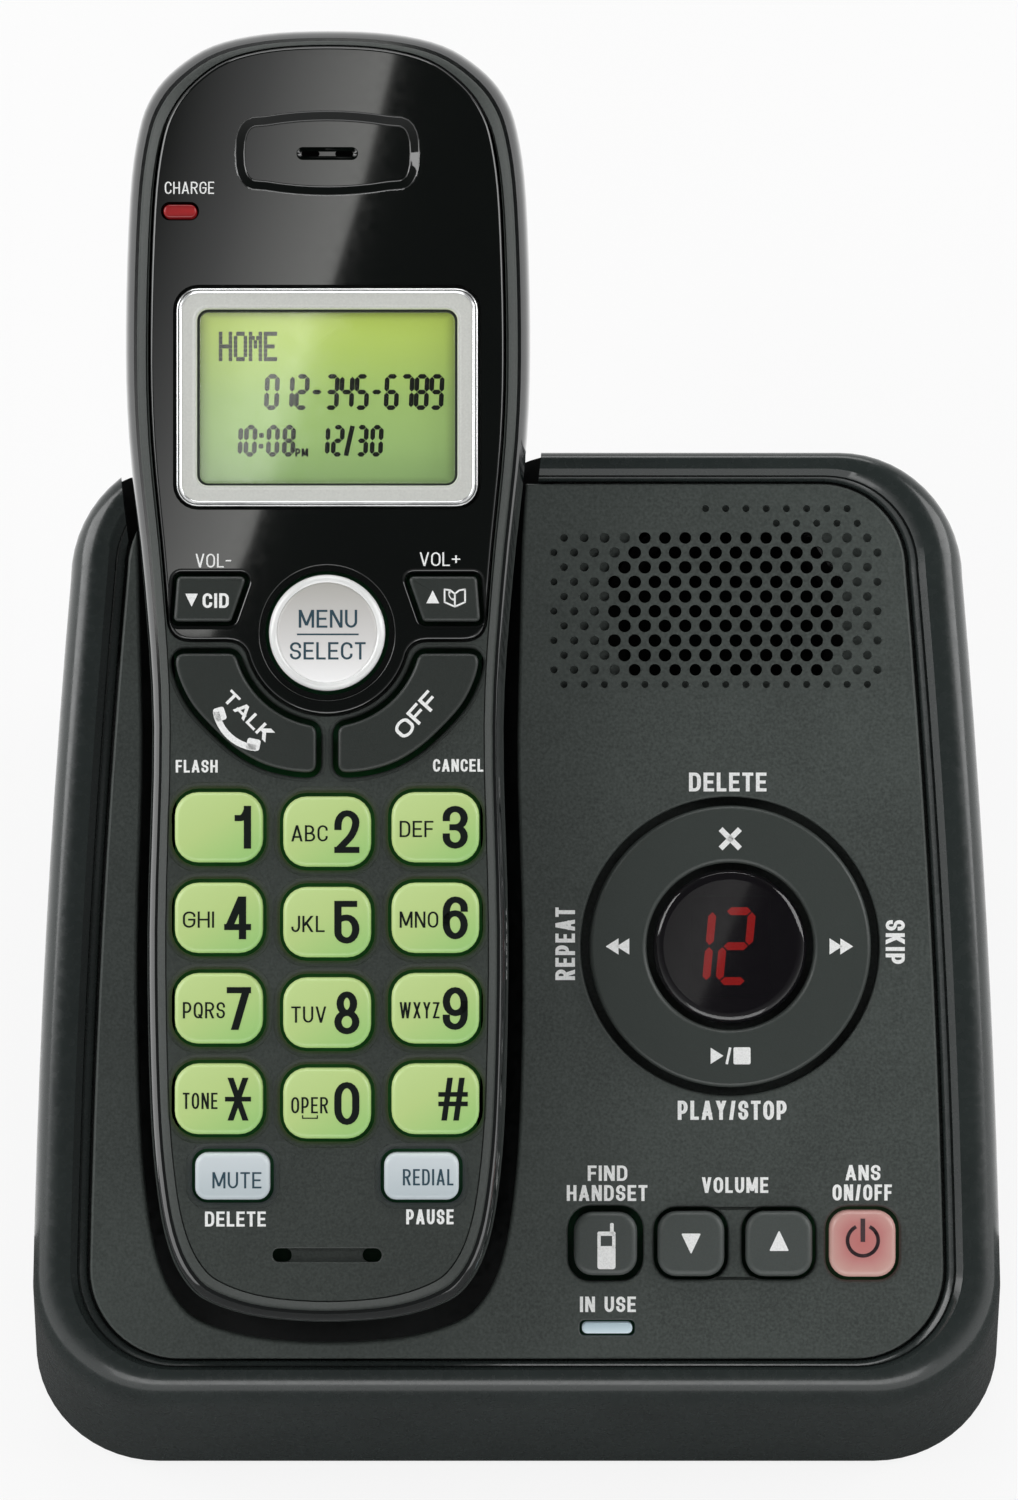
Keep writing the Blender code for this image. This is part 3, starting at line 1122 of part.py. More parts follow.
def build_handset_display():
    """Silver bezel, clear window and display module."""
    floor = -PLATE_THICKNESS
    outer = rounded(0, LCD_Y, LCD_BEZEL_WIDTH, LCD_BEZEL_LENGTH, LCD_BEZEL_RADIUS)
    top_edge = offset(outer, -LCD_BEZEL_BEVEL)
    hole_width, hole_length = LCD_LENS_WIDTH + 2 * SEAT_GAP, LCD_LENS_LENGTH + 2 * SEAT_GAP
    hole = rounded(0, LCD_Y, hole_width, hole_length, LCD_LENS_RADIUS + SEAT_GAP)
    rings = [lifted(hole, floor), lifted(outer, floor), lifted(outer, LCD_BEZEL_PROUD - LCD_BEZEL_BEVEL),
             lifted(top_edge, LCD_BEZEL_PROUD), lifted(hole, LCD_BEZEL_PROUD)]
    add_object("lcd_bezel", loft_loop("lcd_bezel", rings), HANDSET_FRAME, ((0.62, 0.64, 0.66), 0.25, 0.6))
    lens = rounded(0, LCD_Y, LCD_LENS_WIDTH, LCD_LENS_LENGTH, LCD_LENS_RADIUS)
    add_object("lcd_window", prisms("lcd_window", [lens], floor, -LCD_LENS_DEPTH), HANDSET_FRAME,
               ((0.35, 0.5, 0.16), 0.1))
    top = -FRONT_CEILING_DEPTH - SEAT_GAP
    body = rounded(0, LCD_Y, LCD_BEZEL_WIDTH, LCD_BEZEL_LENGTH, LCD_LENS_RADIUS)
    add_object("lcd_module", prisms("lcd_module", [body], top - LCD_BODY_THICKNESS, top), HANDSET_FRAME,
               ((0.4, 0.5, 0.2), 0.4))


def build_handset_keys():
    """All keys of the handset."""
    for name, outline, proud, color in handset_keys():
        mesh = key_mesh(name, outline, proud, KEY_BEVEL, KEY_FLANGE, -KEY_FLANGE_TOP, KEY_FLANGE_THICKNESS)
        add_object(name, mesh, HANDSET_FRAME, (color, 0.35))


def build_handset_inside():
    """Earpiece, microphone, charge light, circuit board and battery pack."""
    top = -FRONT_CEILING_DEPTH - SEAT_GAP
    radius = EARPIECE_RADIUS
    turned("earpiece_speaker", [(0.0, top), (radius, top), (radius, top - EARPIECE_HEIGHT / 3),
                                (radius / 2, top - EARPIECE_HEIGHT / 2),
                                (radius / 2, top - EARPIECE_HEIGHT), (0.0, top - EARPIECE_HEIGHT)],
           HANDSET_FRAME, ((0.1, 0.1, 0.1), 0.4), 0.0, EAR_Y,
           sides=HIDDEN_ROUND_SIDES)
    radius = MICROPHONE_RADIUS
    turned("microphone", [(0.0, top), (radius, top), (radius, top - MICROPHONE_HEIGHT),
                          (0.0, top - MICROPHONE_HEIGHT)], HANDSET_FRAME, ((0.5, 0.5, 0.52), 0.3, 1.0),
           0.0, MIC_Y, sides=SMALL_ROUND_SIDES)
    low = -PHONE_BOARD_TOP + SEAT_GAP
    add_object("charge_light", prisms("charge_light", [light_outline()], low, 0.0), HANDSET_FRAME,
               ((0.4, 0.02, 0.02), 0.25))
    inset = SKIRT_INSET
    board = [(x, min(y, PHONE_BOARD_END)) for x, y in handset_outline(PHONE_BOARD_INSET, inset, inset)
             if y < PHONE_BOARD_END + inset]
    board = [p for i, p in enumerate(board) if (Vector(p) - Vector(board[i - 1])).length > SEAT_GAP]
    mesh = prisms("handset_circuit_board", [board], -PHONE_BOARD_TOP - BOARD_THICKNESS, -PHONE_BOARD_TOP)
    add_object("handset_circuit_board", mesh, HANDSET_FRAME, ((0.03, 0.18, 0.07), 0.5))
    cells = []
    for side in (-1, 1):
        cell = bmesh.new()
        depth = TRAY_FLOOR_DEPTH + TRAY_WALL + TRAY_GAP + CELL_RADIUS
        middle = (side * CELL_RADIUS * CELL_MIDDLE_SHARE, PACK_Y, -depth)
        place = Matrix.Translation(middle) @ Matrix.Rotation(math.pi / 2, 4, 'X')
        length = CELL_LENGTH if side < 0 else CELL_LENGTH - SEAT_GAP
        bmesh.ops.create_cone(cell, cap_ends=True, segments=HIDDEN_ROUND_SIDES, radius1=CELL_RADIUS,
                              radius2=CELL_RADIUS, depth=length, matrix=place)
        mesh = bpy.data.meshes.new("battery_pack")
        cell.to_mesh(mesh)
        cell.free()
        cells.append(mesh)
    pack = add_object("battery_pack", cells[0], HANDSET_FRAME, ((0.1, 0.25, 0.45), 0.4))
    combine(pack, add_cutter("second_cell", cells[1], HANDSET_FRAME), 'UNION')


def centre_on_table():
    """Move the whole object so that its footprint's middle is at the origin."""
    bpy.context.view_layer.update()
    graph = bpy.context.evaluated_depsgraph_get()
    low, high = Vector((math.inf,) * 3), Vector((-math.inf,) * 3)
    for piece in PARTS.objects:
        if piece.type != 'MESH':
            continue
        shown = piece.evaluated_get(graph)
        for point in shown.data.vertices:
            place = shown.matrix_world @ point.co
            low = Vector(map(min, low, place))
            high = Vector(map(max, high, place))
    ROOT.location = (-(low.x + high.x) / 2, -(low.y + high.y) / 2, -low.z)


clear_scene()
PARTS = collection("answering_machine")
CUTTERS = collection("cutters")
ROOT = empty("base_frame")
SLOPE_FRAME = empty("panel_frame", ROOT, slope_matrix())
HANDSET_FRAME = empty("handset_frame", SLOPE_FRAME, Matrix.Translation((HANDSET_X, HANDSET_Y, HANDSET_FACE)))
build_housing()
build_panel()
build_trough()
build_charge_springs()
build_base_controls()
build_base_inside()
build_bottom()
build_jacks()
build_rear_shell()
build_front_shell()
build_faceplate()
build_handset_display()
build_handset_keys()
build_handset_inside()
centre_on_table()
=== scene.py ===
"""The finished look of a cordless telephone base with an answering machine, and its handset.

Lengths are in metres. Two frames carry the pieces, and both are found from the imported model's joints.
The panel's frame has x to the right, y up the slope and z out of the panel. The handset's frame has x
to the right, y along the handset from its lower end and z out of its face.
"""
import json
import math
import re

import bmesh
import bpy
from mathutils import Matrix, Vector


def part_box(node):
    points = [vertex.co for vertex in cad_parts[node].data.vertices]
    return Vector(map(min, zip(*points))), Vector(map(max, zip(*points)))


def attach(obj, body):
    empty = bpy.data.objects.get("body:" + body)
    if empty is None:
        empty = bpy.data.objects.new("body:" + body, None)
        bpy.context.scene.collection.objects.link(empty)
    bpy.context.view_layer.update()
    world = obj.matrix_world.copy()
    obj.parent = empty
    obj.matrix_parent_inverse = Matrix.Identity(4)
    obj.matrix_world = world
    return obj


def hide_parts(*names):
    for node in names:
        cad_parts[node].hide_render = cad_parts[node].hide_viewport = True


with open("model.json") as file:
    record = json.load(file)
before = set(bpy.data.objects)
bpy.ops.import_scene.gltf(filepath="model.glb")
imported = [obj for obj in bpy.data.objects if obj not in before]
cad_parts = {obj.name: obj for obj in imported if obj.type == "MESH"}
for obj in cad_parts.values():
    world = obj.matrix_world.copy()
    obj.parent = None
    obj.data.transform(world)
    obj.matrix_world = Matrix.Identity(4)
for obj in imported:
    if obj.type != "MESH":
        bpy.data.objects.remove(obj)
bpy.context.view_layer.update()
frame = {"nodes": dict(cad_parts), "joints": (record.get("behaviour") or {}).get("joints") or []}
NODES = frame["nodes"]
JOINTS = {joint["name"]: joint for joint in frame["joints"]}

# Fits shared by all pieces
SEAT_GAP = 0.0003
OVERRUN = 0.004
CORNER_STEPS = 6
ROUND_SIDES = 96
PILL_SHARE = 0.47
SHARP_ANGLE = math.radians(38)
LEVEL_NORMAL = 0.9999

# Base, measured along the slope
PANEL_LINE_HEIGHT = 0.0185
BASE_FRONT_HALF = 0.0572
BASE_BACK_HALF = 0.0528
BASE_FRONT = 0.0091
BASE_BACK = 0.1212
BASE_FRONT_RADIUS = 0.015
BASE_BACK_RADIUS = 0.0145
BASE_SIDE_BOW = 0.0007
BASE_WALL = 0.002
FRONT_WALL_DRAFT = 0.00075
REAR_WALL_LEAN = 0.004
SIDE_WALL_DRAFT = 0.0004
SKIRT_HEIGHT = 0.0015
BASE_CORNER_STEPS = 14
BASE_SIDE_STEPS = 10

# Glossy rim round the panel
RIM_CROWN = 0.0006
RIM_WIDTH = 0.0058
RIM_DROP = 0.005
PANEL_INSET = 0.0072
LEDGE_INSET = 0.0095
END_INSET_SHARE = 0.667
RADIUS_INSET_SHARE = 0.62
RIM_SHARES = ((0.05, 0.0), (0.09, 0.47), (0.24, 0.8), (0.5, 0.97), (0.85, 1.0))
RIM_STEPS = 4
RIM_LIP = ((0.0, 0.0005), (0.00016, 0.0005), (0.0002, 0.0001), (0.0009, 0.00042), (0.00105, 0.0007))

# Control panel
PANEL_THICKNESS = 0.0022
PANEL_EDGE_BEVEL = 0.0003
STRIP_END = ((-0.0606, 0.0945), (-0.0435, 0.112))
MOUTH_PINCH = 0.06
PINCH_FROM, PINCH_RUN = 0.07, 0.03
MOUTH_EDGE = 0.0004

# Loudspeaker grille: its lattice, and the columns that go right through
GRILLE_X = 0.0245
GRILLE_TOP_Y = 0.1135
GRILLE_ROW_PITCH = 0.001718
GRILLE_PITCH = 0.002371
GRILLE_ROWS = 13
GRILLE_LEFT, GRILLE_RIGHT = 8.5, 7.5
GRILLE_MIDDLE_ROW = 6.75
GRILLE_HOLE_RADIUS = 0.00076
GRILLE_DIMPLE_RADIUS = 0.00074
GRILLE_SMALL_RADIUS = 0.0005
GRILLE_DIMPLE_DEPTH = 0.0005
GRILLE_SIDES = 14
GRILLE_DIMPLE_TAPER = 0.75
GRILLE_FIRST_COLUMN = -8.0
GRILLE_REACHES = ((3.5, 5.6), (5, 4.6))
GRILLE_END_SHARE = 0.93
GRILLE_TOP_ROWS = (-1.0, 2.4)
GRILLE_TOP_RIGHT = 6.6
GRILLE_FADE_FROM, GRILLE_FADE_RUN = 5.5, 3

# Message ring, its recess and the window in its middle
RING_X = 0.025
RING_Y = 0.0622
RING_AXIS_DEPTH = 0.003
RECESS_RADIUS = 0.0175
RING_OUTER = 0.0165
RING_INNER = 0.0098
RING_HEIGHT = 0.0009
RING_UNDERSIDE = 0.0018
TRENCH_FLOOR = 0.0036
TRENCH_WALL = 0.0009
WINDOW_RADIUS = 0.009
WINDOW_TOP = 0.0005
WINDOW_THICKNESS = 0.0012
TOWER_RADIUS = 0.0087
DIGITS_WIDTH = 0.009
DIGITS_LENGTH = 0.0115
DIGITS_TOP = 0.0014

# Keys of the base
BASE_KEY_Y = 0.0274
BASE_KEY_TOP = 0.0011
BASE_KEY_RADIUS = 0.0022
BASE_KEY_HOLE_RADIUS = 0.0026
BASE_KEY_EDGE = 0.0007
FIND_X = 0.0104
FIND_SIZE = 0.0074
FIND_GAP = 0.0007
VOLUME_DOWN_X = 0.0204
VOLUME_UP_X = 0.0307
VOLUME_WIDTH = 0.0078
VOLUME_LENGTH = 0.0076
VOLUME_GAP = 0.00045
ANSWER_X = 0.0405
ANSWER_SIZE = 0.0077
ANSWER_GAP = 0.0005
HOLE_FLARE = 0.00035
VOLUME_GROOVE = 0.0004
VOLUME_GROOVE_REACH = 0.0041

# In-use light
LIGHT_X = 0.0106
LIGHT_Y = 0.0175
LIGHT_LENGTH = 0.0059
LIGHT_WIDTH = 0.0013

# Handset
HANDSET_X = -0.0219
HANDSET_Y = 0.0188
HANDSET_FACE = 0.015
HANDSET_HALF = 0.0235
HANDSET_LENGTH = 0.1498
HANDSET_DEPTH = 0.027
HANDSET_WALL = 0.0016
OUTLINE_SHARES = (
    (0.0, 0.0), (0.33, 0.0035), (0.56, 0.0135), (0.685, 0.027), (0.78, 0.054), (0.84, 0.0975),
    (0.878, 0.17), (0.892, 0.3), (0.868, 0.46), (0.913, 0.575), (0.985, 0.685), (1.0, 0.77),
    (0.98, 0.87), (0.936, 0.922), (0.868, 0.95), (0.75, 0.971), (0.57, 0.9885), (0.32, 0.9975),
    (0.0, 1.0),
)
OUTLINE_STEPS = 4
BACK_SHARES = (
    (0.07, 0.047, 0.0073, 0.0073), (0.11, 0.015, 0.0024, 0.0024), (0.2, 0.0, 0.0, 0.0),
    (0.41, 0.013, 0.004, 0.0025), (0.556, 0.034, 0.012, 0.006),
    (0.72, 0.09, 0.032, 0.0145), (0.86, 0.195, 0.071, 0.032), (0.95, 0.329, 0.115, 0.063),
    (1.0, 0.53, 0.175, 0.127),
)
BACK_STEPS = 3
FRONT_INSET = 0.0015
FRONT_EDGE_DROP = 0.0004
FRONT_FACE_DEPTH = 0.0004
FRONT_FLANGE_DEPTH = 0.0015
FRONT_CEILING_DEPTH = 0.0026
FRONT_BAND = 0.0012
SKIRT_INSET = 0.003

# Faceplate
PLATE_INSET = 0.0031
PLATE_TOP_INSET = 0.0023
PLATE_THICKNESS = 0.0012
PLATE_BEVEL = 0.0003
PLATE_BOTTOM = 0.079
PLATE_BOTTOM_RADIUS = 0.0026
LOBE_RADIUS = 0.0094

# Display of the handset
LCD_Y = 0.107
LCD_BEZEL_WIDTH = 0.035
LCD_BEZEL_LENGTH = 0.0254
LCD_BEZEL_RADIUS = 0.0026
LCD_BEZEL_PROUD = 0.0003
LCD_LENS_WIDTH = 0.0295
LCD_LENS_LENGTH = 0.0198
LCD_LENS_RADIUS = 0.001
LCD_LENS_DEPTH = 0.0002

# Earpiece, microphone, charge light
EAR_Y = 0.1352
EAR_DISH_WIDTH = 0.0214
EAR_DISH_LENGTH = 0.0099
EAR_DISH_DEPTH = 0.0005
EAR_BOW = 0.0006
EAR_BOW_STEPS = 8
EAR_SLOT_WIDTH = 0.0021
EAR_SLOT_LENGTH = 0.0006
EAR_SLOT_SPACING = 0.0039
EAR_PILL_WIDTH = 0.0069
EAR_PILL_LENGTH = 0.0013
MIC_Y = 0.00795
MIC_SLOT_WIDTH = 0.0126
MIC_SLOT_LENGTH = 0.0016
MIC_HOLE_WIDTH = 0.0022
MIC_SLOT_DEPTH = 0.0008
CHARGE_LIGHT_X = -0.017
CHARGE_LIGHT_Y = 0.1285
CHARGE_LIGHT_WIDTH = 0.0038
CHARGE_LIGHT_LENGTH = 0.00155

# Keys of the handset
KEY_PROUD = 0.0006
KEY_GAP = 0.00045
KEY_EDGE = 0.0006
KEY_FOOT = 0.0029
SHOULDER = ((0.0, 0.00055), (0.00005, 0.00042), (0.00013, 0.00031), (0.00025, 0.00022), (0.0004, 0.00015),
            (0.00056, 0.00011), (0.00063, 0.00009), (0.00067, 0.0))
DIAL_PITCH_X = 0.0125
DIAL_PITCH_Y = 0.01045
DIAL_BOTTOM_Y = 0.0255
DIAL_SIDE_RISE = 0.0005
DIAL_WIDTH = 0.0101
DIAL_LENGTH = 0.0081
DIAL_RADIUS = 0.0027
SMALL_KEY_X = 0.0109
SMALL_KEY_Y = 0.0171
SMALL_KEY_WIDTH = 0.0086
SMALL_KEY_LENGTH = 0.0054
SMALL_KEY_RADIUS = 0.0014
MENU_Y = 0.0798
MENU_RADIUS = 0.0067
MENU_FACE_RADIUS = 0.0058
MENU_RING_RADIUS = 0.0078
MENU_RING_DEPTH = 0.0005
MENU_PROUD = 0.0009
ARROW_KEY_TOP = 0.0863
ARROW_KEY_BOTTOM = 0.0811
ARROW_KEY_OUTER_TOP = 0.0173
ARROW_KEY_OUTER_BOTTOM = 0.0177
ARROW_KEY_INNER_TOP = 0.0093
ARROW_KEY_INNER_BOTTOM = 0.0111
ARROW_KEY_RADIUS = 0.0006
TALK_TOP = 0.0774
TALK_INNER_X = 0.00127
TALK_INNER_ARC = 0.01085
TALK_OUTER_EDGE = ((-0.0176, 0.0774), (-0.01715, 0.0749), (-0.0157, 0.0718), (-0.0133, 0.069), (-0.0104, 0.0664),
                   (-0.0074, 0.0647), (-0.0042, 0.06385), (-0.00127, 0.06365))
TALK_RADIUS = 0.0011
TALK_GAP = 0.0006
TALK_SHOULDER = 0.74
SEAT_SHOULDER = 0.7
ARC_STEPS = 16

# Battery bay and door
CELL_RADIUS = 0.00525
CELL_LENGTH = 0.0438
PACK_Y = 0.1204
TRAY_WALL = 0.0012
TRAY_GAP = 0.0004
TRAY_FLOOR_DEPTH = 0.0081
DOOR_HALF = 0.012
DOOR_FROM = 0.1026
DOOR_TO = 0.141
DOOR_RADIUS = 0.003
DOOR_CUT_DEPTH = 0.023
RIB_FROM, RIB_PITCH, RIB_COUNT, RIB_WIDTH, RIB_DEPTH = 0.006, 0.0017, 5, 0.011, 0.0004
CONTACT_X = 0.0065
CONTACT_Y = 0.042
CONTACT_WIDTH = 0.0042
CONTACT_LENGTH = 0.009
CONTACT_THICKNESS = 0.0006

# Trough for the handset
TROUGH_WALL = 0.0016
TROUGH_SEAT_GAP = 0.0006
TROUGH_MOUTH_SIDE = 0.0026
TROUGH_MOUTH_END = 0.0048
TROUGH_FLANGE = 0.0026
TROUGH_SHARES = (1.0, 0.58, 0.26, 0.1, 0.0)
SPRING_WIDTH = 0.0022
SPRING_LENGTH = 0.0062

# Printed words: how far ink stands on a surface, and how deep it reaches
INK_HEIGHT = 0.00002
INK_DEPTH = 0.00006
INK_STEP = 0.0000015
LETTER_GAP = 0.14
LETTER_SPACE = 0.3
CROSS_PEN = 0.84
LETTER_ROUND = 0.33
LETTER_STEPS = 5

# A plain narrow alphabet: each letter's width as a share of its height, then its strokes through points of
# an eight by eight grid, x before y. A stop after a point rounds that corner, and o closes the stroke.
LETTERS = {
    "A": (0.6, "0048 8048 1272"), "B": (0.54, "0008 0878.74.04 0484.80.00"), "C": (0.54, "8280.00.08.88.86"),
    "D": (0.54, "000888.80.o"), "E": (0.48, "88080080 0474"), "F": (0.46, "880800 0474"),
    "G": (0.56, "8688.08.00.80.8444"), "H": (0.54, "0008 8088 0484"), "I": (0.0, "0008"),
    "J": (0.44, "8880.00.02"), "K": (0.56, "0008 0388 2580"), "L": (0.44, "080080"),
    "M": (0.68, "0008 8088 0841 8841"), "N": (0.56, "0008 8088 0880"), "O": (0.56, "00.80.88.08.o"),
    "P": (0.52, "0008 0888.83.03"), "Q": (0.56, "00.80.88.08.o 5280"), "R": (0.56, "0008 0888.84.04 4480"),
    "S": (0.52, "8688.08.04.84.80.00.02"), "T": (0.5, "0888 4048"), "U": (0.54, "0800.80.88"),
    "V": (0.56, "0840 8840"), "W": (0.84, "0820 4820 4860 8860"), "X": (0.56, "0088 0880"),
    "Y": (0.56, "0844 8844 4044"), "Z": (0.5, "0888 0088 0080"), "0": (0.56, "00.80.88.08.o"),
    "1": (0.34, "0666.88 8088"), "2": (0.56, "0508.88.84.00 0080"), "3": (0.56, "0608.88.84.34 3484.80.00.02"),
    "4": (0.6, "6068 0268 0282"), "5": (0.56, "7808 0803 0405.85.80.00.02"), "6": (0.56, "8688.08.00.80.85.05.03"),
    "7": (0.56, "0888 8820"), "8": (0.56, "14.74.78.18.o 04.84.80.00.o"), "9": (0.56, "0200.80.88.08.03.83.85"),
    "#": (0.6, "1038 5078 0383 0585"), "*": (0.6, "1078 1870 0484"), "/": (0.34, "0088"), "-": (0.34, "0484"),
    "+": (0.5, "0484 4246"),
}


def joint_frame():
    """The panel's frame, from the handset's lift-off direction and the message ring's axis."""
    out = Vector(JOINTS["handset_lift"]["axis"])
    slope = math.atan2(-out.y, out.z)
    middle = Vector(JOINTS["ring_tilt_up_down"]["pos_m"])
    place = Matrix.Translation(middle) @ Matrix.Rotation(slope, 4, 'X')
    return slope, place @ Matrix.Translation((-RING_X, -RING_Y, RING_AXIS_DEPTH))


SLOPE, PANEL_PLACE = joint_frame()
HANDSET_PLACE = PANEL_PLACE @ Matrix.Translation((HANDSET_X, HANDSET_Y, HANDSET_FACE))
BASE_PLACE = Matrix.Translation(PANEL_PLACE.translation - Vector((0, 0, PANEL_LINE_HEIGHT)))
ON_BASE = Matrix.Translation((0, 0, PANEL_LINE_HEIGHT)) @ Matrix.Rotation(SLOPE, 4, 'X')


# Outlines

def circle(x, y, radius, sides=ROUND_SIDES):
    """A round outline."""
    turn = 2 * math.pi / sides
    return [(x + radius * math.cos(i * turn), y + radius * math.sin(i * turn)) for i in range(sides)]


def arc(x, y, radius, start, end, steps):
    """Points along an arc, angles in degrees."""
    points = []
    for i in range(steps + 1):
        angle = math.radians(start + (end - start) * i / steps)
        points.append((x + radius * math.cos(angle), y + radius * math.sin(angle)))
    return points


def rounded(x, y, width, length, radius, steps=CORNER_STEPS):
    """A rectangle with round corners."""
    right, top = width / 2 - radius, length / 2 - radius
    corners = ((right, -top, -90), (right, top, 0), (-right, top, 90), (-right, -top, 180))
    points = []
    for dx, dy, start in corners:
        points += arc(x + dx, y + dy, radius, start, start + 90, steps)
    return points


def offset(outline, distance):
    """Move an anticlockwise outline outwards."""
    count = len(outline)
    moved = []
    for i in range(count):
        here = Vector(outline[i])
        before = (here - Vector(outline[i - 1])).normalized()
        after = (Vector(outline[(i + 1) % count]) - here).normalized()
        normal = Vector((before.y + after.y, -before.x - after.x)).normalized()
        spread = max(0.5, normal.dot(Vector((after.y, -after.x))))
        moved.append(tuple(here + normal * (distance / spread)))
    return moved


def fillet(outline, radius, steps=CORNER_STEPS, least=math.radians(30)):
    """Round the corners of an outline that turn by more than an angle, over as many short sides as it takes."""
    points = [Vector(p) for p in outline]
    count = len(points)
    turns = [math.pi - (points[i - 1] - here).angle(points[(i + 1) % count] - here) for i, here in enumerate(points)]
    taken, rounds = set(), {}
    for i, turn in enumerate(turns):
        if turn < least:
            continue
        ends = []
        for way in (-1, 1):
            at, left = i, radius * math.tan(turn / 2)
            while True:
                ahead = (at + way) % count
                side = points[ahead] - points[at]
                if turns[ahead] >= least:
                    left = min(left, side.length * 0.48)
                if side.length > left:
                    break
                left -= side.length
                at = ahead
                taken.add(at)
            ends.append(points[at] + side * (left / side.length))
        rounds[i] = ends
    result = []
    for i, here in enumerate(points):
        if i in rounds:
            start, end = rounds[i]
            result += [tuple(start * (1 - t) ** 2 + here * (2 * t * (1 - t)) + end * t ** 2)
                       for t in (k / steps for k in range(steps + 1))]
        elif i not in taken:
            result.append(tuple(here))
    return result


def mirrored(outline):
    """An outline mirrored left to right, still anticlockwise."""
    return [(-x, y) for x, y in reversed(outline)]


def smooth_path(points, steps):
    """A smooth curve through points (Catmull-Rom), both ends kept."""
    path = []
    for i in range(len(points) - 1):
        a = Vector(points[max(i - 1, 0)])
        b = Vector(points[i])
        c = Vector(points[i + 1])
        d = Vector(points[min(i + 2, len(points) - 1)])
        for k in range(steps):
            t = k / steps
            path.append(b * (1 - 3 * t ** 2 + 2 * t ** 3) + c * (3 * t ** 2 - 2 * t ** 3)
                        + (c - a) * ((t - 2 * t ** 2 + t ** 3) / 2) + (d - b) * ((t ** 3 - t ** 2) / 2))
    path.append(Vector(points[-1]))
    return path


# Meshes

def placed(name, data):
    """A new object in the scene."""
    item = bpy.data.objects.new(name, data)
    bpy.context.scene.collection.objects.link(item)
    return item


def plain_mesh(item):
    """An object's mesh with its modifiers worked in."""
    graph = bpy.context.evaluated_depsgraph_get()
    return bpy.data.meshes.new_from_object(item.evaluated_get(graph))


def mark_points(mesh, name, values):
    """Give each point of a mesh a value of its own."""
    mesh.attributes.new(name, 'FLOAT', 'POINT').data.foreach_set("value", values)


def lifted(outline, height):
    """A flat outline as a ring at a height."""
    return [Vector((x, y, height)) for x, y in outline]


def loft(rings, loop=False):
    """A closed mesh through rings of like count, listed from the low end up."""
    count = len(rings[0])
    verts = [tuple(point) for ring in rings for point in ring]
    faces = []
    for level in range(len(rings) - (0 if loop else 1)):
        low = level * count
        high = (level + 1) % len(rings) * count
        for i in range(count):
            j = (i + 1) % count
            faces.append((low + i, low + j, high + j, high + i))
    if not loop:
        faces.append(tuple(reversed(range(count))))
        faces.append(tuple(range(len(verts) - count, len(verts))))
    mesh = bpy.data.meshes.new("loft")
    mesh.from_pydata(verts, [], faces)
    mesh.update()
    return mesh


def merged(meshes):
    """One mesh from several that share a finish."""
    return gather([(mesh, None) for mesh in meshes])


def prisms(outlines, low, high):
    """Upright prisms on flat outlines, in one mesh."""
    return merged(loft([lifted(outline, low), lifted(outline, high)]) for outline in outlines)


def gather(parts):
    """One mesh from several; each keeps its own place in the list of finishes. Its faces point outwards."""
    whole = bmesh.new()
    for index, (mesh, look) in enumerate(parts):
        start = len(whole.faces)
        whole.from_mesh(mesh)
        whole.faces.ensure_lookup_table()
        for face in whole.faces[start:]:
            face.material_index = index if look else 0
    bmesh.ops.remove_doubles(whole, verts=whole.verts, dist=1e-7)
    bmesh.ops.recalc_face_normals(whole, faces=whole.faces)
    result = bpy.data.meshes.new("whole")
    whole.to_mesh(result)
    whole.free()
    for mesh, look in parts:
        if look:
            result.materials.append(look)
    return result


def lathe(profile, sides=ROUND_SIDES, x=0.0, y=0.0, loop=False):
    """A turned mesh from a profile of radius and height, listed from the low side round the outside."""
    rings = [lifted(circle(x, y, max(radius, 0.00001), sides), height) for radius, height in profile]
    return loft(rings, loop=loop)


def carved(mesh, *cutters, operation='DIFFERENCE'):
    """A mesh after cutters are taken from it, joined to it, or kept in common with it."""
    piece = placed("carved", mesh)
    tools = []
    for cutter in cutters:
        tool = placed("cutter", cutter)
        step = piece.modifiers.new("step", 'BOOLEAN')
        step.operation, step.solver, step.object = operation, 'EXACT', tool
        tools.append(tool)
    result = plain_mesh(piece)
    for item in (piece, *tools):
        bpy.data.objects.remove(item)
    return result


def flared_way(outline, low, flare, top=0.0, steps=4):
    """A cutter for an opening whose upper edge is rounded outwards."""
    rings = [lifted(outline, low), lifted(outline, top - flare)]
    for i in range(1, steps + 1):
        turn = math.pi / 2 * i / steps
        rings.append(lifted(offset(outline, flare * (1 - math.cos(turn))), top - flare + flare * math.sin(turn)))
    rings.append(lifted(offset(outline, flare), top + OVERRUN))
    return loft(rings)


def sunk_way(outline, low, top, scale=1.0):
    """A cutter for an opening with a soft sunk shoulder round it, which ends in a crisp line."""
    rings = [lifted(outline, low)]
    rings += [lifted(offset(outline, out * scale), top - down * scale) for out, down in SHOULDER]
    rings.append(lifted(offset(outline, SHOULDER[-1][0] * scale), top + OVERRUN))
    return loft(rings)


def key_cap(outline, foot, top, edge, dome=0.0, steps=5):
    """A key cap: upright sides, a rounded edge and a flat or slightly domed top."""
    rings = [lifted(outline, foot)]
    for i in range(steps + 1):
        turn = math.pi / 2 * i / steps
        rings.append(lifted(offset(outline, -edge * (1 - math.cos(turn))), top - edge + edge * math.sin(turn)))
    if dome:
        face = rings[-1]
        middle = sum(face, Vector()) / len(face)
        for share in (0.85, 0.65, 0.4, 0.15):
            rings.append([Vector((middle.x + (p.x - middle.x) * share, middle.y + (p.y - middle.y) * share,
                                  top + dome * (1 - share ** 2))) for p in face])
    return loft(rings)


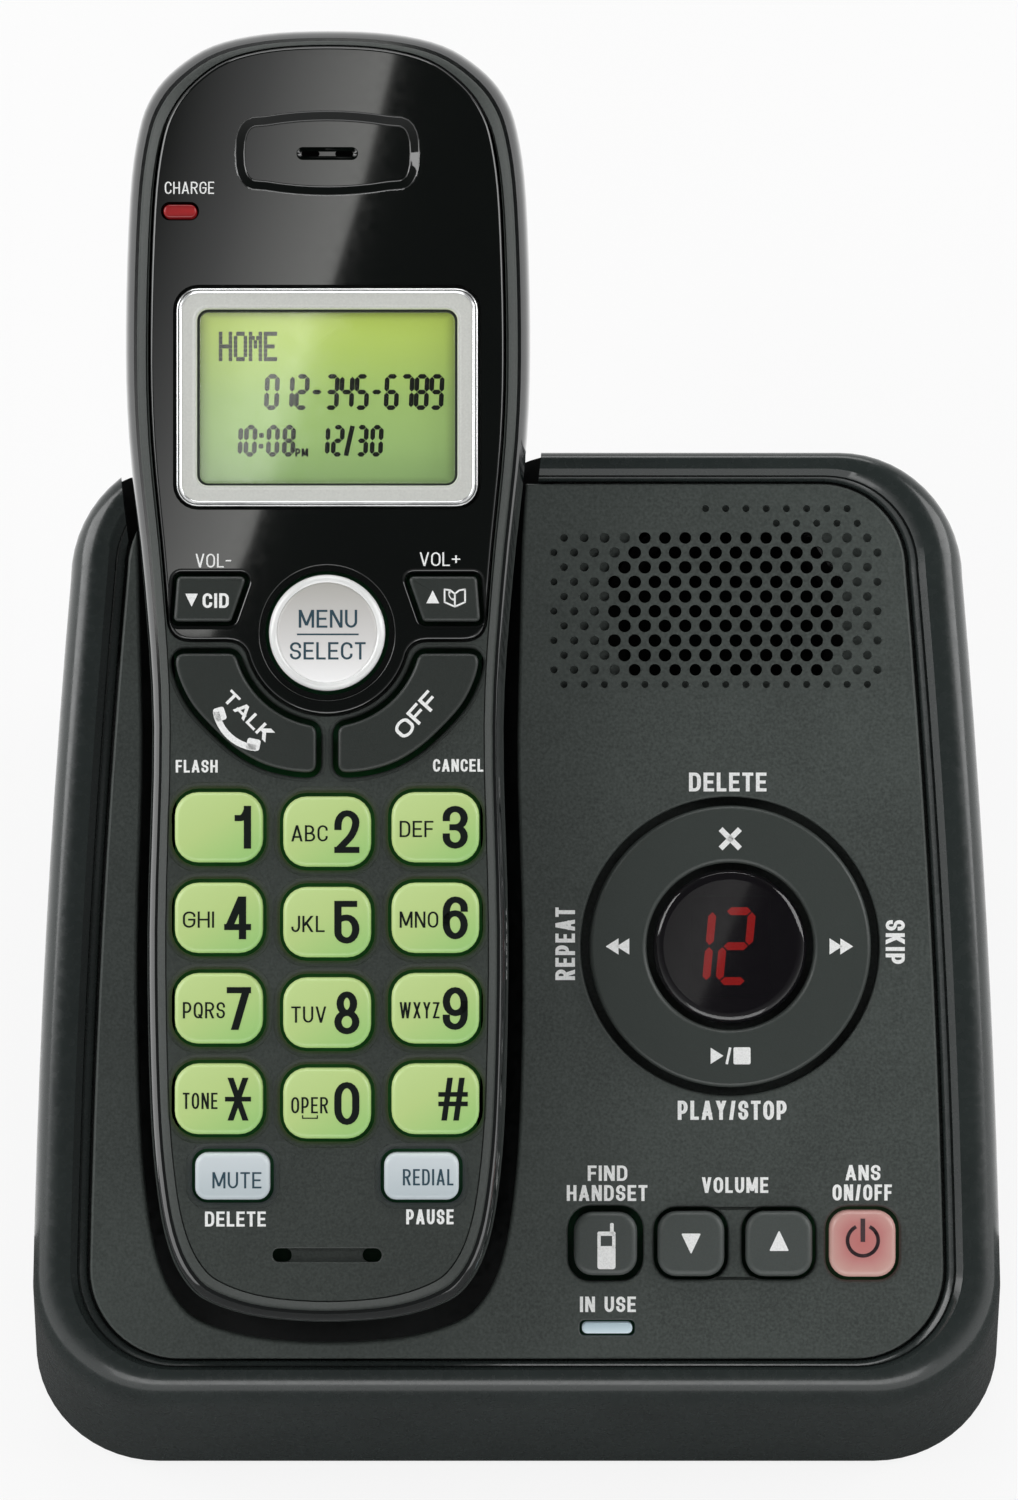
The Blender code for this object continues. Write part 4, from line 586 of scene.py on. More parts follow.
def stroke_path(stroke, width, height):
    """The points of one stroke of a letter, with its round corners drawn out."""
    marks = re.findall(r"(\d)(\d)(\.?)", stroke)
    points = [Vector((int(x) * width / 8, int(y) * height / 8)) for x, y, _ in marks]
    path = []
    for i, here in enumerate(points):
        if not marks[i][2]:
            path.append(here)
            continue
        ends = []
        for near in (i - 1, (i + 1) % len(points)):
            side = points[near] - here
            room = side.length * (0.5 if marks[near][2] else 0.9)
            along = side.normalized()
            curve = 1 / math.hypot(2 * along.x / width, along.y / height / LETTER_ROUND)
            ends.append(here + along * min(room, curve))
        start, end = ends
        middle = start + end - here
        for k in range(LETTER_STEPS + 1):
            turn = math.pi / 2 * k / LETTER_STEPS
            path.append(middle + (start - middle) * math.cos(turn) + (end - middle) * math.sin(turn))
    apart = [p for p, before in zip(path, [None] + path) if before is None or (p - before).length > 1e-7]
    return apart[:-1] if stroke.endswith("o") and (apart[-1] - apart[0]).length < 1e-7 else apart


def ribbon(path, closed, pen, low, high):
    """A flat band along a path, as wide as a pen that is narrower for level strokes than for upright ones."""
    count = len(path)
    rings = []
    for i, here in enumerate(path):
        before = here - path[i - 1] if closed or i else path[1] - here
        after = path[(i + 1) % count] - here if closed or i < count - 1 else before
        before, after = before.normalized(), after.normalized()
        side = Vector((-before.y - after.y, before.x + after.x)) / (1 + before.dot(after))
        side = Vector((side.x * pen[0] / 2, side.y * pen[1] / 2))
        if not closed and i in (0, count - 1) and min(abs(before.x), abs(before.y)) < 0.01:
            here = here + Vector((before.x * pen[0], before.y * pen[1])) * (0.5 if i else -0.5)
        left, right = here + side, here - side
        rings.append([Vector((*left, low)), Vector((*right, low)), Vector((*right, high)), Vector((*left, high))])
    return loft(rings, loop=closed)


def letter(sign, width, height, weight, x, rise):
    """The strokes of one letter as thin meshes; each one stands a hair higher than the one before."""
    pen = (weight, weight * CROSS_PEN)
    box = (max(width - pen[0], 0.0), height - pen[1])
    bands = []
    for k, stroke in enumerate(LETTERS[sign][1].split()):
        low, high = -INK_DEPTH - k * INK_STEP, INK_HEIGHT + (k + rise) * INK_STEP
        path = stroke_path(stroke, *box)
        run = path[-1] - path[0]
        if len(path) == 2 and abs(run.x) > 0.01 * height and abs(run.y) > 0.01 * height:
            half = pen[0] / 2 * run.length / abs(run.y)
            ends = [(half + p.x / box[0] * (width - 2 * half), p.y / box[1] * height) for p in path]
            (a, b), (c, d) = ends
            band = prisms([[(a - half, b), (a + half, b), (c + half, d), (c - half, d)]], low, high)
        else:
            band = ribbon(path, stroke.endswith("o"), pen, low, high)
            band.transform(Matrix.Translation((pen[0] / 2, pen[1] / 2, 0)))
        band.transform(Matrix.Translation((x, 0, 0)))
        bands.append(band)
    return bands


def lettering(text, x, y, width, height, weight, turn=0.0, surface=0.0):
    """A printed word in the middle of a place, spread to fill its width; its weight is a share of its height."""
    gap, pen = LETTER_GAP * height, weight * height
    shares = [LETTER_SPACE if sign == " " else LETTERS[sign][0] for sign in text]
    fixed = gap * (len(text) - 1) + pen * shares.count(0.0)
    spread_out = (width - fixed) / sum(shares) if sum(shares) else 0.0
    bands, along = [], -width / 2
    for i, (sign, share) in enumerate(zip(text, shares)):
        wide = share * spread_out or pen
        if sign != " ":
            bands += letter(sign, wide, height, pen, along, i % 2)
        along += wide + gap
    mesh = merged(bands)
    mesh.transform(Matrix.Translation((x, y, surface)) @ Matrix.Rotation(math.radians(turn), 4, 'Z')
                   @ Matrix.Translation((0, -height / 2, 0)))
    return mesh


def ink(outlines, surface=0.0):
    """Flat outlines as ink on a surface."""
    return prisms(outlines, surface - INK_DEPTH, surface + INK_HEIGHT)


def strokes(points, width):
    """Outlines of the strokes along a line."""
    outlines = []
    for a, b in zip(points, points[1:]):
        a, b = Vector(a), Vector(b)
        along = (b - a).normalized() * width / 2
        side = Vector((-along.y, along.x))
        outlines.append([tuple(a - along * 0.6 - side), tuple(b + along * 0.6 - side),
                         tuple(b + along * 0.6 + side), tuple(a - along * 0.6 + side)])
    return outlines


def turned_outline(outline, turn, x=0.0, y=0.0):
    """An outline turned by an angle in degrees and moved."""
    spin = Matrix.Rotation(math.radians(turn), 2)
    return [tuple(spin @ Vector(p) + Vector((x, y))) for p in outline]


def triangle(x, y, width, height, turn=0.0):
    """A triangle that points up before it is turned."""
    return turned_outline([(-width / 2, -height / 2), (width / 2, -height / 2), (0.0, height / 2)], turn, x, y)


def block(left, right, front, back, low, high):
    """A block between six planes."""
    shape = bmesh.new()
    size = Matrix.Diagonal((right - left, back - front, high - low, 1))
    middle = Matrix.Translation(((left + right) / 2, (front + back) / 2, (low + high) / 2))
    bmesh.ops.create_cube(shape, size=1, matrix=middle @ size)
    mesh = bpy.data.meshes.new("block")
    shape.to_mesh(mesh)
    shape.free()
    return mesh


def finish(name, parts, place, body, stands_for=(), glow=None):
    """Put a finished piece in its place and tie it to its body. Level faces stay flat, so that they mirror well."""
    mesh = gather(parts)
    if glow:
        mark_points(mesh, "glow", [glow(vertex.co) for vertex in mesh.vertices])
    rounded_faces = [abs(face.normal.z) < LEVEL_NORMAL for face in mesh.polygons]
    mesh.transform(place)
    mesh.set_sharp_from_angle(angle=SHARP_ANGLE)
    mesh.polygons.foreach_set("use_smooth", rounded_faces)
    piece = placed(name, mesh)
    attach(piece, body)
    if stands_for:
        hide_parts(*stands_for)


# Repeats made by geometry nodes

def stamp_tree(name, with_look):
    """A node tree that puts a small turned block on every point, sized by the point's own radius and depth."""
    tree = bpy.data.node_groups.new(name, 'GeometryNodeTree')
    tree.is_modifier = True
    tree.interface.new_socket("Points", in_out='INPUT', socket_type='NodeSocketGeometry')
    tree.interface.new_socket("Sides", in_out='INPUT', socket_type='NodeSocketInt')
    tree.interface.new_socket("Taper", in_out='INPUT', socket_type='NodeSocketFloat')
    tree.interface.new_socket("Stamped", in_out='OUTPUT', socket_type='NodeSocketGeometry')
    add = tree.nodes.new
    link = tree.links.new
    given, result = add('NodeGroupInput'), add('NodeGroupOutput')
    cone = add('GeometryNodeMeshCone')
    cone.inputs["Radius Top"].default_value = 1.0
    cone.inputs["Depth"].default_value = 1.0
    link(given.outputs["Sides"], cone.inputs["Vertices"])
    link(given.outputs["Taper"], cone.inputs["Radius Bottom"])
    radius, depth = add('GeometryNodeInputNamedAttribute'), add('GeometryNodeInputNamedAttribute')
    radius.inputs["Name"].default_value = "radius"
    depth.inputs["Name"].default_value = "depth"
    size = add('ShaderNodeCombineXYZ')
    link(radius.outputs["Attribute"], size.inputs["X"])
    link(radius.outputs["Attribute"], size.inputs["Y"])
    link(depth.outputs["Attribute"], size.inputs["Z"])
    stamp = add('GeometryNodeInstanceOnPoints')
    link(given.outputs["Points"], stamp.inputs["Points"])
    link(cone.outputs["Mesh"], stamp.inputs["Instance"])
    link(size.outputs["Vector"], stamp.inputs["Scale"])
    real, look = add('GeometryNodeRealizeInstances'), add('GeometryNodeSetMaterial')
    look.inputs["Material"].default_value = with_look
    link(stamp.outputs["Instances"], real.inputs["Geometry"])
    link(real.outputs["Geometry"], look.inputs["Geometry"])
    link(look.outputs["Geometry"], result.inputs["Stamped"])
    return tree


def stamped(tree, points, sides, taper):
    """The mesh that a stamp tree makes on points, each given as x, y, z, radius and depth."""
    mesh = bpy.data.meshes.new("points")
    mesh.from_pydata([point[:3] for point in points], [], [])
    for name, index in (("radius", 3), ("depth", 4)):
        mark_points(mesh, name, [point[index] for point in points])
    carrier = placed("points", mesh)
    step = carrier.modifiers.new("stamp", 'NODES')
    step.node_group = tree
    for item in tree.interface.items_tree:
        if item.name in ("Sides", "Taper"):
            step[item.identifier] = sides if item.name == "Sides" else taper
    result = plain_mesh(carrier)
    bpy.data.objects.remove(carrier)
    return result


# Finishes

def new_look(name, color, roughness, **more):
    """A material with its plain values set; returns it with its tree and its shader."""
    look = bpy.data.materials.new(name)
    look.use_nodes = True
    tree = look.node_tree
    shader = tree.nodes["Principled BSDF"]
    shader.inputs["Base Color"].default_value = (*color, 1.0)
    shader.inputs["Roughness"].default_value = roughness
    for socket, value in more.items():
        shader.inputs[socket.replace("_", " ")].default_value = value
    return look, tree, shader


def put(tree, kind, **values):
    """A new node with its plain values set."""
    made = tree.nodes.new(kind)
    for socket, value in values.items():
        made.inputs[socket.replace("_", " ")].default_value = value
    return made


def noise(tree, scale, detail=2.0, stretch=None):
    """Noise in the piece's own coordinates."""
    source = put(tree, 'ShaderNodeTexCoord').outputs["Object"]
    grain = put(tree, 'ShaderNodeTexNoise', Scale=scale, Detail=detail)
    if stretch:
        fit = put(tree, 'ShaderNodeMapping', Scale=stretch)
        tree.links.new(source, fit.inputs["Vector"])
        source = fit.outputs["Vector"]
    tree.links.new(source, grain.inputs["Vector"])
    return grain.outputs["Fac"]


def own_glow(tree):
    """The value that a piece's points carry."""
    made = put(tree, 'ShaderNodeAttribute')
    made.attribute_name = "glow"
    return made.outputs["Fac"]


def ramp(tree, source, stops):
    """Colours along a value."""
    made = tree.nodes.new('ShaderNodeValToRGB')
    while len(made.color_ramp.elements) < len(stops):
        made.color_ramp.elements.new(0.5)
    for element, (position, color) in zip(made.color_ramp.elements, stops):
        element.position = position
        element.color = (*color, 1.0)
    tree.links.new(source, made.inputs["Fac"])
    return made.outputs["Color"]


def spread(tree, source, low, high):
    """Noise mapped between two limits."""
    made = put(tree, 'ShaderNodeMapRange', From_Min=0.3, From_Max=0.7, To_Min=low, To_Max=high)
    tree.links.new(source, made.inputs["Value"])
    return made.outputs["Result"]


def reckon(tree, operation, *values):
    """One step of arithmetic on values or on other nodes' results."""
    made = tree.nodes.new('ShaderNodeMath')
    made.operation = operation
    for socket, value in zip(made.inputs, values):
        if isinstance(value, float):
            socket.default_value = value
        else:
            tree.links.new(value, socket)
    return made.outputs["Value"]


def bumped(tree, shader, source, strength, distance):
    """A surface raised by a value."""
    made = put(tree, 'ShaderNodeBump', Strength=strength, Distance=distance)
    tree.links.new(source, made.inputs["Height"])
    tree.links.new(made.outputs["Normal"], shader.inputs["Normal"])


def tint(color, share):
    """A colour made lighter or darker."""
    return tuple(min(1.0, channel * share) for channel in color)


def grained(name, color, roughness, scale=2600, depth=0.00004, mottle=0.16, **more):
    """Moulded plastic with a fine spark-eroded grain."""
    look, tree, shader = new_look(name, color, roughness, **more)
    fine = noise(tree, scale, 1.5)
    broad = noise(tree, scale / 55, 3.0)
    mix = put(tree, 'ShaderNodeMix', Factor=0.35)
    tree.links.new(fine, mix.inputs["A"])
    tree.links.new(broad, mix.inputs["B"])
    shade = ramp(tree, mix.outputs["Result"], ((0.34, tint(color, 1 - mottle)), (0.66, tint(color, 1 + mottle))))
    tree.links.new(shade, shader.inputs["Base Color"])
    tree.links.new(spread(tree, fine, roughness - 0.05, roughness + 0.05), shader.inputs["Roughness"])
    bumped(tree, shader, fine, 0.5, depth)
    return look


def polished(name, color, roughness=0.08, ripple=0.000012, **more):
    """Glossy moulded plastic with the faint ripple and haze of a real moulding."""
    look, tree, shader = new_look(name, color, roughness, **more)
    haze = noise(tree, 130, 4.0)
    tree.links.new(ramp(tree, haze, ((0.3, tint(color, 0.9)), (0.7, tint(color, 1.12)))), shader.inputs["Base Color"])
    tree.links.new(spread(tree, noise(tree, 900, 3.0), roughness * 0.8, roughness * 1.35), shader.inputs["Roughness"])
    bumped(tree, shader, noise(tree, 60, 1.0), 0.25, ripple)
    return look


def lit(name, stops, roughness, share):
    """Translucent plastic coloured along the ramp its points carry, painted light and shade on the handset's keys and
    the in-use lens; a share of its colour is given off as light.
    """
    look, tree, shader = new_look(name, stops[0][1], roughness, Coat_Weight=0.25, Coat_Roughness=0.2)
    along = own_glow(tree)
    for socket, part in (("Base Color", 1 - share), ("Emission Color", 1.0)):
        shade = ramp(tree, along, [(place, tint(color, part)) for place, color in stops])
        tree.links.new(shade, shader.inputs[socket])
    shader.inputs["Emission Strength"].default_value = share
    bumped(tree, shader, noise(tree, 2400, 2.0), 0.2, 0.00001)
    return look


def brushed(name, color, roughness, stretch=(12.0, 1.0, 12.0)):
    """Metal with fine lines in one direction."""
    look, tree, shader = new_look(name, color, roughness, Metallic=1.0)
    lines = noise(tree, 900, 3.0, stretch)
    tree.links.new(spread(tree, lines, roughness * 0.75, roughness * 1.3), shader.inputs["Roughness"])
    tree.links.new(ramp(tree, lines, ((0.3, tint(color, 0.9)), (0.7, tint(color, 1.06)))), shader.inputs["Base Color"])
    bumped(tree, shader, lines, 0.15, 0.00001)
    return look


def printed(name, color, roughness=0.5, glow=0.0):
    """Ink with a little unevenness."""
    look, tree, shader = new_look(name, color, roughness, Specular_IOR_Level=0.2)
    shade = ramp(tree, noise(tree, 5200, 2.0), ((0.3, tint(color, 0.86)), (0.6, color)))
    tree.links.new(shade, shader.inputs["Base Color"])
    if glow:
        tree.links.new(shade, shader.inputs["Emission Color"])
        shader.inputs["Emission Strength"].default_value = glow
    return look


HOUSING_GLOSS = polished("housing gloss", (0.02, 0.026, 0.025), 0.24, Coat_Weight=0.4, Coat_Roughness=0.1)
SHELL_GLOSS = polished("handset shell gloss", (0.006, 0.008, 0.008), 0.07, Coat_Weight=1.0, Coat_Roughness=0.04,
                       IOR=1.8)
PANEL_GRAIN = grained("panel grain", (0.051, 0.061, 0.056), 0.5, 3000, mottle=0.26)
FRONT_GRAIN = grained("handset front grain", (0.034, 0.041, 0.037), 0.48, 3300, mottle=0.24)
RING_SATIN = grained("ring satin", (0.04, 0.048, 0.044), 0.4, 5200, 0.00002, 0.06)
KEY_SATIN = grained("dark key satin", (0.024, 0.029, 0.026), 0.42, 5200, 0.00002, 0.08)
BASE_KEY_SATIN = grained("base key satin", (0.066, 0.076, 0.072), 0.42, 5200, 0.00002, 0.08)
TROUGH_BLACK = polished("trough black", (0.002, 0.003, 0.003), 0.5)
PIANO_BLACK = polished("faceplate black", (0.0012, 0.0022, 0.0018), 0.03, 0.000002, Coat_Weight=1.0,
                       Coat_Roughness=0.02)
COVER_GRAIN = grained("under cover grain", (0.02, 0.021, 0.022), 0.6, 1800)
RUBBER = grained("foot rubber", (0.014, 0.014, 0.015), 0.85, 2400, 0.00006)
SILVER = grained("satin silver", (0.71, 0.72, 0.68), 0.36, 4200, 0.000006, 0.05, Metallic=0.15)
CHROME = polished("chrome edge", (0.66, 0.67, 0.67), 0.2, Metallic=1.0)
STEEL = brushed("spring steel", (0.72, 0.7, 0.66), 0.25)
GOLD = brushed("contact gold", (0.83, 0.62, 0.28), 0.2)
WHITE_INK = printed("white ink", (0.93, 0.94, 0.93))
DARK_INK = printed("dark ink", (0.002, 0.005, 0.004), 0.7)
SEGMENT_INK = printed("display segment", (0.003, 0.005, 0.002), 0.7)
BLUE_INK = printed("blue grey ink", (0.035, 0.075, 0.1))
BROWN_INK = printed("power mark ink", (0.07, 0.045, 0.05))
# Dial keys: lighter at each key's upper left and darker at its lower right, painted light and shade.
KEY_GREEN = lit("key green", ((0.0, (0.56, 0.72, 0.3)), (0.45, (0.5, 0.66, 0.25)), (1.0, (0.3, 0.58, 0.18))),
                0.35, 0.45)
# Mute and redial keys: lighter at the top and darker at the bottom, painted light and shade.
KEY_PEARL = lit("key pearl", ((0.0, (0.66, 0.72, 0.75)), (1.0, (0.5, 0.57, 0.6))), 0.35, 0.25)
KEY_PINK = lit("answer key pink", ((0.0, (0.52, 0.17, 0.16)), (0.55, (0.53, 0.22, 0.21)),
                                   (1.0, (0.6, 0.36, 0.32))), 0.3, 0.4)
# Menu face: dark at the top and white at the bottom, a painted shade and a painted highlight.
MENU_SILVER = lit("menu face", ((0.0, (0.46, 0.45, 0.42)), (0.6, (0.72, 0.71, 0.7)), (1.0, (0.99, 0.99, 0.99))),
                  0.3, 0.3)
MENU_RIM = polished("menu rim", (0.86, 0.87, 0.86), 0.15, Coat_Weight=0.6)
# In-use lens: lighter at its lower edge and darker at its upper edge, painted light and shade.
LIGHT_BLUE = lit("in use lens", ((0.0, (0.7, 0.84, 0.9)), (1.0, (0.42, 0.54, 0.6))), 0.25, 0.3)
CHARGE_RED = lit("charge lens", ((0.0, (0.36, 0.016, 0.018)), (1.0, (0.16, 0.008, 0.01))), 0.2, 0.5)
DIGIT_RED = printed("lit red", (0.75, 0.02, 0.015), 0.4, 3.4)
SOCKET_CREAM = grained("socket plastic", (0.55, 0.54, 0.48), 0.45, 1800)
SOCKET_BLACK = grained("power socket plastic", (0.012, 0.012, 0.012), 0.45, 1800)
BOARD_GREEN = grained("board lacquer", (0.02, 0.16, 0.06), 0.35, 500)
CONE_BLACK = grained("speaker cone", (0.03, 0.03, 0.03), 0.7, 1200)
CELL_SLEEVE = polished("cell sleeve", (0.05, 0.2, 0.13), 0.3)


# Base

def tapered_outline(inset, front, back, front_half, back_half, end_share):
    """The base's outline, drawn in by an inset: round corners, tapered and slightly bowed sides."""
    end_inset = inset * end_share
    front, back = front + end_inset, back - end_inset
    front_half, back_half = front_half - inset, back_half - inset
    front_radius = BASE_FRONT_RADIUS - inset * RADIUS_INSET_SHARE
    back_radius = BASE_BACK_RADIUS - inset * RADIUS_INSET_SHARE
    right = arc(front_half - front_radius, front + front_radius, front_radius, -90, 0, BASE_CORNER_STEPS)
    low, high = front + front_radius, back - back_radius
    for i in range(1, BASE_SIDE_STEPS):
        t = i / BASE_SIDE_STEPS
        right.append((front_half + (back_half - front_half) * t + BASE_SIDE_BOW * 4 * t * (1 - t),
                      low + (high - low) * t))
    right += arc(back_half - back_radius, high, back_radius, 0, 90, BASE_CORNER_STEPS)
    return right + mirrored(right)


def top_outline(inset, end_share=END_INSET_SHARE):
    """The base's outline in the plane of the panel."""
    return tapered_outline(inset, BASE_FRONT, BASE_BACK, BASE_FRONT_HALF, BASE_BACK_HALF, end_share)


def foot_outline(inset):
    """The base's outline where it meets the table."""
    front = BASE_FRONT * math.cos(SLOPE) - FRONT_WALL_DRAFT
    back = BASE_BACK * math.cos(SLOPE) - REAR_WALL_LEAN
    return tapered_outline(inset, front, back, BASE_FRONT_HALF + SIDE_WALL_DRAFT,
                           BASE_BACK_HALF + SIDE_WALL_DRAFT, 1.0)


def top_ring(inset, height):
    """A ring of the housing parallel to the panel, in the base's frame."""
    return [ON_BASE @ point for point in lifted(top_outline(inset), height)]


def wall_top_ring(inset, height, end_share=END_INSET_SHARE):
    """A ring where the walls end under the rim, slid forward so that the walls stand upright."""
    place = ON_BASE @ Matrix.Translation((0, height * math.tan(SLOPE), 0))
    return [place @ point for point in lifted(top_outline(inset, end_share), height)]


def housing_rings(inset=0.0):
    """The housing's outer surface from its foot up to the crown of the rim."""
    rings = [lifted(foot_outline(inset), SKIRT_HEIGHT)]
    for across, up in smooth_path(RIM_SHARES, RIM_STEPS):
        height = (RIM_CROWN + RIM_DROP) * up - RIM_DROP - inset
        rings.append(wall_top_ring(inset + across * RIM_WIDTH, height))
    return rings


def handset_outline(side, low_end, high_end):
    """The handset's outline drawn in by an amount at its sides and at each end."""
    whole = [(-x, y) for x, y in reversed(OUTLINE_SHARES[1:3])] + list(OUTLINE_SHARES)
    whole += [(-x, y) for x, y in reversed(OUTLINE_SHARES[-3:-1])]
    path = smooth_path([(x * HANDSET_HALF, y * HANDSET_LENGTH) for x, y in whole], OUTLINE_STEPS)
    right = path[2 * OUTLINE_STEPS:-2 * OUTLINE_STEPS]
    narrow = 1 - side / HANDSET_HALF
    shorter = 1 - (low_end + high_end) / HANDSET_LENGTH
    right = [(p.x * narrow, low_end + p.y * shorter) for p in right]
    return right + [(-x, y) for x, y in reversed(right[1:-1])]


def handset_ring(side, low_end, high_end, depth):
    """A ring of the handset at a depth below its face."""
    return lifted(handset_outline(side, low_end, high_end), -depth)


def back_rings(inset=0.0):
    """The rear shell's surface from the flat of its back up to its rim."""
    rings = []
    for depth, side, low, high in smooth_path([Vector(row) for row in reversed(BACK_SHARES)], BACK_STEPS):
        rings.append(handset_ring(side * HANDSET_HALF + inset, low * HANDSET_LENGTH + inset,
                                  high * HANDSET_LENGTH + inset, depth * HANDSET_DEPTH))
    return rings


def trough_rings(extra=0.0):
    """The trough's inner surface, from its floor up to its mouth, moved outwards by an extra."""
    rows = BACK_SHARES[-len(TROUGH_SHARES):]
    table = [Vector((*row, share)) for row, share in zip(rows, TROUGH_SHARES)]
    table[0][0] = (HANDSET_FACE + PANEL_THICKNESS + SEAT_GAP + extra) / HANDSET_DEPTH
    rings = []
    for depth, side, low, high, open_share in smooth_path(table, BACK_STEPS):
        side_gap = TROUGH_SEAT_GAP + (TROUGH_MOUTH_SIDE - TROUGH_SEAT_GAP) * open_share + extra
        end_gap = TROUGH_SEAT_GAP + (TROUGH_MOUTH_END - TROUGH_SEAT_GAP) * open_share + extra
        rings.append(handset_ring(side * HANDSET_HALF - side_gap, low * HANDSET_LENGTH - end_gap,
                                  high * HANDSET_LENGTH - side_gap,
                                  depth * HANDSET_DEPTH + extra * (1 - open_share)))
    depth, side, low, high = rows[-1]
    rings.append(handset_ring(side * HANDSET_HALF, low * HANDSET_LENGTH, high * HANDSET_LENGTH,
                              depth * HANDSET_DEPTH + TROUGH_SEAT_GAP + extra))
    return list(reversed(rings))


def at_height(ring, height):
    """A ring of the handset's frame moved to a height over the panel."""
    return [Vector((p.x, p.y, height - HANDSET_FACE)) for p in ring]


def to_base(mesh):
    """A mesh of the handset's frame, in the base's frame."""
    mesh.transform(BASE_PLACE.inverted() @ HANDSET_PLACE)
    return mesh


def make_housing():
    """The glossy housing with its round rim."""
    ledge = -PANEL_THICKNESS - SEAT_GAP
    rings = housing_rings()
    rings.append(top_ring(RIM_WIDTH - SEAT_GAP / 3, 0.0))
    rings += [top_ring(RIM_WIDTH + across, -down) for across, down in RIM_LIP]
    rings.append(top_ring(RIM_WIDTH + RIM_LIP[-1][0], ledge))
    rings.append(top_ring(LEDGE_INSET, ledge))
    rings.append(top_ring(LEDGE_INSET, ledge - BASE_WALL))
    rings.append(wall_top_ring(BASE_WALL, ledge - BASE_WALL, 1.0))
    rings.append(lifted(foot_outline(BASE_WALL), SKIRT_HEIGHT))
    outer = trough_rings(TROUGH_WALL + SEAT_GAP)
    flange, mouth = trough_rings(TROUGH_FLANGE + SEAT_GAP)[-1], trough_rings()[-1]
    way = loft(outer + [at_height(flange, ledge - TROUGH_WALL - SEAT_GAP), at_height(flange, -PANEL_THICKNESS),
                        at_height(mouth, -PANEL_THICKNESS), at_height(mouth, OVERRUN)])
    jacks = []
    for node in ("line_socket", "power_socket"):
        low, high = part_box(node)
        low = Vector(low) - BASE_PLACE.translation
        high = Vector(high) - BASE_PLACE.translation
        jacks.append(block(low.x - SEAT_GAP, high.x + SEAT_GAP, low.y, high.y + OVERRUN, low.z - SEAT_GAP,
                           high.z + SEAT_GAP))
    mesh = carved(loft(rings, loop=True), to_base(way), *jacks)
    finish("glossy_housing", [(mesh, HOUSING_GLOSS)], BASE_PLACE, "base", ["base_housing"])


def make_trough():
    """The black trough round the handset."""
    inner, outer = trough_rings(), trough_rings(TROUGH_WALL)
    flange = trough_rings(TROUGH_FLANGE)[-1]
    flange_top = -PANEL_THICKNESS - SEAT_GAP
    rings = outer + [at_height(flange, flange_top - TROUGH_WALL), at_height(flange, flange_top)]
    rings += reversed(inner)
    core = loft(housing_rings(SEAT_GAP))
    core.transform(HANDSET_PLACE.inverted() @ BASE_PLACE)
    mesh = carved(loft(rings), core, operation='INTERSECT')
    slots = [rounded(x, CONTACT_Y, SPRING_WIDTH + 2 * SEAT_GAP, SPRING_LENGTH + 2 * SEAT_GAP,
                     SPRING_WIDTH * PILL_SHARE) for x in (-CONTACT_X, CONTACT_X)]
    low = -HANDSET_DEPTH - TROUGH_WALL - OVERRUN
    mesh = carved(mesh, prisms(slots, low, low + 2 * OVERRUN))
    finish("trough_lining", [(mesh, TROUGH_BLACK)], HANDSET_PLACE, "base", ["handset_trough"])


def base_key_outline(x, width, length):
    """The outline of a key of the base."""
    return rounded(x, BASE_KEY_Y, width, length, BASE_KEY_RADIUS)


def grille_points():
    """The grille's lattice: holes right through in the middle, dimples that fade to the sides."""
    holes, dimples = [], []
    for row in range(GRILLE_ROWS):
        top = row < len(GRILLE_TOP_ROWS)
        middle = abs(row - GRILLE_MIDDLE_ROW)
        reach = next((out for rows, out in GRILLE_REACHES if middle < rows), 0.0)
        from_left = GRILLE_TOP_ROWS[row] if top else -GRILLE_LEFT
        to_right = GRILLE_TOP_RIGHT if top else GRILLE_RIGHT
        column = GRILLE_FIRST_COLUMN - (0.5 if row % 2 else 0.0)
        while column <= GRILLE_RIGHT:
            x, y = GRILLE_X + column * GRILLE_PITCH, GRILLE_TOP_Y - row * GRILLE_ROW_PITCH
            if abs(column) < reach:
                small = GRILLE_END_SHARE if middle > 4 else 1.0
                holes.append((x, y, -PANEL_THICKNESS - OVERRUN, GRILLE_HOLE_RADIUS * small, 2 * OVERRUN))
            elif from_left <= column <= to_right:
                fade = min(1.0, max(0.0, (abs(column) - GRILLE_FADE_FROM) / GRILLE_FADE_RUN)) if reach else 1.0
                radius = GRILLE_DIMPLE_RADIUS + (GRILLE_SMALL_RADIUS - GRILLE_DIMPLE_RADIUS) * fade
                dimples.append((x, y, -GRILLE_DIMPLE_DEPTH, radius, 2 * GRILLE_DIMPLE_DEPTH))
            column += 1.0
    return holes, dimples


def smooth_step(share):
    """A ramp from 0 to 1 with soft ends."""
    share = min(1.0, max(0.0, share))
    return share * share * (3 - 2 * share)


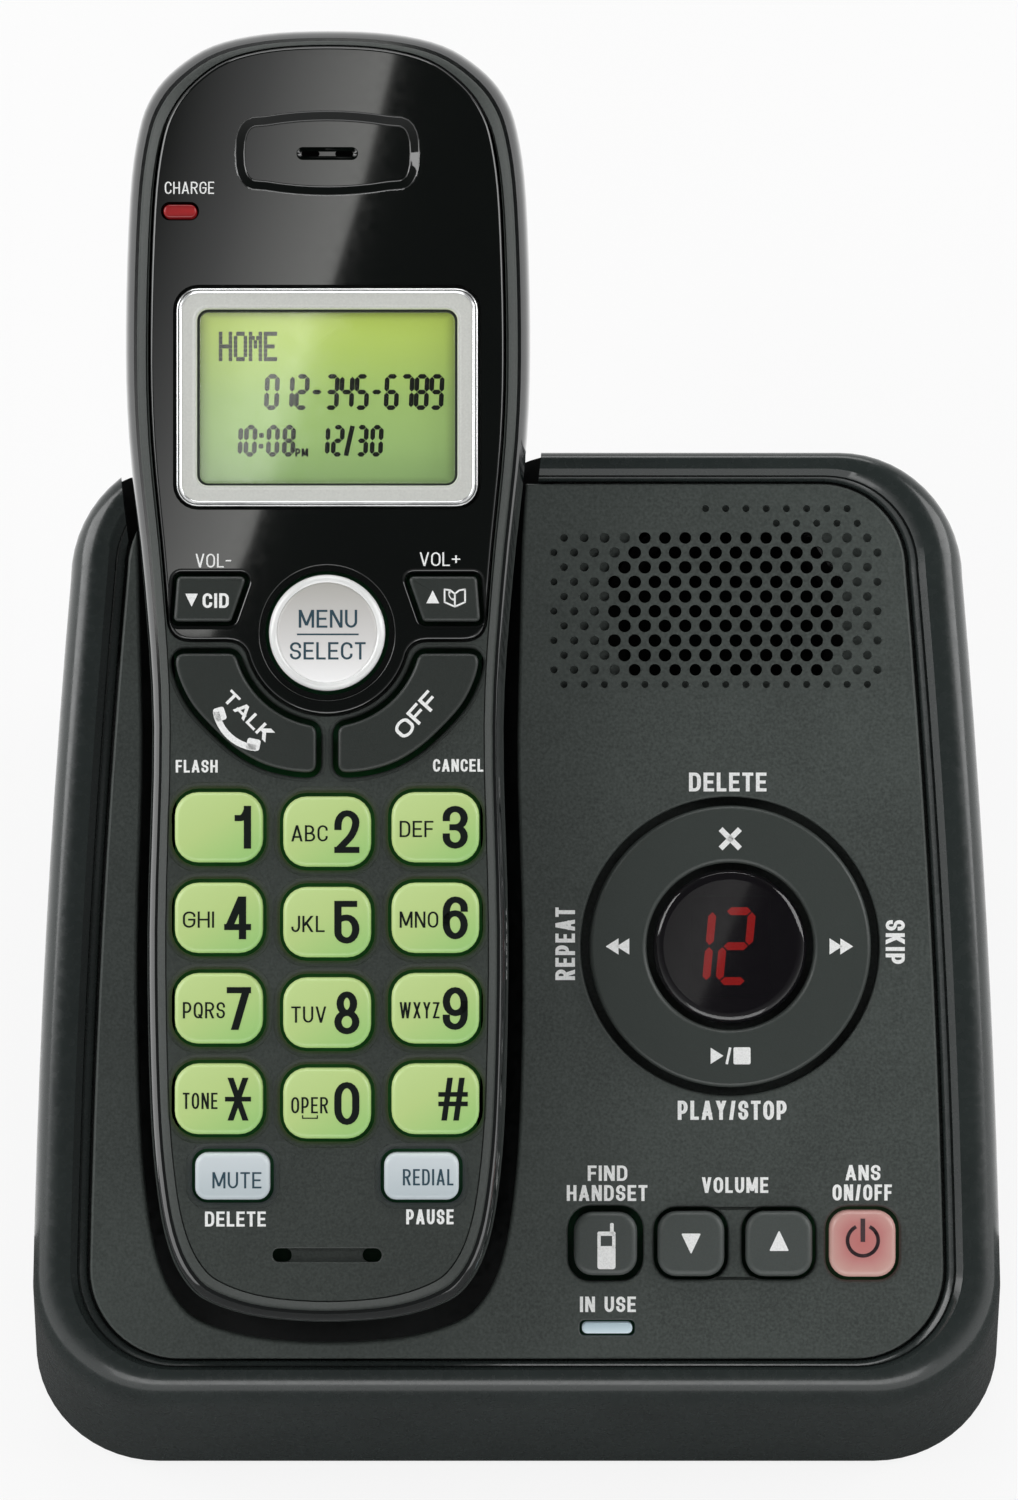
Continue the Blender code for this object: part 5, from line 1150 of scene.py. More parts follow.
def make_panel():
    """The matte panel: plate, ring trench with its middle tower, grille and openings."""
    edges = ((0.0, -PANEL_THICKNESS), (0.0, -PANEL_EDGE_BEVEL), (0.3, -PANEL_EDGE_BEVEL / 3), (1.0, 0.0))
    plate = loft([lifted(top_outline(PANEL_INSET + PANEL_EDGE_BEVEL * across), up) for across, up in edges])
    low = -TRENCH_FLOOR - TRENCH_WALL
    cup = prisms([circle(RING_X, RING_Y, RECESS_RADIUS + TRENCH_WALL)], low, -PANEL_THICKNESS / 2)
    plate = carved(plate, cup, operation='UNION')
    well = flared_way(circle(RING_X, RING_Y, RECESS_RADIUS), -TRENCH_FLOOR, SEAT_GAP)
    plate = carved(plate, well)
    tower_top = WINDOW_TOP - WINDOW_THICKNESS - SEAT_GAP
    plate = carved(plate, prisms([circle(RING_X, RING_Y, TOWER_RADIUS)], low, tower_top), operation='UNION')
    ways = [flared_way(outline, low - OVERRUN, HOLE_FLARE) for outline in base_key_holes()]
    ways.append(prisms([rounded(RING_X, RING_Y, DIGITS_WIDTH + 2 * SEAT_GAP, DIGITS_LENGTH + 2 * SEAT_GAP,
                                DIGITS_WIDTH / 10)], low - OVERRUN, OVERRUN))
    ways.append(flared_way(rounded(LIGHT_X, LIGHT_Y, LIGHT_LENGTH + 2 * SEAT_GAP, LIGHT_WIDTH + 2 * SEAT_GAP,
                                   LIGHT_WIDTH * PILL_SHARE), low - OVERRUN, SEAT_GAP / 2))
    plate = carved(plate, *ways)
    grooves = [rounded((VOLUME_DOWN_X + VOLUME_UP_X) / 2, BASE_KEY_Y + side * VOLUME_GROOVE_REACH,
                       VOLUME_UP_X - VOLUME_DOWN_X - VOLUME_WIDTH / 2, VOLUME_GROOVE, VOLUME_GROOVE / 4, 2)
               for side in (-1, 1)]
    plate = carved(plate, prisms(grooves, -VOLUME_GROOVE, OVERRUN))
    tree = stamp_tree("grille holes", PANEL_GRAIN)
    holes, dimples = grille_points()
    plate = carved(plate, stamped(tree, holes, GRILLE_SIDES, 1.0),
                   stamped(tree, dimples, GRILLE_SIDES, GRILLE_DIMPLE_TAPER))
    way = flared_way([(p.x * (1 - MOUTH_PINCH * smooth_step((p.y - PINCH_FROM) / PINCH_RUN)), p.y)
                      for p in trough_rings()[-1]], -OVERRUN, MOUTH_EDGE)
    way.transform(Matrix.Translation((HANDSET_X, HANDSET_Y, 0)))
    end = prisms([[*STRIP_END, (HANDSET_X, STRIP_END[1][1]), (HANDSET_X, BASE_BACK), (STRIP_END[0][0], BASE_BACK)]],
                 -OVERRUN, OVERRUN)
    plate = carved(plate, way, end)
    finish("matte_panel", [(plate, PANEL_GRAIN)], PANEL_PLACE, "base", ["control_panel"])


def base_key_holes():
    """The openings of the base's keys."""
    find, answer = FIND_SIZE + 2 * FIND_GAP, ANSWER_SIZE + 2 * ANSWER_GAP
    width, length = VOLUME_WIDTH + 2 * VOLUME_GAP, VOLUME_LENGTH + 2 * VOLUME_GAP
    return [rounded(FIND_X, BASE_KEY_Y, find, find, BASE_KEY_HOLE_RADIUS),
            rounded(VOLUME_DOWN_X, BASE_KEY_Y, width, length, BASE_KEY_HOLE_RADIUS),
            rounded(VOLUME_UP_X, BASE_KEY_Y, width, length, BASE_KEY_HOLE_RADIUS),
            rounded(ANSWER_X, BASE_KEY_Y, answer, answer, BASE_KEY_HOLE_RADIUS)]


# Words and marks on the base: text, middle, width, height and turn
PANEL_LABELS = (
    ("DELETE", 0.02473, 0.08145, 0.00908, 0.00221, 0), ("PLAY/STOP", 0.02524, 0.043, 0.01276, 0.00224, 0),
    ("REPEAT", 0.00568, 0.0625, 0.0085, 0.0023, 90), ("SKIP", 0.04435, 0.0627, 0.00513, 0.00224, -90),
    ("FIND", 0.01064, 0.03563, 0.00464, 0.0018, 0), ("HANDSET", 0.01059, 0.03331, 0.00945, 0.00186, 0),
    ("VOLUME", 0.02558, 0.03424, 0.00778, 0.00184, 0), ("ANS", 0.04055, 0.03569, 0.00411, 0.0018, 0),
    ("ON/OFF", 0.04047, 0.03337, 0.00694, 0.00189, 0), ("IN USE", 0.01068, 0.02028, 0.00655, 0.00181, 0),
)
PANEL_LABEL_WEIGHT = 0.2


def make_panel_labels():
    """The white words round the ring and over the keys."""
    labels = [lettering(text, x, y, width, height, PANEL_LABEL_WEIGHT, turn)
              for text, x, y, width, height, turn in PANEL_LABELS]
    finish("panel_print", [(merged(labels), WHITE_INK)], PANEL_PLACE, "base")


CROSS_LENGTH = 0.0032
CROSS_WIDTH = 0.00064
MARK_WIDTH = 0.0015
MARK_HEIGHT = 0.0019
CROSS_Y = 0.0748
MARK_LEFT_X = 0.0118
MARK_RIGHT_X = 0.038
PLAY_Y = 0.0494
PLAY_X = 0.02345
SLASH_X = 0.02478
STOP_X = 0.02637
STOP_SIZE = 0.002
SLASH_WIDTH = 0.0003


def make_ring():
    """The message ring with its four marks."""
    base, top = -RING_UNDERSIDE, RING_HEIGHT
    edge = [(1 - math.cos(math.radians(a)), math.sin(math.radians(a)) - 1) for a in (0, 22, 45, 68, 90)]
    outside = [(RING_OUTER - 0.00045 * x, top + 0.0007 * y) for x, y in edge]
    inside = [(RING_INNER + 0.0005 * x, top + 0.0006 * y) for x, y in reversed(edge)]
    mesh = lathe([(RING_INNER, base), (RING_OUTER, base)] + outside + inside, x=RING_X, y=RING_Y, loop=True)
    bar = [(-CROSS_LENGTH / 2, -CROSS_WIDTH / 2), (CROSS_LENGTH / 2, -CROSS_WIDTH / 2),
           (CROSS_LENGTH / 2, CROSS_WIDTH / 2), (-CROSS_LENGTH / 2, CROSS_WIDTH / 2)]
    marks = [turned_outline(bar, turn, RING_X, CROSS_Y) for turn in (45, -45)]
    for x, turn in ((MARK_LEFT_X, 90), (MARK_RIGHT_X, -90)):
        marks += [triangle(x + side * MARK_WIDTH * 0.42, RING_Y, MARK_HEIGHT, MARK_WIDTH, turn) for side in (-1, 1)]
    marks.append(triangle(PLAY_X, PLAY_Y, MARK_HEIGHT, MARK_WIDTH, -90))
    lean = math.degrees(math.atan2(SLASH_WIDTH * 1.4, STOP_SIZE))
    slash = [(-SLASH_WIDTH / 2, -STOP_SIZE / 2), (SLASH_WIDTH / 2, -STOP_SIZE / 2),
             (SLASH_WIDTH / 2, STOP_SIZE / 2), (-SLASH_WIDTH / 2, STOP_SIZE / 2)]
    marks.append(turned_outline(slash, -lean, SLASH_X, PLAY_Y))
    marks.append(rounded(STOP_X, PLAY_Y, STOP_SIZE, STOP_SIZE, STOP_SIZE / 12, 2))
    finish("message_ring_cap", [(mesh, RING_SATIN), (ink(marks, top), WHITE_INK)], PANEL_PLACE, "message_ring",
           ["message_ring"])


# Seven-segment digits: which bars each figure lights, named a to g from the top round to the middle
SEGMENTS = {"0": "abcdef", "1": "bc", "2": "abdeg", "3": "abcdg", "4": "bcfg", "5": "acdfg", "6": "acdefg",
            "7": "abc", "8": "abcdefg", "9": "abcdfg", "-": "g"}


def digit(figure, x, y, width, height, bar, slant, gap):
    """The bars of a seven-segment figure as outlines."""
    half, tall = width / 2, height / 2
    across = [(-half + gap, 0), (-half + gap + bar / 2, -bar / 2), (half - gap - bar / 2, -bar / 2), (half - gap, 0),
              (half - gap - bar / 2, bar / 2), (-half + gap + bar / 2, bar / 2)]
    along = [(0, gap), (bar / 2, gap + bar / 2), (bar / 2, tall - gap - bar / 2), (0, tall - gap),
             (-bar / 2, tall - gap - bar / 2), (-bar / 2, gap + bar / 2)]
    places = {"a": (across, 0, tall), "g": (across, 0, 0), "d": (across, 0, -tall), "b": (along, half, 0),
              "c": (along, half, -tall), "f": (along, -half, 0), "e": (along, -half, -tall)}
    outlines = []
    for name in SEGMENTS[figure]:
        shape, dx, dy = places[name]
        outlines.append([(x + px + dx + slant * (py + dy), y + py + dy) for px, py in shape])
    return outlines


MESSAGE_DIGIT_X = (0.02107, 0.0257)
MESSAGE_DIGIT_WIDTH = 0.00307
MESSAGE_DIGIT_HEIGHT = 0.0082
MESSAGE_DIGIT_BAR = 0.00092
MESSAGE_DIGIT_SLANT = 0.095
MESSAGE_DIGIT_GAP = 0.00012


def make_message_display():
    """The dark round window and the lit message count behind it."""
    half = WINDOW_THICKNESS / 2
    low = WINDOW_TOP - WINDOW_THICKNESS
    profile = [(0.0, low), (WINDOW_RADIUS, low), (WINDOW_RADIUS, WINDOW_TOP - half)]
    profile += [(WINDOW_RADIUS * across, WINDOW_TOP - half * down)
                for across, down in ((0.985, 0.66), (0.95, 0.32), (0.91, 0.1), (0.87, 0.0), (0.0, 0.0))]
    window, tree, shader = new_look("smoked window", (0.004, 0.003, 0.005), 0.04, Alpha=0.72, Coat_Weight=1.0,
                                    Coat_Roughness=0.02)
    tree.links.new(spread(tree, noise(tree, 700, 2.0), 0.03, 0.06), shader.inputs["Roughness"])
    finish("smoked_window", [(lathe(profile, x=RING_X, y=RING_Y), window)], PANEL_PLACE, "base",
           ["display_window"])
    top = -DIGITS_TOP
    body = prisms([rounded(RING_X, RING_Y, DIGITS_WIDTH, DIGITS_LENGTH, DIGITS_WIDTH / 12)], -0.0045, top)
    bars = []
    for figure, x in zip("12", MESSAGE_DIGIT_X):
        bars += digit(figure, x, RING_Y, MESSAGE_DIGIT_WIDTH, MESSAGE_DIGIT_HEIGHT, MESSAGE_DIGIT_BAR,
                      MESSAGE_DIGIT_SLANT, MESSAGE_DIGIT_GAP)
    finish("message_count", [(body, TROUGH_BLACK), (ink(bars, top), DIGIT_RED)], PANEL_PLACE, "base",
           ["light_display"])


ICON_HALF = 0.00106
POWER_MARK_RADIUS = 0.00179
POWER_MARK_WIDTH = 0.00042
POWER_MARK_Y = 0.0278
VOLUME_MARK = 0.0023
ANSWER_DOME = 0.00008


def find_icon():
    """A small upright handset with an aerial, as outlines."""
    x, y = FIND_X + 0.0001, BASE_KEY_Y - 0.0003
    wide, wall = ICON_HALF, ICON_HALF * 0.37
    return [rounded(x, y - 0.0013, 2 * wide, 0.0027, 0.0003, 3),
            rounded(x - wide + wall / 2, y + 0.0006, wall, 0.0016, wall / 3, 2),
            rounded(x + wide - wall / 2, y + 0.0006, wall, 0.0016, wall / 3, 2),
            rounded(x, y + 0.0015, 2 * wide, wall * 1.3, wall / 2, 3),
            rounded(x + wide * 0.6, y + 0.0021, wall * 1.1, 0.0013, wall / 2.5, 3)]


def make_base_keys():
    """The four keys of the base, each with its mark."""
    foot, top = -PANEL_THICKNESS - SEAT_GAP, BASE_KEY_TOP
    plain = (("find_key", FIND_X, FIND_SIZE, FIND_SIZE, find_icon()),
             ("volume_down_key", VOLUME_DOWN_X, VOLUME_WIDTH, VOLUME_LENGTH,
              [fillet(triangle(VOLUME_DOWN_X, BASE_KEY_Y, VOLUME_MARK, VOLUME_MARK * 1.06, 180), 0.0001, 2)]),
             ("volume_up_key", VOLUME_UP_X, VOLUME_WIDTH, VOLUME_LENGTH,
              [fillet(triangle(VOLUME_UP_X, BASE_KEY_Y + 0.0004, VOLUME_MARK, VOLUME_MARK * 1.06), 0.0001, 2)]))
    for name, x, width, length, marks in plain:
        cap = key_cap(base_key_outline(x, width, length), foot, top, BASE_KEY_EDGE)
        finish(name + "_cap", [(cap, BASE_KEY_SATIN), (ink(marks, top), WHITE_INK)], PANEL_PLACE, name,
               [name])
    cap = key_cap(base_key_outline(ANSWER_X, ANSWER_SIZE, ANSWER_SIZE), foot, top - ANSWER_DOME, BASE_KEY_EDGE,
                  ANSWER_DOME)
    ring = arc(ANSWER_X, POWER_MARK_Y, POWER_MARK_RADIUS, 120, 420, 40)
    marks = strokes(ring, POWER_MARK_WIDTH)
    marks += strokes([(ANSWER_X, POWER_MARK_Y), (ANSWER_X, POWER_MARK_Y + 0.0024)], POWER_MARK_WIDTH * 1.3)
    finish("answer_key_cap", [(cap, KEY_PINK), (ink(marks, top), BROWN_INK)], PANEL_PLACE, "answer_key",
           ["answer_key"],
           glow=lambda p: min(1.0, math.hypot(p.x - ANSWER_X, p.y - POWER_MARK_Y) / (ANSWER_SIZE * 0.56)))
    bar = rounded(LIGHT_X, LIGHT_Y, LIGHT_LENGTH, LIGHT_WIDTH, LIGHT_WIDTH * PILL_SHARE)
    lens = key_cap(bar, foot, 0.0, LIGHT_WIDTH / 5)
    # The glow value runs up the in-use lens: painted light at its lower edge, painted shade at its upper edge.
    finish("in_use_lens", [(lens, LIGHT_BLUE)], PANEL_PLACE, "base", ["in_use_light"],
           glow=lambda p: (p.y - LIGHT_Y) / LIGHT_WIDTH + 0.5)


# Handset

def arrow_key_outline():
    """The slanted key left of the menu key."""
    corners = [(-ARROW_KEY_OUTER_BOTTOM, ARROW_KEY_BOTTOM), (-ARROW_KEY_INNER_BOTTOM, ARROW_KEY_BOTTOM),
               (-ARROW_KEY_INNER_TOP, ARROW_KEY_TOP), (-ARROW_KEY_OUTER_TOP, ARROW_KEY_TOP)]
    return fillet(corners, ARROW_KEY_RADIUS)


def talk_key_outline():
    """The talk key: an arm that hugs the menu key's lobe, with one smooth convex outer edge."""
    across = math.sqrt(TALK_INNER_ARC ** 2 - (MENU_Y - TALK_TOP) ** 2)
    start = math.degrees(math.acos(-across / TALK_INNER_ARC))
    end = math.degrees(math.acos(-TALK_INNER_X / TALK_INNER_ARC))
    inner = arc(0, MENU_Y, TALK_INNER_ARC, -end, -start, ARC_STEPS)
    outer = [tuple(p) for p in smooth_path(TALK_OUTER_EDGE, 5)]
    return fillet(outer + inner, TALK_RADIUS)


def dial_place(column, row):
    """The middle of a dial key: columns -1, 0 and 1, rows 0 to 3 from the top."""
    return column * DIAL_PITCH_X, DIAL_BOTTOM_Y + (3 - row) * DIAL_PITCH_Y + DIAL_SIDE_RISE * abs(column)


def plate_outline(inset=0.0):
    """The faceplate's outline, with the round lobe under the menu key."""
    whole = handset_outline(PLATE_INSET + inset, PLATE_INSET + inset, PLATE_TOP_INSET + inset)
    bottom = PLATE_BOTTOM + inset
    half = len(whole) // 2
    right = [p for p in whole[:half + 1] if p[1] > bottom + PLATE_BOTTOM_RADIUS / 2]
    below = [p for p in whole[:half + 1] if p[1] <= bottom][-1]
    share = (bottom - below[1]) / (right[0][1] - below[1])
    upper = [(below[0] + (right[0][0] - below[0]) * share, bottom)] + right
    left = [(-x, y) for x, y in reversed(upper) if x > 0]
    lobe = LOBE_RADIUS - inset
    lean = math.degrees(math.asin((MENU_Y - bottom) / lobe))
    under = arc(0, MENU_Y, lobe, 180 + lean, 360 - lean, 2 * ARC_STEPS)
    return fillet(upper + left + under, PLATE_BOTTOM_RADIUS)


def ear_slots(extra=0.0):
    """The two slots over the earpiece."""
    return [rounded(side * EAR_SLOT_SPACING / 2, EAR_Y, EAR_SLOT_WIDTH + extra, EAR_SLOT_LENGTH + extra,
                    (EAR_SLOT_LENGTH + extra) * PILL_SHARE) for side in (-1, 1)]


def light_outline(extra=0.0):
    """The charge light's pill shape."""
    return rounded(CHARGE_LIGHT_X, CHARGE_LIGHT_Y, CHARGE_LIGHT_WIDTH + extra,
                   CHARGE_LIGHT_LENGTH + extra, (CHARGE_LIGHT_LENGTH + extra) * PILL_SHARE)


# Dial keys: name, figure and its width, letters and their width
DIAL_KEYS = (("key_1", "1", 0.0019, "", 0), ("key_2", "2", 0.0029, "ABC", 0.0042),
             ("key_3", "3", 0.0029, "DEF", 0.0039), ("key_4", "4", 0.0031, "GHI", 0.0036),
             ("key_5", "5", 0.0029, "JKL", 0.00385), ("key_6", "6", 0.0029, "MNO", 0.00446),
             ("key_7", "7", 0.0028, "PQRS", 0.00486), ("key_8", "8", 0.0029, "TUV", 0.00403),
             ("key_9", "9", 0.0029, "WXYZ", 0.0046), ("key_star", "*", 0.003, "TONE", 0.004),
             ("key_0", "0", 0.0029, "OPER", 0.00425), ("key_hash", "#", 0.0034, "", 0))
DIGIT_HEIGHT = 0.00493
DIGIT_RIGHT = 0.0013
DIGIT_WEIGHT = 0.17
SIGN_WEIGHT = 0.13
LETTER_HEIGHT = 0.00187
LETTER_LEFT = 0.00094
LETTER_WEIGHT = 0.13
DIAL_DOME = 0.00006
RAIL_WIDTH = 0.00014


def dial_outline(index):
    """The outline of a dial key by its place in the list."""
    x, y = dial_place(index % 3 - 1, index // 3)
    return rounded(x, y, DIAL_WIDTH, DIAL_LENGTH, DIAL_RADIUS)


def small_key_outline():
    """The mute key's outline."""
    return rounded(-SMALL_KEY_X, SMALL_KEY_Y, SMALL_KEY_WIDTH, SMALL_KEY_LENGTH, SMALL_KEY_RADIUS)


def make_rear_shell():
    """The glossy rear shell with its battery bay, and the door cut from the same skin."""
    outer = back_rings()
    inner = [ring for ring in reversed(back_rings(HANDSET_WALL)) if -ring[0].z < HANDSET_DEPTH - HANDSET_WALL]
    rim = [Vector((p.x, p.y, outer[-1][0].z)) for p in inner[0]]
    floor = [Vector((p.x, p.y, HANDSET_WALL - HANDSET_DEPTH)) for p in inner[-1]]
    skin = outer + [rim] + inner + [floor]
    shell, door = loft(skin), loft(skin)
    low_end, high_end = PACK_Y - CELL_LENGTH / 2 - TRAY_GAP, PACK_Y + CELL_LENGTH / 2 + TRAY_GAP
    half = 2 * CELL_RADIUS + TRAY_GAP
    deep = -HANDSET_DEPTH - OVERRUN
    bay = block(-half - TRAY_WALL, half + TRAY_WALL, low_end - TRAY_WALL, high_end + TRAY_WALL, deep,
                -TRAY_FLOOR_DEPTH)
    bay = carved(bay, loft(back_rings(SEAT_GAP)), operation='INTERSECT')
    hollow = block(-half, half, low_end, high_end, deep, -TRAY_FLOOR_DEPTH - TRAY_WALL)
    hollow = carved(hollow, loft(back_rings(HANDSET_WALL)), operation='INTERSECT')
    shell = carved(carved(shell, bay, operation='UNION'), hollow)
    outline = rounded(0, (DOOR_FROM + DOOR_TO) / 2, 2 * DOOR_HALF, DOOR_TO - DOOR_FROM, DOOR_RADIUS)
    seats = [rounded(x, CONTACT_Y, CONTACT_WIDTH + 2 * SEAT_GAP, CONTACT_LENGTH + 2 * SEAT_GAP, CONTACT_WIDTH / 5)
             for x in (-CONTACT_X, CONTACT_X)]
    shell = carved(shell, prisms([outline], deep, -DOOR_CUT_DEPTH),
                   prisms(seats, deep, -HANDSET_DEPTH + CONTACT_THICKNESS + SEAT_GAP))
    door = carved(door, prisms([offset(outline, -SEAT_GAP)], deep, -DOOR_CUT_DEPTH - SEAT_GAP),
                  operation='INTERSECT')
    ribs = [rounded(0, DOOR_FROM + RIB_FROM + i * RIB_PITCH, RIB_WIDTH, RIB_PITCH / 2, RIB_PITCH / 5, 2)
            for i in range(RIB_COUNT)]
    door = carved(door, prisms(ribs, deep, RIB_DEPTH - HANDSET_DEPTH))
    finish("glossy_rear_shell", [(shell, SHELL_GLOSS)], HANDSET_PLACE, "handset",
           ["handset_rear_shell"])
    finish("battery_lid", [(door, SHELL_GLOSS)], HANDSET_PLACE, "battery_door", ["battery_door"])


def handset_ways():
    """The openings of the keys that come through the matte front shell, each with its shoulder's scale."""
    talk, small = talk_key_outline(), small_key_outline()
    keys = [dial_outline(i) for i in range(len(DIAL_KEYS))] + [small, mirrored(small)]
    return ([(offset(outline, KEY_GAP), 1.0) for outline in keys]
            + [(offset(outline, TALK_GAP), TALK_SHOULDER) for outline in (talk, mirrored(talk))])


def make_front_shell():
    """The matte front shell with softly edged openings."""
    inner = SKIRT_INSET + FRONT_INSET
    face = -FRONT_FACE_DEPTH
    band = ((0.0, FRONT_FLANGE_DEPTH), (0.0, FRONT_FACE_DEPTH + 2.4 * FRONT_EDGE_DROP),
            (FRONT_EDGE_DROP / 3, FRONT_FACE_DEPTH + 1.5 * FRONT_EDGE_DROP),
            (FRONT_EDGE_DROP, FRONT_FACE_DEPTH + FRONT_EDGE_DROP),
            (FRONT_BAND - 0.00016, FRONT_FACE_DEPTH + FRONT_EDGE_DROP / 4),
            (FRONT_BAND - 0.00014, FRONT_FACE_DEPTH + FRONT_EDGE_DROP),
            (FRONT_BAND - 0.00002, FRONT_FACE_DEPTH + FRONT_EDGE_DROP),
            (FRONT_BAND, FRONT_FACE_DEPTH))
    rings = [handset_ring(inner, inner, inner, FRONT_CEILING_DEPTH)]
    rings.append(handset_ring(SKIRT_INSET, SKIRT_INSET, SKIRT_INSET, FRONT_CEILING_DEPTH))
    rings.append(handset_ring(SKIRT_INSET, SKIRT_INSET, SKIRT_INSET, FRONT_FLANGE_DEPTH))
    for across, depth in band:
        inset = FRONT_INSET + across
        rings.append(handset_ring(inset, inset, inset, depth))
    shell = loft(rings)
    seat = prisms([offset(plate_outline(), SEAT_GAP)], -PLATE_THICKNESS - SEAT_GAP, OVERRUN)
    low = -FRONT_CEILING_DEPTH - OVERRUN
    shell = carved(shell, seat)
    shell = carved(shell, *[sunk_way(outline, low, face, scale) for outline, scale in handset_ways()])
    under = [offset(outline, KEY_GAP) for outline in
             (arrow_key_outline(), mirrored(arrow_key_outline()), circle(0, MENU_Y, MENU_RADIUS))]
    under.append(rounded(0, LCD_Y, LCD_LENS_WIDTH, LCD_LENS_LENGTH, LCD_LENS_RADIUS))
    under += ear_slots(SEAT_GAP) + [light_outline(2 * SEAT_GAP)]
    holes = [rounded(side * (MIC_SLOT_WIDTH - MIC_HOLE_WIDTH) / 2, MIC_Y, MIC_HOLE_WIDTH, MIC_SLOT_LENGTH,
                     MIC_SLOT_LENGTH * PILL_SHARE) for side in (-1, 1)]
    shell = carved(shell, prisms(under + holes, low, OVERRUN))
    slot = rounded(0, MIC_Y, MIC_SLOT_WIDTH, MIC_SLOT_LENGTH, MIC_SLOT_LENGTH * PILL_SHARE)
    shell = carved(shell, flared_way(slot, face - MIC_SLOT_DEPTH, SEAT_GAP / 2, face))
    finish("matte_front_shell", [(shell, FRONT_GRAIN)], HANDSET_PLACE, "handset",
           ["handset_front_shell"])


def make_faceplate():
    """The glossy faceplate with the earpiece dish and the seats of its keys."""
    edges = [(1 - math.cos(a), math.sin(a) - 1) for a in (math.pi / 8 * i for i in range(5))]
    plate = loft([lifted(plate_outline(), -PLATE_THICKNESS)]
                 + [lifted(plate_outline(PLATE_BEVEL * across), PLATE_BEVEL * up) for across, up in edges])
    low = -PLATE_THICKNESS - OVERRUN
    arrow = offset(arrow_key_outline(), KEY_GAP)
    plate = carved(plate, *[sunk_way(outline, low, 0.0, SEAT_SHOULDER) for outline in (arrow, mirrored(arrow))])
    bezel = rounded(0, LCD_Y, LCD_BEZEL_WIDTH + 2 * SEAT_GAP, LCD_BEZEL_LENGTH + 2 * SEAT_GAP,
                    LCD_BEZEL_RADIUS + SEAT_GAP)
    ways = [bezel, offset(circle(0, MENU_Y, MENU_RADIUS), KEY_GAP), light_outline(2 * SEAT_GAP)] + ear_slots()
    plate = carved(plate, prisms(ways, low, OVERRUN))
    dish = bowed_pill(EAR_DISH_WIDTH, EAR_DISH_LENGTH)
    slope = ((1.22, 1.0), (1.16, 0.97), (1.08, 0.72), (1.02, 0.66), (0.15, 0.34), (0.09, 0.28), (0.02, 0.06))
    rings = [lifted(offset(dish, -across / 1000), -EAR_DISH_DEPTH * down) for across, down in slope]
    rings += [lifted(dish, 0.0), lifted(dish, OVERRUN)]
    plate = carved(plate, loft(rings))
    pill = rounded(0, EAR_Y, EAR_PILL_WIDTH, EAR_PILL_LENGTH, EAR_PILL_LENGTH * PILL_SHARE)
    hollow = ((-0.0004, 0.0005), (0.0, 0.00016), (0.0001, 0.0), (0.0001, -OVERRUN))
    plate = carved(plate, loft([lifted(offset(pill, out), -EAR_DISH_DEPTH - down) for out, down in hollow]))
    ring = circle(0, MENU_Y, MENU_RING_RADIUS)
    plate = carved(plate, flared_way(ring, -MENU_RING_DEPTH, SEAT_GAP / 2))
    finish("glossy_faceplate", [(plate, PIANO_BLACK)], HANDSET_PLACE, "handset", ["handset_faceplate"])


def bowed_pill(width, length):
    """The earpiece dish: a rounded bar whose long sides bow outwards."""
    half, tall, end = width / 2, length / 2, length * 0.36
    path = []
    for i in range(EAR_BOW_STEPS + 1):
        t = -1 + 2 * i / EAR_BOW_STEPS
        path.append((t * (half - end), EAR_Y - tall - EAR_BOW * (1 - t * t) + EAR_BOW))
    top = [(-x, 2 * EAR_Y - y) for x, y in path]
    right = arc_between(path[-1], top[0], half)
    left = [(-x, 2 * EAR_Y - y) for x, y in right]
    return path + right + top + left


def arc_between(start, end, reach, steps=12):
    """A rounded end from one point round to another, out to a reach."""
    points = []
    tall, middle = (end[1] - start[1]) / 2, (start[1] + end[1]) / 2
    for i in range(1, steps):
        angle = math.pi * i / steps - math.pi / 2
        bulge = abs(math.cos(angle)) ** 0.62 * (reach - start[0])
        rise = math.copysign(abs(math.sin(angle)) ** 0.8, math.sin(angle)) * tall
        points.append((start[0] + bulge, middle + rise))
    return points


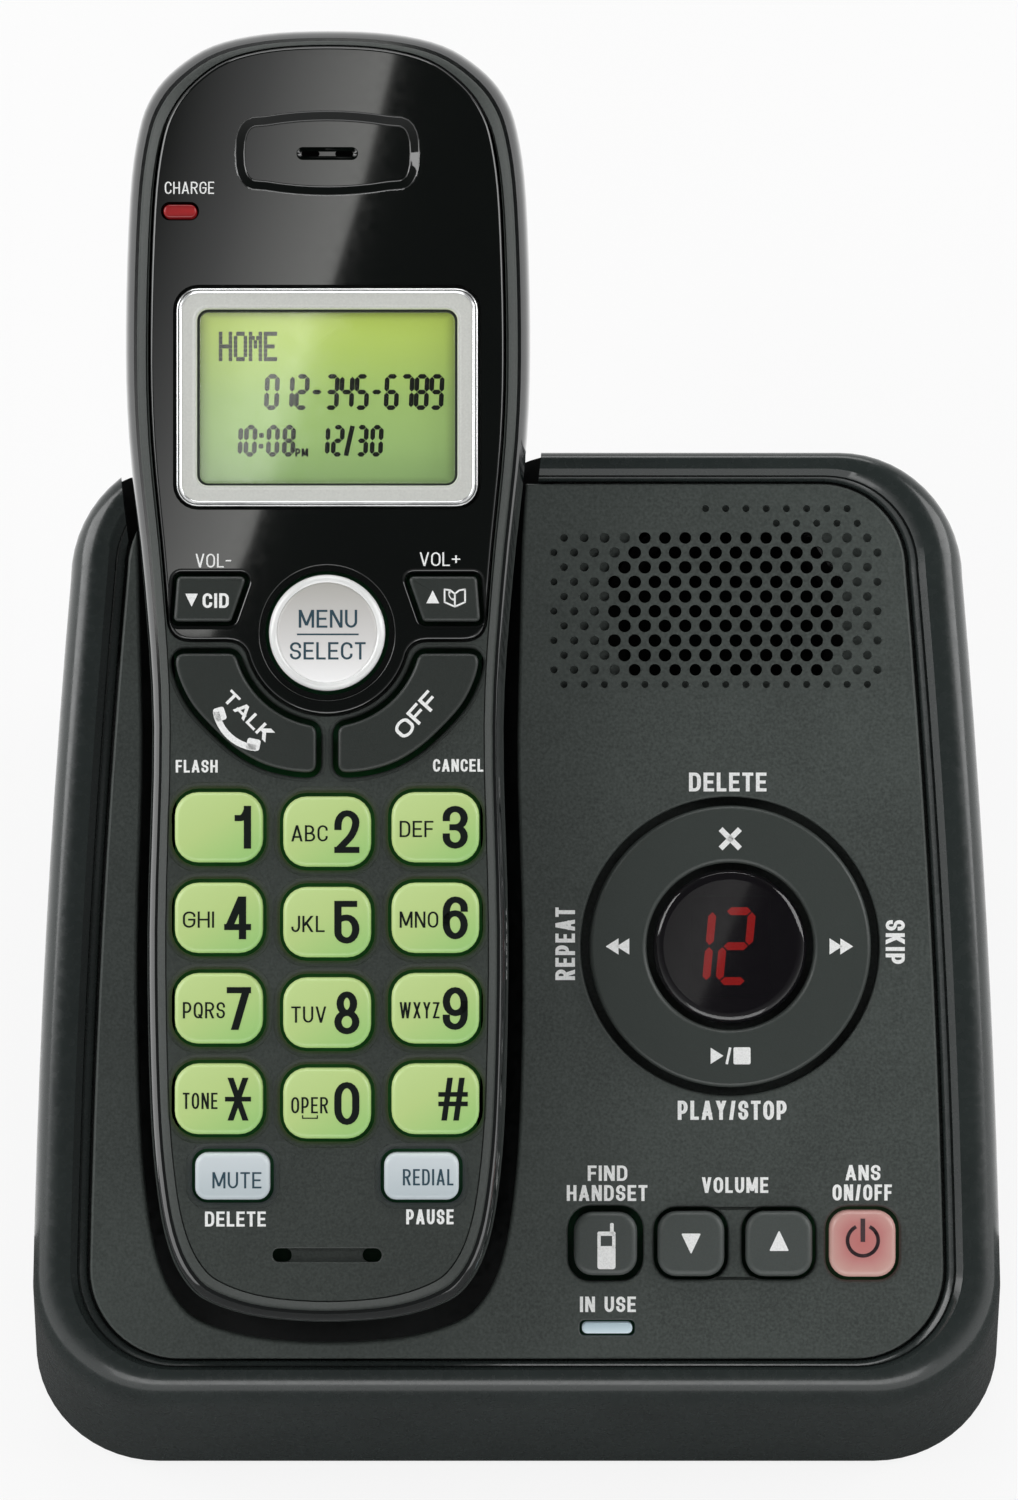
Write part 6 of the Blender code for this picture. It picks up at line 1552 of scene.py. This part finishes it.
def make_display():
    """Silver bezel with its chrome edge, clear window and green display with its figures."""
    floor, top = -PLATE_THICKNESS, LCD_BEZEL_PROUD
    outer = rounded(0, LCD_Y, LCD_BEZEL_WIDTH, LCD_BEZEL_LENGTH, LCD_BEZEL_RADIUS)
    gap = 2 * SEAT_GAP
    hole = rounded(0, LCD_Y, LCD_LENS_WIDTH + gap, LCD_LENS_LENGTH + gap, LCD_LENS_RADIUS + SEAT_GAP)
    edge = ((0.0, 0.0007), (0.00003, 0.0005), (0.0001, 0.00034), (0.00024, 0.00026), (0.0003, 0.0003),
            (0.00036, 0.00024), (0.00046, 0.00008), (0.00058, 0.0), (0.00068, 0.00004), (0.00076, 0.00016))
    rings = [lifted(offset(outer, -edge[-1][0]), floor), lifted(outer, floor)]
    rings += [lifted(offset(outer, -across), top - down) for across, down in edge]
    inner = offset(outer, -edge[-1][0] + SEAT_GAP / 10)
    face = [lifted(hole, floor), lifted(inner, floor), lifted(inner, top - 0.0001)]
    face += [lifted(offset(hole, out), top - down)
             for out, down in ((0.00045, 0.0001), (0.0003, 0.00003), (0.00012, 0.00006))]
    face.append(lifted(hole, top - 0.00028))
    finish("silver_bezel", [(loft(rings, loop=True), CHROME), (loft(face, loop=True), SILVER)], HANDSET_PLACE,
           "handset", ["lcd_bezel"])
    lens = rounded(0, LCD_Y, LCD_LENS_WIDTH, LCD_LENS_LENGTH, LCD_LENS_RADIUS)
    clear, tree, shader = new_look("clear lens", (0.9, 0.93, 0.9), 0.04, Alpha=0.07, Metallic=1.0)
    tree.links.new(spread(tree, noise(tree, 500, 2.0), 0.03, 0.07), shader.inputs["Roughness"])
    finish("clear_lens", [(key_cap(lens, floor, -LCD_LENS_DEPTH, 0.0002), clear)], HANDSET_PLACE, "handset",
           ["lcd_window"])
    make_display_figures()


LCD_FACE_DEPTH = 0.0029
LCD_BODY_THICKNESS = 0.002
NUMBER_Y = 0.10775
NUMBER_LEFT = -0.00645
NUMBER_PITCH = 0.001733
NUMBER_WIDTH = 0.00117
NUMBER_HEIGHT = 0.00362
TIME_Y = 0.1021
TIME_HEIGHT = 0.00314
TIME_WIDTH = 0.00098
TIME_PLACES = (-0.01059, -0.00894, -0.00769, -0.00633, -0.00449)
DATE_PLACES = (-0.00049, 0.00118, 0.0025, 0.00395, 0.00568)
FIGURE_BAR = 0.00054
FIGURE_SLANT = 0.045
PM_X, PM_Y, PM_WIDTH, PM_HEIGHT = -0.003, 0.10075, 0.0015, 0.00095
DOT_TOP_Y = 0.1145
DOT_LEFT = -0.0124
DOT_PITCH = 0.000285
DOT_WIDTH = 0.00041
DOT_ROW_PITCH = 0.00049
DOT_LETTERS = (("10001", "10001", "10001", "11111", "10001", "10001", "10001"),
               ("01110", "10001", "10001", "10001", "10001", "10001", "01110"),
               ("10001", "11011", "10101", "10101", "10001", "10001", "10001"),
               ("11111", "10000", "10000", "11110", "10000", "10000", "11111"))


def figures(text, places, y, width, height):
    """A line of seven-segment figures with colons and slashes, each in its place."""
    outlines = []
    for sign, x in zip(text, places):
        if sign in SEGMENTS:
            outlines += digit(sign, x, y, width, height, FIGURE_BAR, FIGURE_SLANT, FIGURE_BAR / 14)
        elif sign == ":":
            outlines += [rounded(x + up * FIGURE_SLANT, y + up, FIGURE_BAR, FIGURE_BAR, FIGURE_BAR / 5, 2)
                         for up in (-height / 5, height / 5)]
        elif sign == "/":
            outlines += strokes([(x - height / 9, y - height / 2), (x + height / 9, y + height / 2)], FIGURE_BAR)
    return outlines


def make_display_figures():
    """The display module: green face, dark figures of a plain number, time and date."""
    top = -LCD_FACE_DEPTH
    width, length = LCD_BEZEL_WIDTH, LCD_BEZEL_LENGTH
    body = prisms([rounded(0, LCD_Y, width, length, LCD_LENS_RADIUS)], top - LCD_BODY_THICKNESS, top)
    number = "012-345-6789"
    marks = figures(number, [NUMBER_LEFT + i * NUMBER_PITCH for i in range(len(number))], NUMBER_Y, NUMBER_WIDTH,
                    NUMBER_HEIGHT)
    marks += figures("10:08", TIME_PLACES, TIME_Y, TIME_WIDTH, TIME_HEIGHT)
    marks += figures("12/30", DATE_PLACES, TIME_Y, TIME_WIDTH, TIME_HEIGHT)
    dots = ([], [])
    for i, letter in enumerate(DOT_LETTERS):
        for row, line in enumerate(letter):
            for column, dot in enumerate(line):
                if dot == "1":
                    x = DOT_LEFT + i * NUMBER_PITCH + column * DOT_PITCH
                    dots[column % 2].append(rounded(x, DOT_TOP_Y - row * DOT_ROW_PITCH, DOT_WIDTH,
                                                    DOT_ROW_PITCH * 0.96, DOT_WIDTH / 9, 1))
    small = lettering("PM", PM_X, PM_Y, PM_WIDTH, PM_HEIGHT, 0.24, surface=top)
    figures_mesh = gather([(ink(marks + dots[0], top), None), (ink(dots[1], top + INK_STEP), None), (small, None)])
    stops = ((0.0, (0.37, 0.58, 0.22)), (0.5, (0.44, 0.65, 0.195)), (1.0, (0.66, 0.85, 0.15)))
    green, tree, shader = new_look("display green", (0.36, 0.5, 0.12), 0.5, Emission_Strength=0.35)
    place = tree.nodes.new('ShaderNodeTexCoord')
    fit = tree.nodes.new('ShaderNodeMapping')
    fit.vector_type = 'TEXTURE'
    fit.inputs["Location"].default_value = HANDSET_PLACE @ Vector((0, LCD_Y, 0))
    fit.inputs["Rotation"].default_value = (SLOPE, 0, 0)
    fit.inputs["Scale"].default_value = (LCD_LENS_WIDTH / 2, LCD_LENS_LENGTH / 2, 1.0)
    split = tree.nodes.new('ShaderNodeSeparateXYZ')
    tree.links.new(place.outputs["Object"], fit.inputs["Vector"])
    tree.links.new(fit.outputs["Vector"], split.inputs["Vector"])
    rise = reckon(tree, 'MULTIPLY_ADD', split.outputs["Y"], 0.5, 0.5)
    # Painted shade: the face darkens towards the edges of the window, where the bezel stands over it.
    rim = reckon(tree, 'MAXIMUM', reckon(tree, 'ABSOLUTE', split.outputs["X"]),
                 reckon(tree, 'ABSOLUTE', split.outputs["Y"]))
    dark = reckon(tree, 'SMOOTH_MIN', 1.0, reckon(tree, 'MULTIPLY_ADD', rim, -6.5, 7.0), 0.3)
    for socket, part in (("Base Color", 0.65), ("Emission Color", 1.0)):
        shade = ramp(tree, rise, [(at, tint(color, part)) for at, color in stops])
        mix = tree.nodes.new('ShaderNodeMix')
        mix.data_type = 'RGBA'
        mix.inputs["A"].default_value = (0.06, 0.08, 0.03, 1.0)
        tree.links.new(dark, mix.inputs["Factor"])
        tree.links.new(shade, mix.inputs["B"])
        tree.links.new(mix.outputs["Result"], shader.inputs[socket])
    finish("display_module", [(body, green), (figures_mesh, SEGMENT_INK)], HANDSET_PLACE, "handset",
           ["lcd_module"])


def make_dial_keys():
    """The twelve dial keys, lit green and painted lighter at the upper left and darker at the lower right of each,
    with their figures and letters.
    """
    for index, (name, figure, width, letters, run) in enumerate(DIAL_KEYS):
        x, y = dial_place(index % 3 - 1, index // 3)
        cap = key_cap(dial_outline(index), -KEY_FOOT, KEY_PROUD - DIAL_DOME, KEY_EDGE, DIAL_DOME)
        weight = DIGIT_WEIGHT if figure.isdigit() else SIGN_WEIGHT
        marks = [(lettering(figure, x + DIAL_WIDTH / 2 - DIGIT_RIGHT - width / 2, y, width, DIGIT_HEIGHT, weight,
                            surface=KEY_PROUD), None)]
        if letters:
            marks.append((lettering(letters, x - DIAL_WIDTH / 2 + LETTER_LEFT + run / 2, y - 0.0002, run,
                                    LETTER_HEIGHT, LETTER_WEIGHT, surface=KEY_PROUD), None))
        if figure == "0":
            rail = [(x - 0.0028, y - 0.0014), (x - 0.0028, y - 0.0017), (x - 0.0011, y - 0.0017),
                    (x - 0.0011, y - 0.0014)]
            marks.append((ink(strokes(rail, RAIL_WIDTH), KEY_PROUD), None))
        # The glow value paints light and shade: lighter at each key's upper left, darker at its lower right.
        finish(name + "_cap", [(cap, KEY_GREEN), (gather(marks), DARK_INK)], HANDSET_PLACE, name, [name],
               glow=lambda p, x=x, y=y: 0.5 + (p.x - x) / DIAL_WIDTH * 0.45 - (p.y - y) / DIAL_LENGTH * 0.55)


SMALL_KEY_LABEL_HEIGHT = 0.00187
MENU_LABEL_WEIGHT = 0.14


def make_small_keys():
    """Mute and redial keys, painted lighter at the top and darker at the bottom, and the round menu key, whose face is
    painted dark at the top and white at the bottom as painted shade and a painted highlight.
    """
    small = small_key_outline()
    for name, outline, text, x, y, width in (
            ("mute_key", small, "MUTE", -0.01037, 0.01665, 0.00565),
            ("redial_key", mirrored(small), "REDIAL", 0.01168, 0.017, 0.00583)):
        cap = key_cap(outline, -KEY_FOOT, KEY_PROUD, KEY_EDGE)
        label = lettering(text, x, y, width, SMALL_KEY_LABEL_HEIGHT, LETTER_WEIGHT, surface=KEY_PROUD)
        # The glow value paints these keys lighter at the top and darker at the bottom: painted light and shade.
        finish(name + "_cap", [(cap, KEY_PEARL), (label, BLUE_INK)], HANDSET_PLACE, name, [name],
               glow=lambda p: 0.5 - (p.y - SMALL_KEY_Y) / SMALL_KEY_LENGTH)
    top = MENU_PROUD
    face = top - 0.00012
    rim = lathe([(MENU_RADIUS - 0.0014, -KEY_FOOT), (MENU_RADIUS, -KEY_FOOT), (MENU_RADIUS, top - 0.0006),
                 (MENU_RADIUS - 0.0001, top - 0.0003), (MENU_RADIUS - 0.0003, top - 0.00008),
                 (MENU_RADIUS - 0.0005, top), (MENU_FACE_RADIUS + 0.0002, top), (MENU_FACE_RADIUS, top - 0.0001),
                 (MENU_FACE_RADIUS, top - 0.0006)], y=MENU_Y, loop=True)
    disc = lathe([(0.0, top - 0.0012), (MENU_FACE_RADIUS - 0.00002, top - 0.0012),
                  (MENU_FACE_RADIUS - 0.00002, face - 0.0001), (MENU_FACE_RADIUS * 0.96, face),
                  (MENU_FACE_RADIUS * 0.5, face), (0.0, face)], y=MENU_Y)
    marks = gather([(lettering("MENU", 0.00012, 0.0814, 0.00674, 0.00206, MENU_LABEL_WEIGHT, surface=face), None),
                    (lettering("SELECT", 0.0001, 0.0777, 0.00873, 0.002, MENU_LABEL_WEIGHT, surface=face), None),
                    (ink(strokes([(-0.0034, 0.0796), (0.0036, 0.0796)], 0.00019), face), None)])
    # The glow value paints the menu face dark at the top and white at the bottom: painted shade and a painted
    # highlight.
    finish("menu_key_cap", [(rim, MENU_RIM), (disc, MENU_SILVER), (marks, BLUE_INK)], HANDSET_PLACE, "menu_key",
           ["menu_key"], glow=lambda p: 0.5 - (p.y - MENU_Y) / MENU_FACE_RADIUS * 0.5)


def receiver(x, y, turn, size):
    """A slender telephone receiver as outlines: a bowed grip with a lump up from each end."""
    reach, sag, thick = size / 2, size * 0.17, size * 0.12
    radius = (reach ** 2 + sag ** 2) / (2 * sag)
    lean = math.degrees(math.asin(reach / radius))
    grip = arc(0, radius, radius + thick / 2, 270 - lean, 270 + lean, 12)
    grip += arc(0, radius, radius - thick / 2, 270 + lean, 270 - lean, 12)
    lumps = [turned_outline(rounded(0, 0, size * 0.25, size * 0.21, size * 0.045, 3), side * lean * 0.8,
                            side * reach * 0.84, sag * 1.1) for side in (-1, 1)]
    return [turned_outline(part, turn, x, y) for part in [grip] + lumps]


def book(x, y):
    """An open book as strokes."""
    wide, tall, line = 0.00118, 0.0016, 0.0002
    marks = []
    for side in (-1, 1):
        page = [(x, y - tall * 0.62), (x + side * wide, y - tall * 0.3), (x + side * wide, y + tall * 0.62),
                (x + side * wide * 0.45, y + tall * 0.56), (x, y + tall * 0.3), (x, y - tall * 0.62)]
        marks += strokes(page, line)
    return marks


def make_dark_keys():
    """Talk, off, call list and phone book keys with their white marks."""
    arrow, talk = arrow_key_outline(), talk_key_outline()
    level, bold = KEY_PROUD, 0.2
    down = [(ink([triangle(-0.01562, 0.08355, 0.00146, 0.0015, 180)], level), None),
            (lettering("CID", -0.01284, 0.0835, 0.00302, 0.00169, bold, surface=level), None)]
    up = [(ink([triangle(0.0122, 0.08394, 0.00148, 0.0015)] + book(0.01475, 0.0838)
               + receiver(0.01416, 0.08395, -62, 0.0011), level), None)]
    on = [(lettering("TALK", -0.00905, 0.0702, 0.0071, 0.0016, 0.22, -45, level), None),
          (ink(receiver(-0.0112, 0.0678, -42, 0.0062), level), None)]
    off = [(lettering("OFF", 0.0103, 0.0703, 0.0061, 0.002, bold, 48, level), None)]
    for name, outline, marks in (("call_list_key", arrow, down), ("phone_book_key", mirrored(arrow), up),
                                 ("talk_key", talk, on), ("off_key", mirrored(talk), off)):
        cap = key_cap(outline, -KEY_FOOT, level, KEY_EDGE * 0.7)
        finish(name + "_cap", [(cap, KEY_SATIN), (gather(marks), WHITE_INK)], HANDSET_PLACE, name,
               [name])


# Words on the handset: text, middle, width, height, weight and the depth of their surface
HANDSET_LABELS = (
    ("VOL-", -0.01313, 0.08813, 0.0041, 0.00159, 0.12, 0.0),
    ("VOL+", 0.01303, 0.0883, 0.00468, 0.00159, 0.12, 0.0),
    ("CHARGE", -0.0159, 0.1312, 0.0057, 0.0014, 0.115, 0.0),
    ("FLASH", -0.01506, 0.0644, 0.00484, 0.00146, 0.19, FRONT_FACE_DEPTH),
    ("CANCEL", 0.01513, 0.0645, 0.0058, 0.00145, 0.19, FRONT_FACE_DEPTH),
    ("DELETE", -0.01058, 0.01214, 0.00702, 0.00173, 0.19, FRONT_FACE_DEPTH),
    ("PAUSE", 0.01187, 0.01239, 0.00547, 0.00173, 0.19, FRONT_FACE_DEPTH),
)


def make_handset_labels():
    """The white words on the faceplate and the front shell, and the charge light."""
    labels = [lettering(text, x, y, width, height, weight, surface=-depth)
              for text, x, y, width, height, weight, depth in HANDSET_LABELS]
    finish("handset_print", [(merged(labels), WHITE_INK)], HANDSET_PLACE, "handset")
    lens = key_cap(light_outline(), -PLATE_THICKNESS * 2, 0.0, CHARGE_LIGHT_LENGTH / 6)
    finish("charge_lens", [(lens, CHARGE_RED)], HANDSET_PLACE, "handset", ["charge_light"],
           glow=lambda p: abs(p.y - CHARGE_LIGHT_Y) / CHARGE_LIGHT_LENGTH * 1.6)


CAD_LOOKS = {
    "bottom_cover": COVER_GRAIN, "foot_front_left": RUBBER, "foot_front_right": RUBBER, "foot_back_left": RUBBER,
    "foot_back_right": RUBBER, "line_socket": SOCKET_CREAM, "power_socket": SOCKET_BLACK,
    "charge_spring_left": GOLD, "charge_spring_right": GOLD, "charge_contact_left": STEEL,
    "charge_contact_right": STEEL, "base_circuit_board": BOARD_GREEN, "handset_circuit_board": BOARD_GREEN,
    "loudspeaker": CONE_BLACK, "earpiece_speaker": CONE_BLACK, "microphone": STEEL, "battery_pack": CELL_SLEEVE,
    "tilt_ring": RING_SATIN,
}


def dress_nodes():
    """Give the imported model's own shapes their finishes."""
    for name, look in CAD_LOOKS.items():
        node = NODES[name]
        node.data.materials.clear()
        node.data.materials.append(look)


# Stage, lights and camera

VIEW_X = -0.0009
VIEW_Y = 0.0852
VIEW_HEIGHT = 0.17577
VIEW_TILT = math.radians(0.5)
CAMERA_DISTANCE = 1.0
SENSOR = 36.0
EYE = (VIEW_X, VIEW_Y - CAMERA_DISTANCE * math.sin(VIEW_TILT), CAMERA_DISTANCE * math.cos(VIEW_TILT))


FLOOR_REACH = 3.0
FLOOR_SHARE = 0.86


def make_stage():
    """A pale floor that keeps the object's shadow and looks white."""
    floor = bpy.data.meshes.new("floor")
    corners = [(x * FLOOR_REACH, y * FLOOR_REACH, 0) for x, y in ((-1, -1), (1, -1), (1, 1), (-1, 1))]
    floor.from_pydata(corners, [], [(0, 1, 2, 3)])
    look, tree, shader = new_look("pale floor", (0.86, 0.86, 0.86), 0.9)
    path = put(tree, 'ShaderNodeLightPath')
    seen = reckon(tree, 'MAXIMUM', path.outputs["Is Camera Ray"], path.outputs["Is Glossy Ray"])
    seen = reckon(tree, 'MAXIMUM', seen, path.outputs["Is Transmission Ray"])
    white, mix = put(tree, 'ShaderNodeEmission', Strength=1.0), put(tree, 'ShaderNodeMixShader')
    tree.links.new(reckon(tree, 'MULTIPLY', seen, FLOOR_SHARE), mix.inputs["Fac"])
    tree.links.new(shader.outputs["BSDF"], mix.inputs[1])
    tree.links.new(white.outputs["Emission"], mix.inputs[2])
    tree.links.new(mix.outputs["Shader"], tree.nodes["Material Output"].inputs["Surface"])
    floor.materials.append(look)
    placed("floor", floor)


def make_room():
    """A room that is white at the horizon and dark overhead, for all rays."""
    world = bpy.data.worlds.new("room")
    bpy.context.scene.world = world
    world.use_nodes = True
    tree = world.node_tree
    where = tree.nodes.new('ShaderNodeTexCoord')
    split = tree.nodes.new('ShaderNodeSeparateXYZ')
    tree.links.new(where.outputs["Generated"], split.inputs["Vector"])
    sky = ramp(tree, split.outputs["Z"], ((0.0, (1.0, 1.0, 1.0)), (0.3, (0.85, 0.85, 0.85)), (0.55, (0.3, 0.3, 0.3)),
                                          (0.8, (0.1, 0.1, 0.1)), (0.95, (0.05, 0.05, 0.05))))
    tree.links.new(sky, tree.nodes["Background"].inputs["Color"])


# The edges of the soft boxes as the flat glossy faces mirror them: points on the face, then the face's height
MIRROR_EDGES = (
    ("tall box", ((-0.0137, 0.1671), (-0.0177, 0.1506), (-0.021, 0.1398), (-0.0309, 0.1087), (-0.0354, 0.0981)),
     HANDSET_FACE, 0.026, 2.0),
    ("small box", ((0.0277, 0.0735), (0.0277, 0.0704), (0.02135, 0.0552), (0.0195, 0.052)), 0.0, 0.02, 0.5),
)
BOX_HEIGHT = 1.0


def make_soft_boxes():
    """Dim soft boxes over the camera, brightest along one edge, for the glossy faces to mirror."""
    for name, edge, level, reach, power in MIRROR_EDGES:
        stretch = (BOX_HEIGHT - level) / (EYE[2] - level)
        verts = [((x - back - EYE[0]) * stretch + x - back, (y - EYE[1]) * stretch + y, BOX_HEIGHT)
                 for back in (reach, 0.0) for x, y in edge]
        count = len(edge)
        mesh = bpy.data.meshes.new(name)
        mesh.from_pydata(verts, [], [(i, i + 1, count + i + 1, count + i) for i in range(count - 1)])
        mark_points(mesh, "glow", [0.0] * count + [1.0] * count)
        mesh.transform(PANEL_PLACE)
        look, tree, shader = new_look(name, (0.0, 0.0, 0.0), 1.0, Emission_Strength=power)
        shade = ramp(tree, own_glow(tree), ((0.0, (0.0, 0.0, 0.0)), (0.45, (0.35, 0.35, 0.35)),
                                            (1.0, (1.0, 1.0, 0.97))))
        tree.links.new(shade, shader.inputs["Emission Color"])
        mesh.materials.append(look)
        box = placed(name, mesh)
        box.visible_camera = False


def make_dark_card():
    """A dark card on the floor before the object, which only mirrors see: a painted dark reflection in the glossy
    walls, standing in for shade on the floor next to the object.
    """
    mesh = bpy.data.meshes.new("dark card")
    wide, near, far, up = 0.12, -0.045, -0.15, 0.0004
    mesh.from_pydata([(-wide, far, up), (wide, far, up), (wide, near, up), (-wide, near, up)], [], [(0, 1, 2, 3)])
    look, tree, shader = new_look("dark card", (0.12, 0.12, 0.12), 0.9)
    tree.links.new(ramp(tree, noise(tree, 20), ((0.3, (0.11, 0.11, 0.11)), (0.7, (0.13, 0.13, 0.13)))),
                   shader.inputs["Base Color"])
    mesh.materials.append(look)
    card = placed("dark card", mesh)
    card.visible_camera = card.visible_diffuse = card.visible_shadow = False


# Soft lamps that face the object: name, place, size and power
LAMPS = (
    ("left lamp", (-0.75, 0.1, 0.55), (0.5, 0.7), 4.0), ("right lamp", (0.75, 0.1, 0.55), (0.5, 0.7), 3.5),
    ("front lamp", (0.0, -0.9, 0.35), (0.8, 0.35), 1.9), ("back lamp", (0.0, 0.8, 0.7), (0.8, 0.4), 3.0),
)
LAMP_AIM = (0, 0, 0.03)


def make_lamps():
    """Soft lamps: left, right, front and back."""
    for name, place, size, power in LAMPS:
        lamp = bpy.data.lights.new(name, 'AREA')
        lamp.shape = 'RECTANGLE'
        lamp.size, lamp.size_y = size
        lamp.energy = power
        shown = placed(name, lamp)
        shown.location = place
        shown.rotation_euler = (Vector(LAMP_AIM) - Vector(place)).to_track_quat('-Z', 'Y').to_euler()


def make_camera():
    """The photograph's view: almost square to the panel, from a metre away."""
    camera = bpy.data.cameras.new("camera")
    camera.sensor_width = SENSOR
    camera.lens = SENSOR * CAMERA_DISTANCE / VIEW_HEIGHT
    camera.clip_end = 10.0
    shown = placed("camera", camera)
    shown.matrix_world = PANEL_PLACE @ Matrix.Translation(EYE) @ Matrix.Rotation(VIEW_TILT, 4, 'X')
    bpy.context.scene.camera = shown
    bpy.context.scene.view_settings.view_transform = 'Standard'


for make in (make_housing, make_trough, make_panel, make_panel_labels, make_ring, make_message_display,
             make_base_keys, make_rear_shell, make_front_shell, make_faceplate, make_display, make_dial_keys,
             make_small_keys, make_dark_keys, make_handset_labels, dress_nodes, make_stage, make_room,
             make_soft_boxes, make_dark_card, make_lamps, make_camera):
    make()
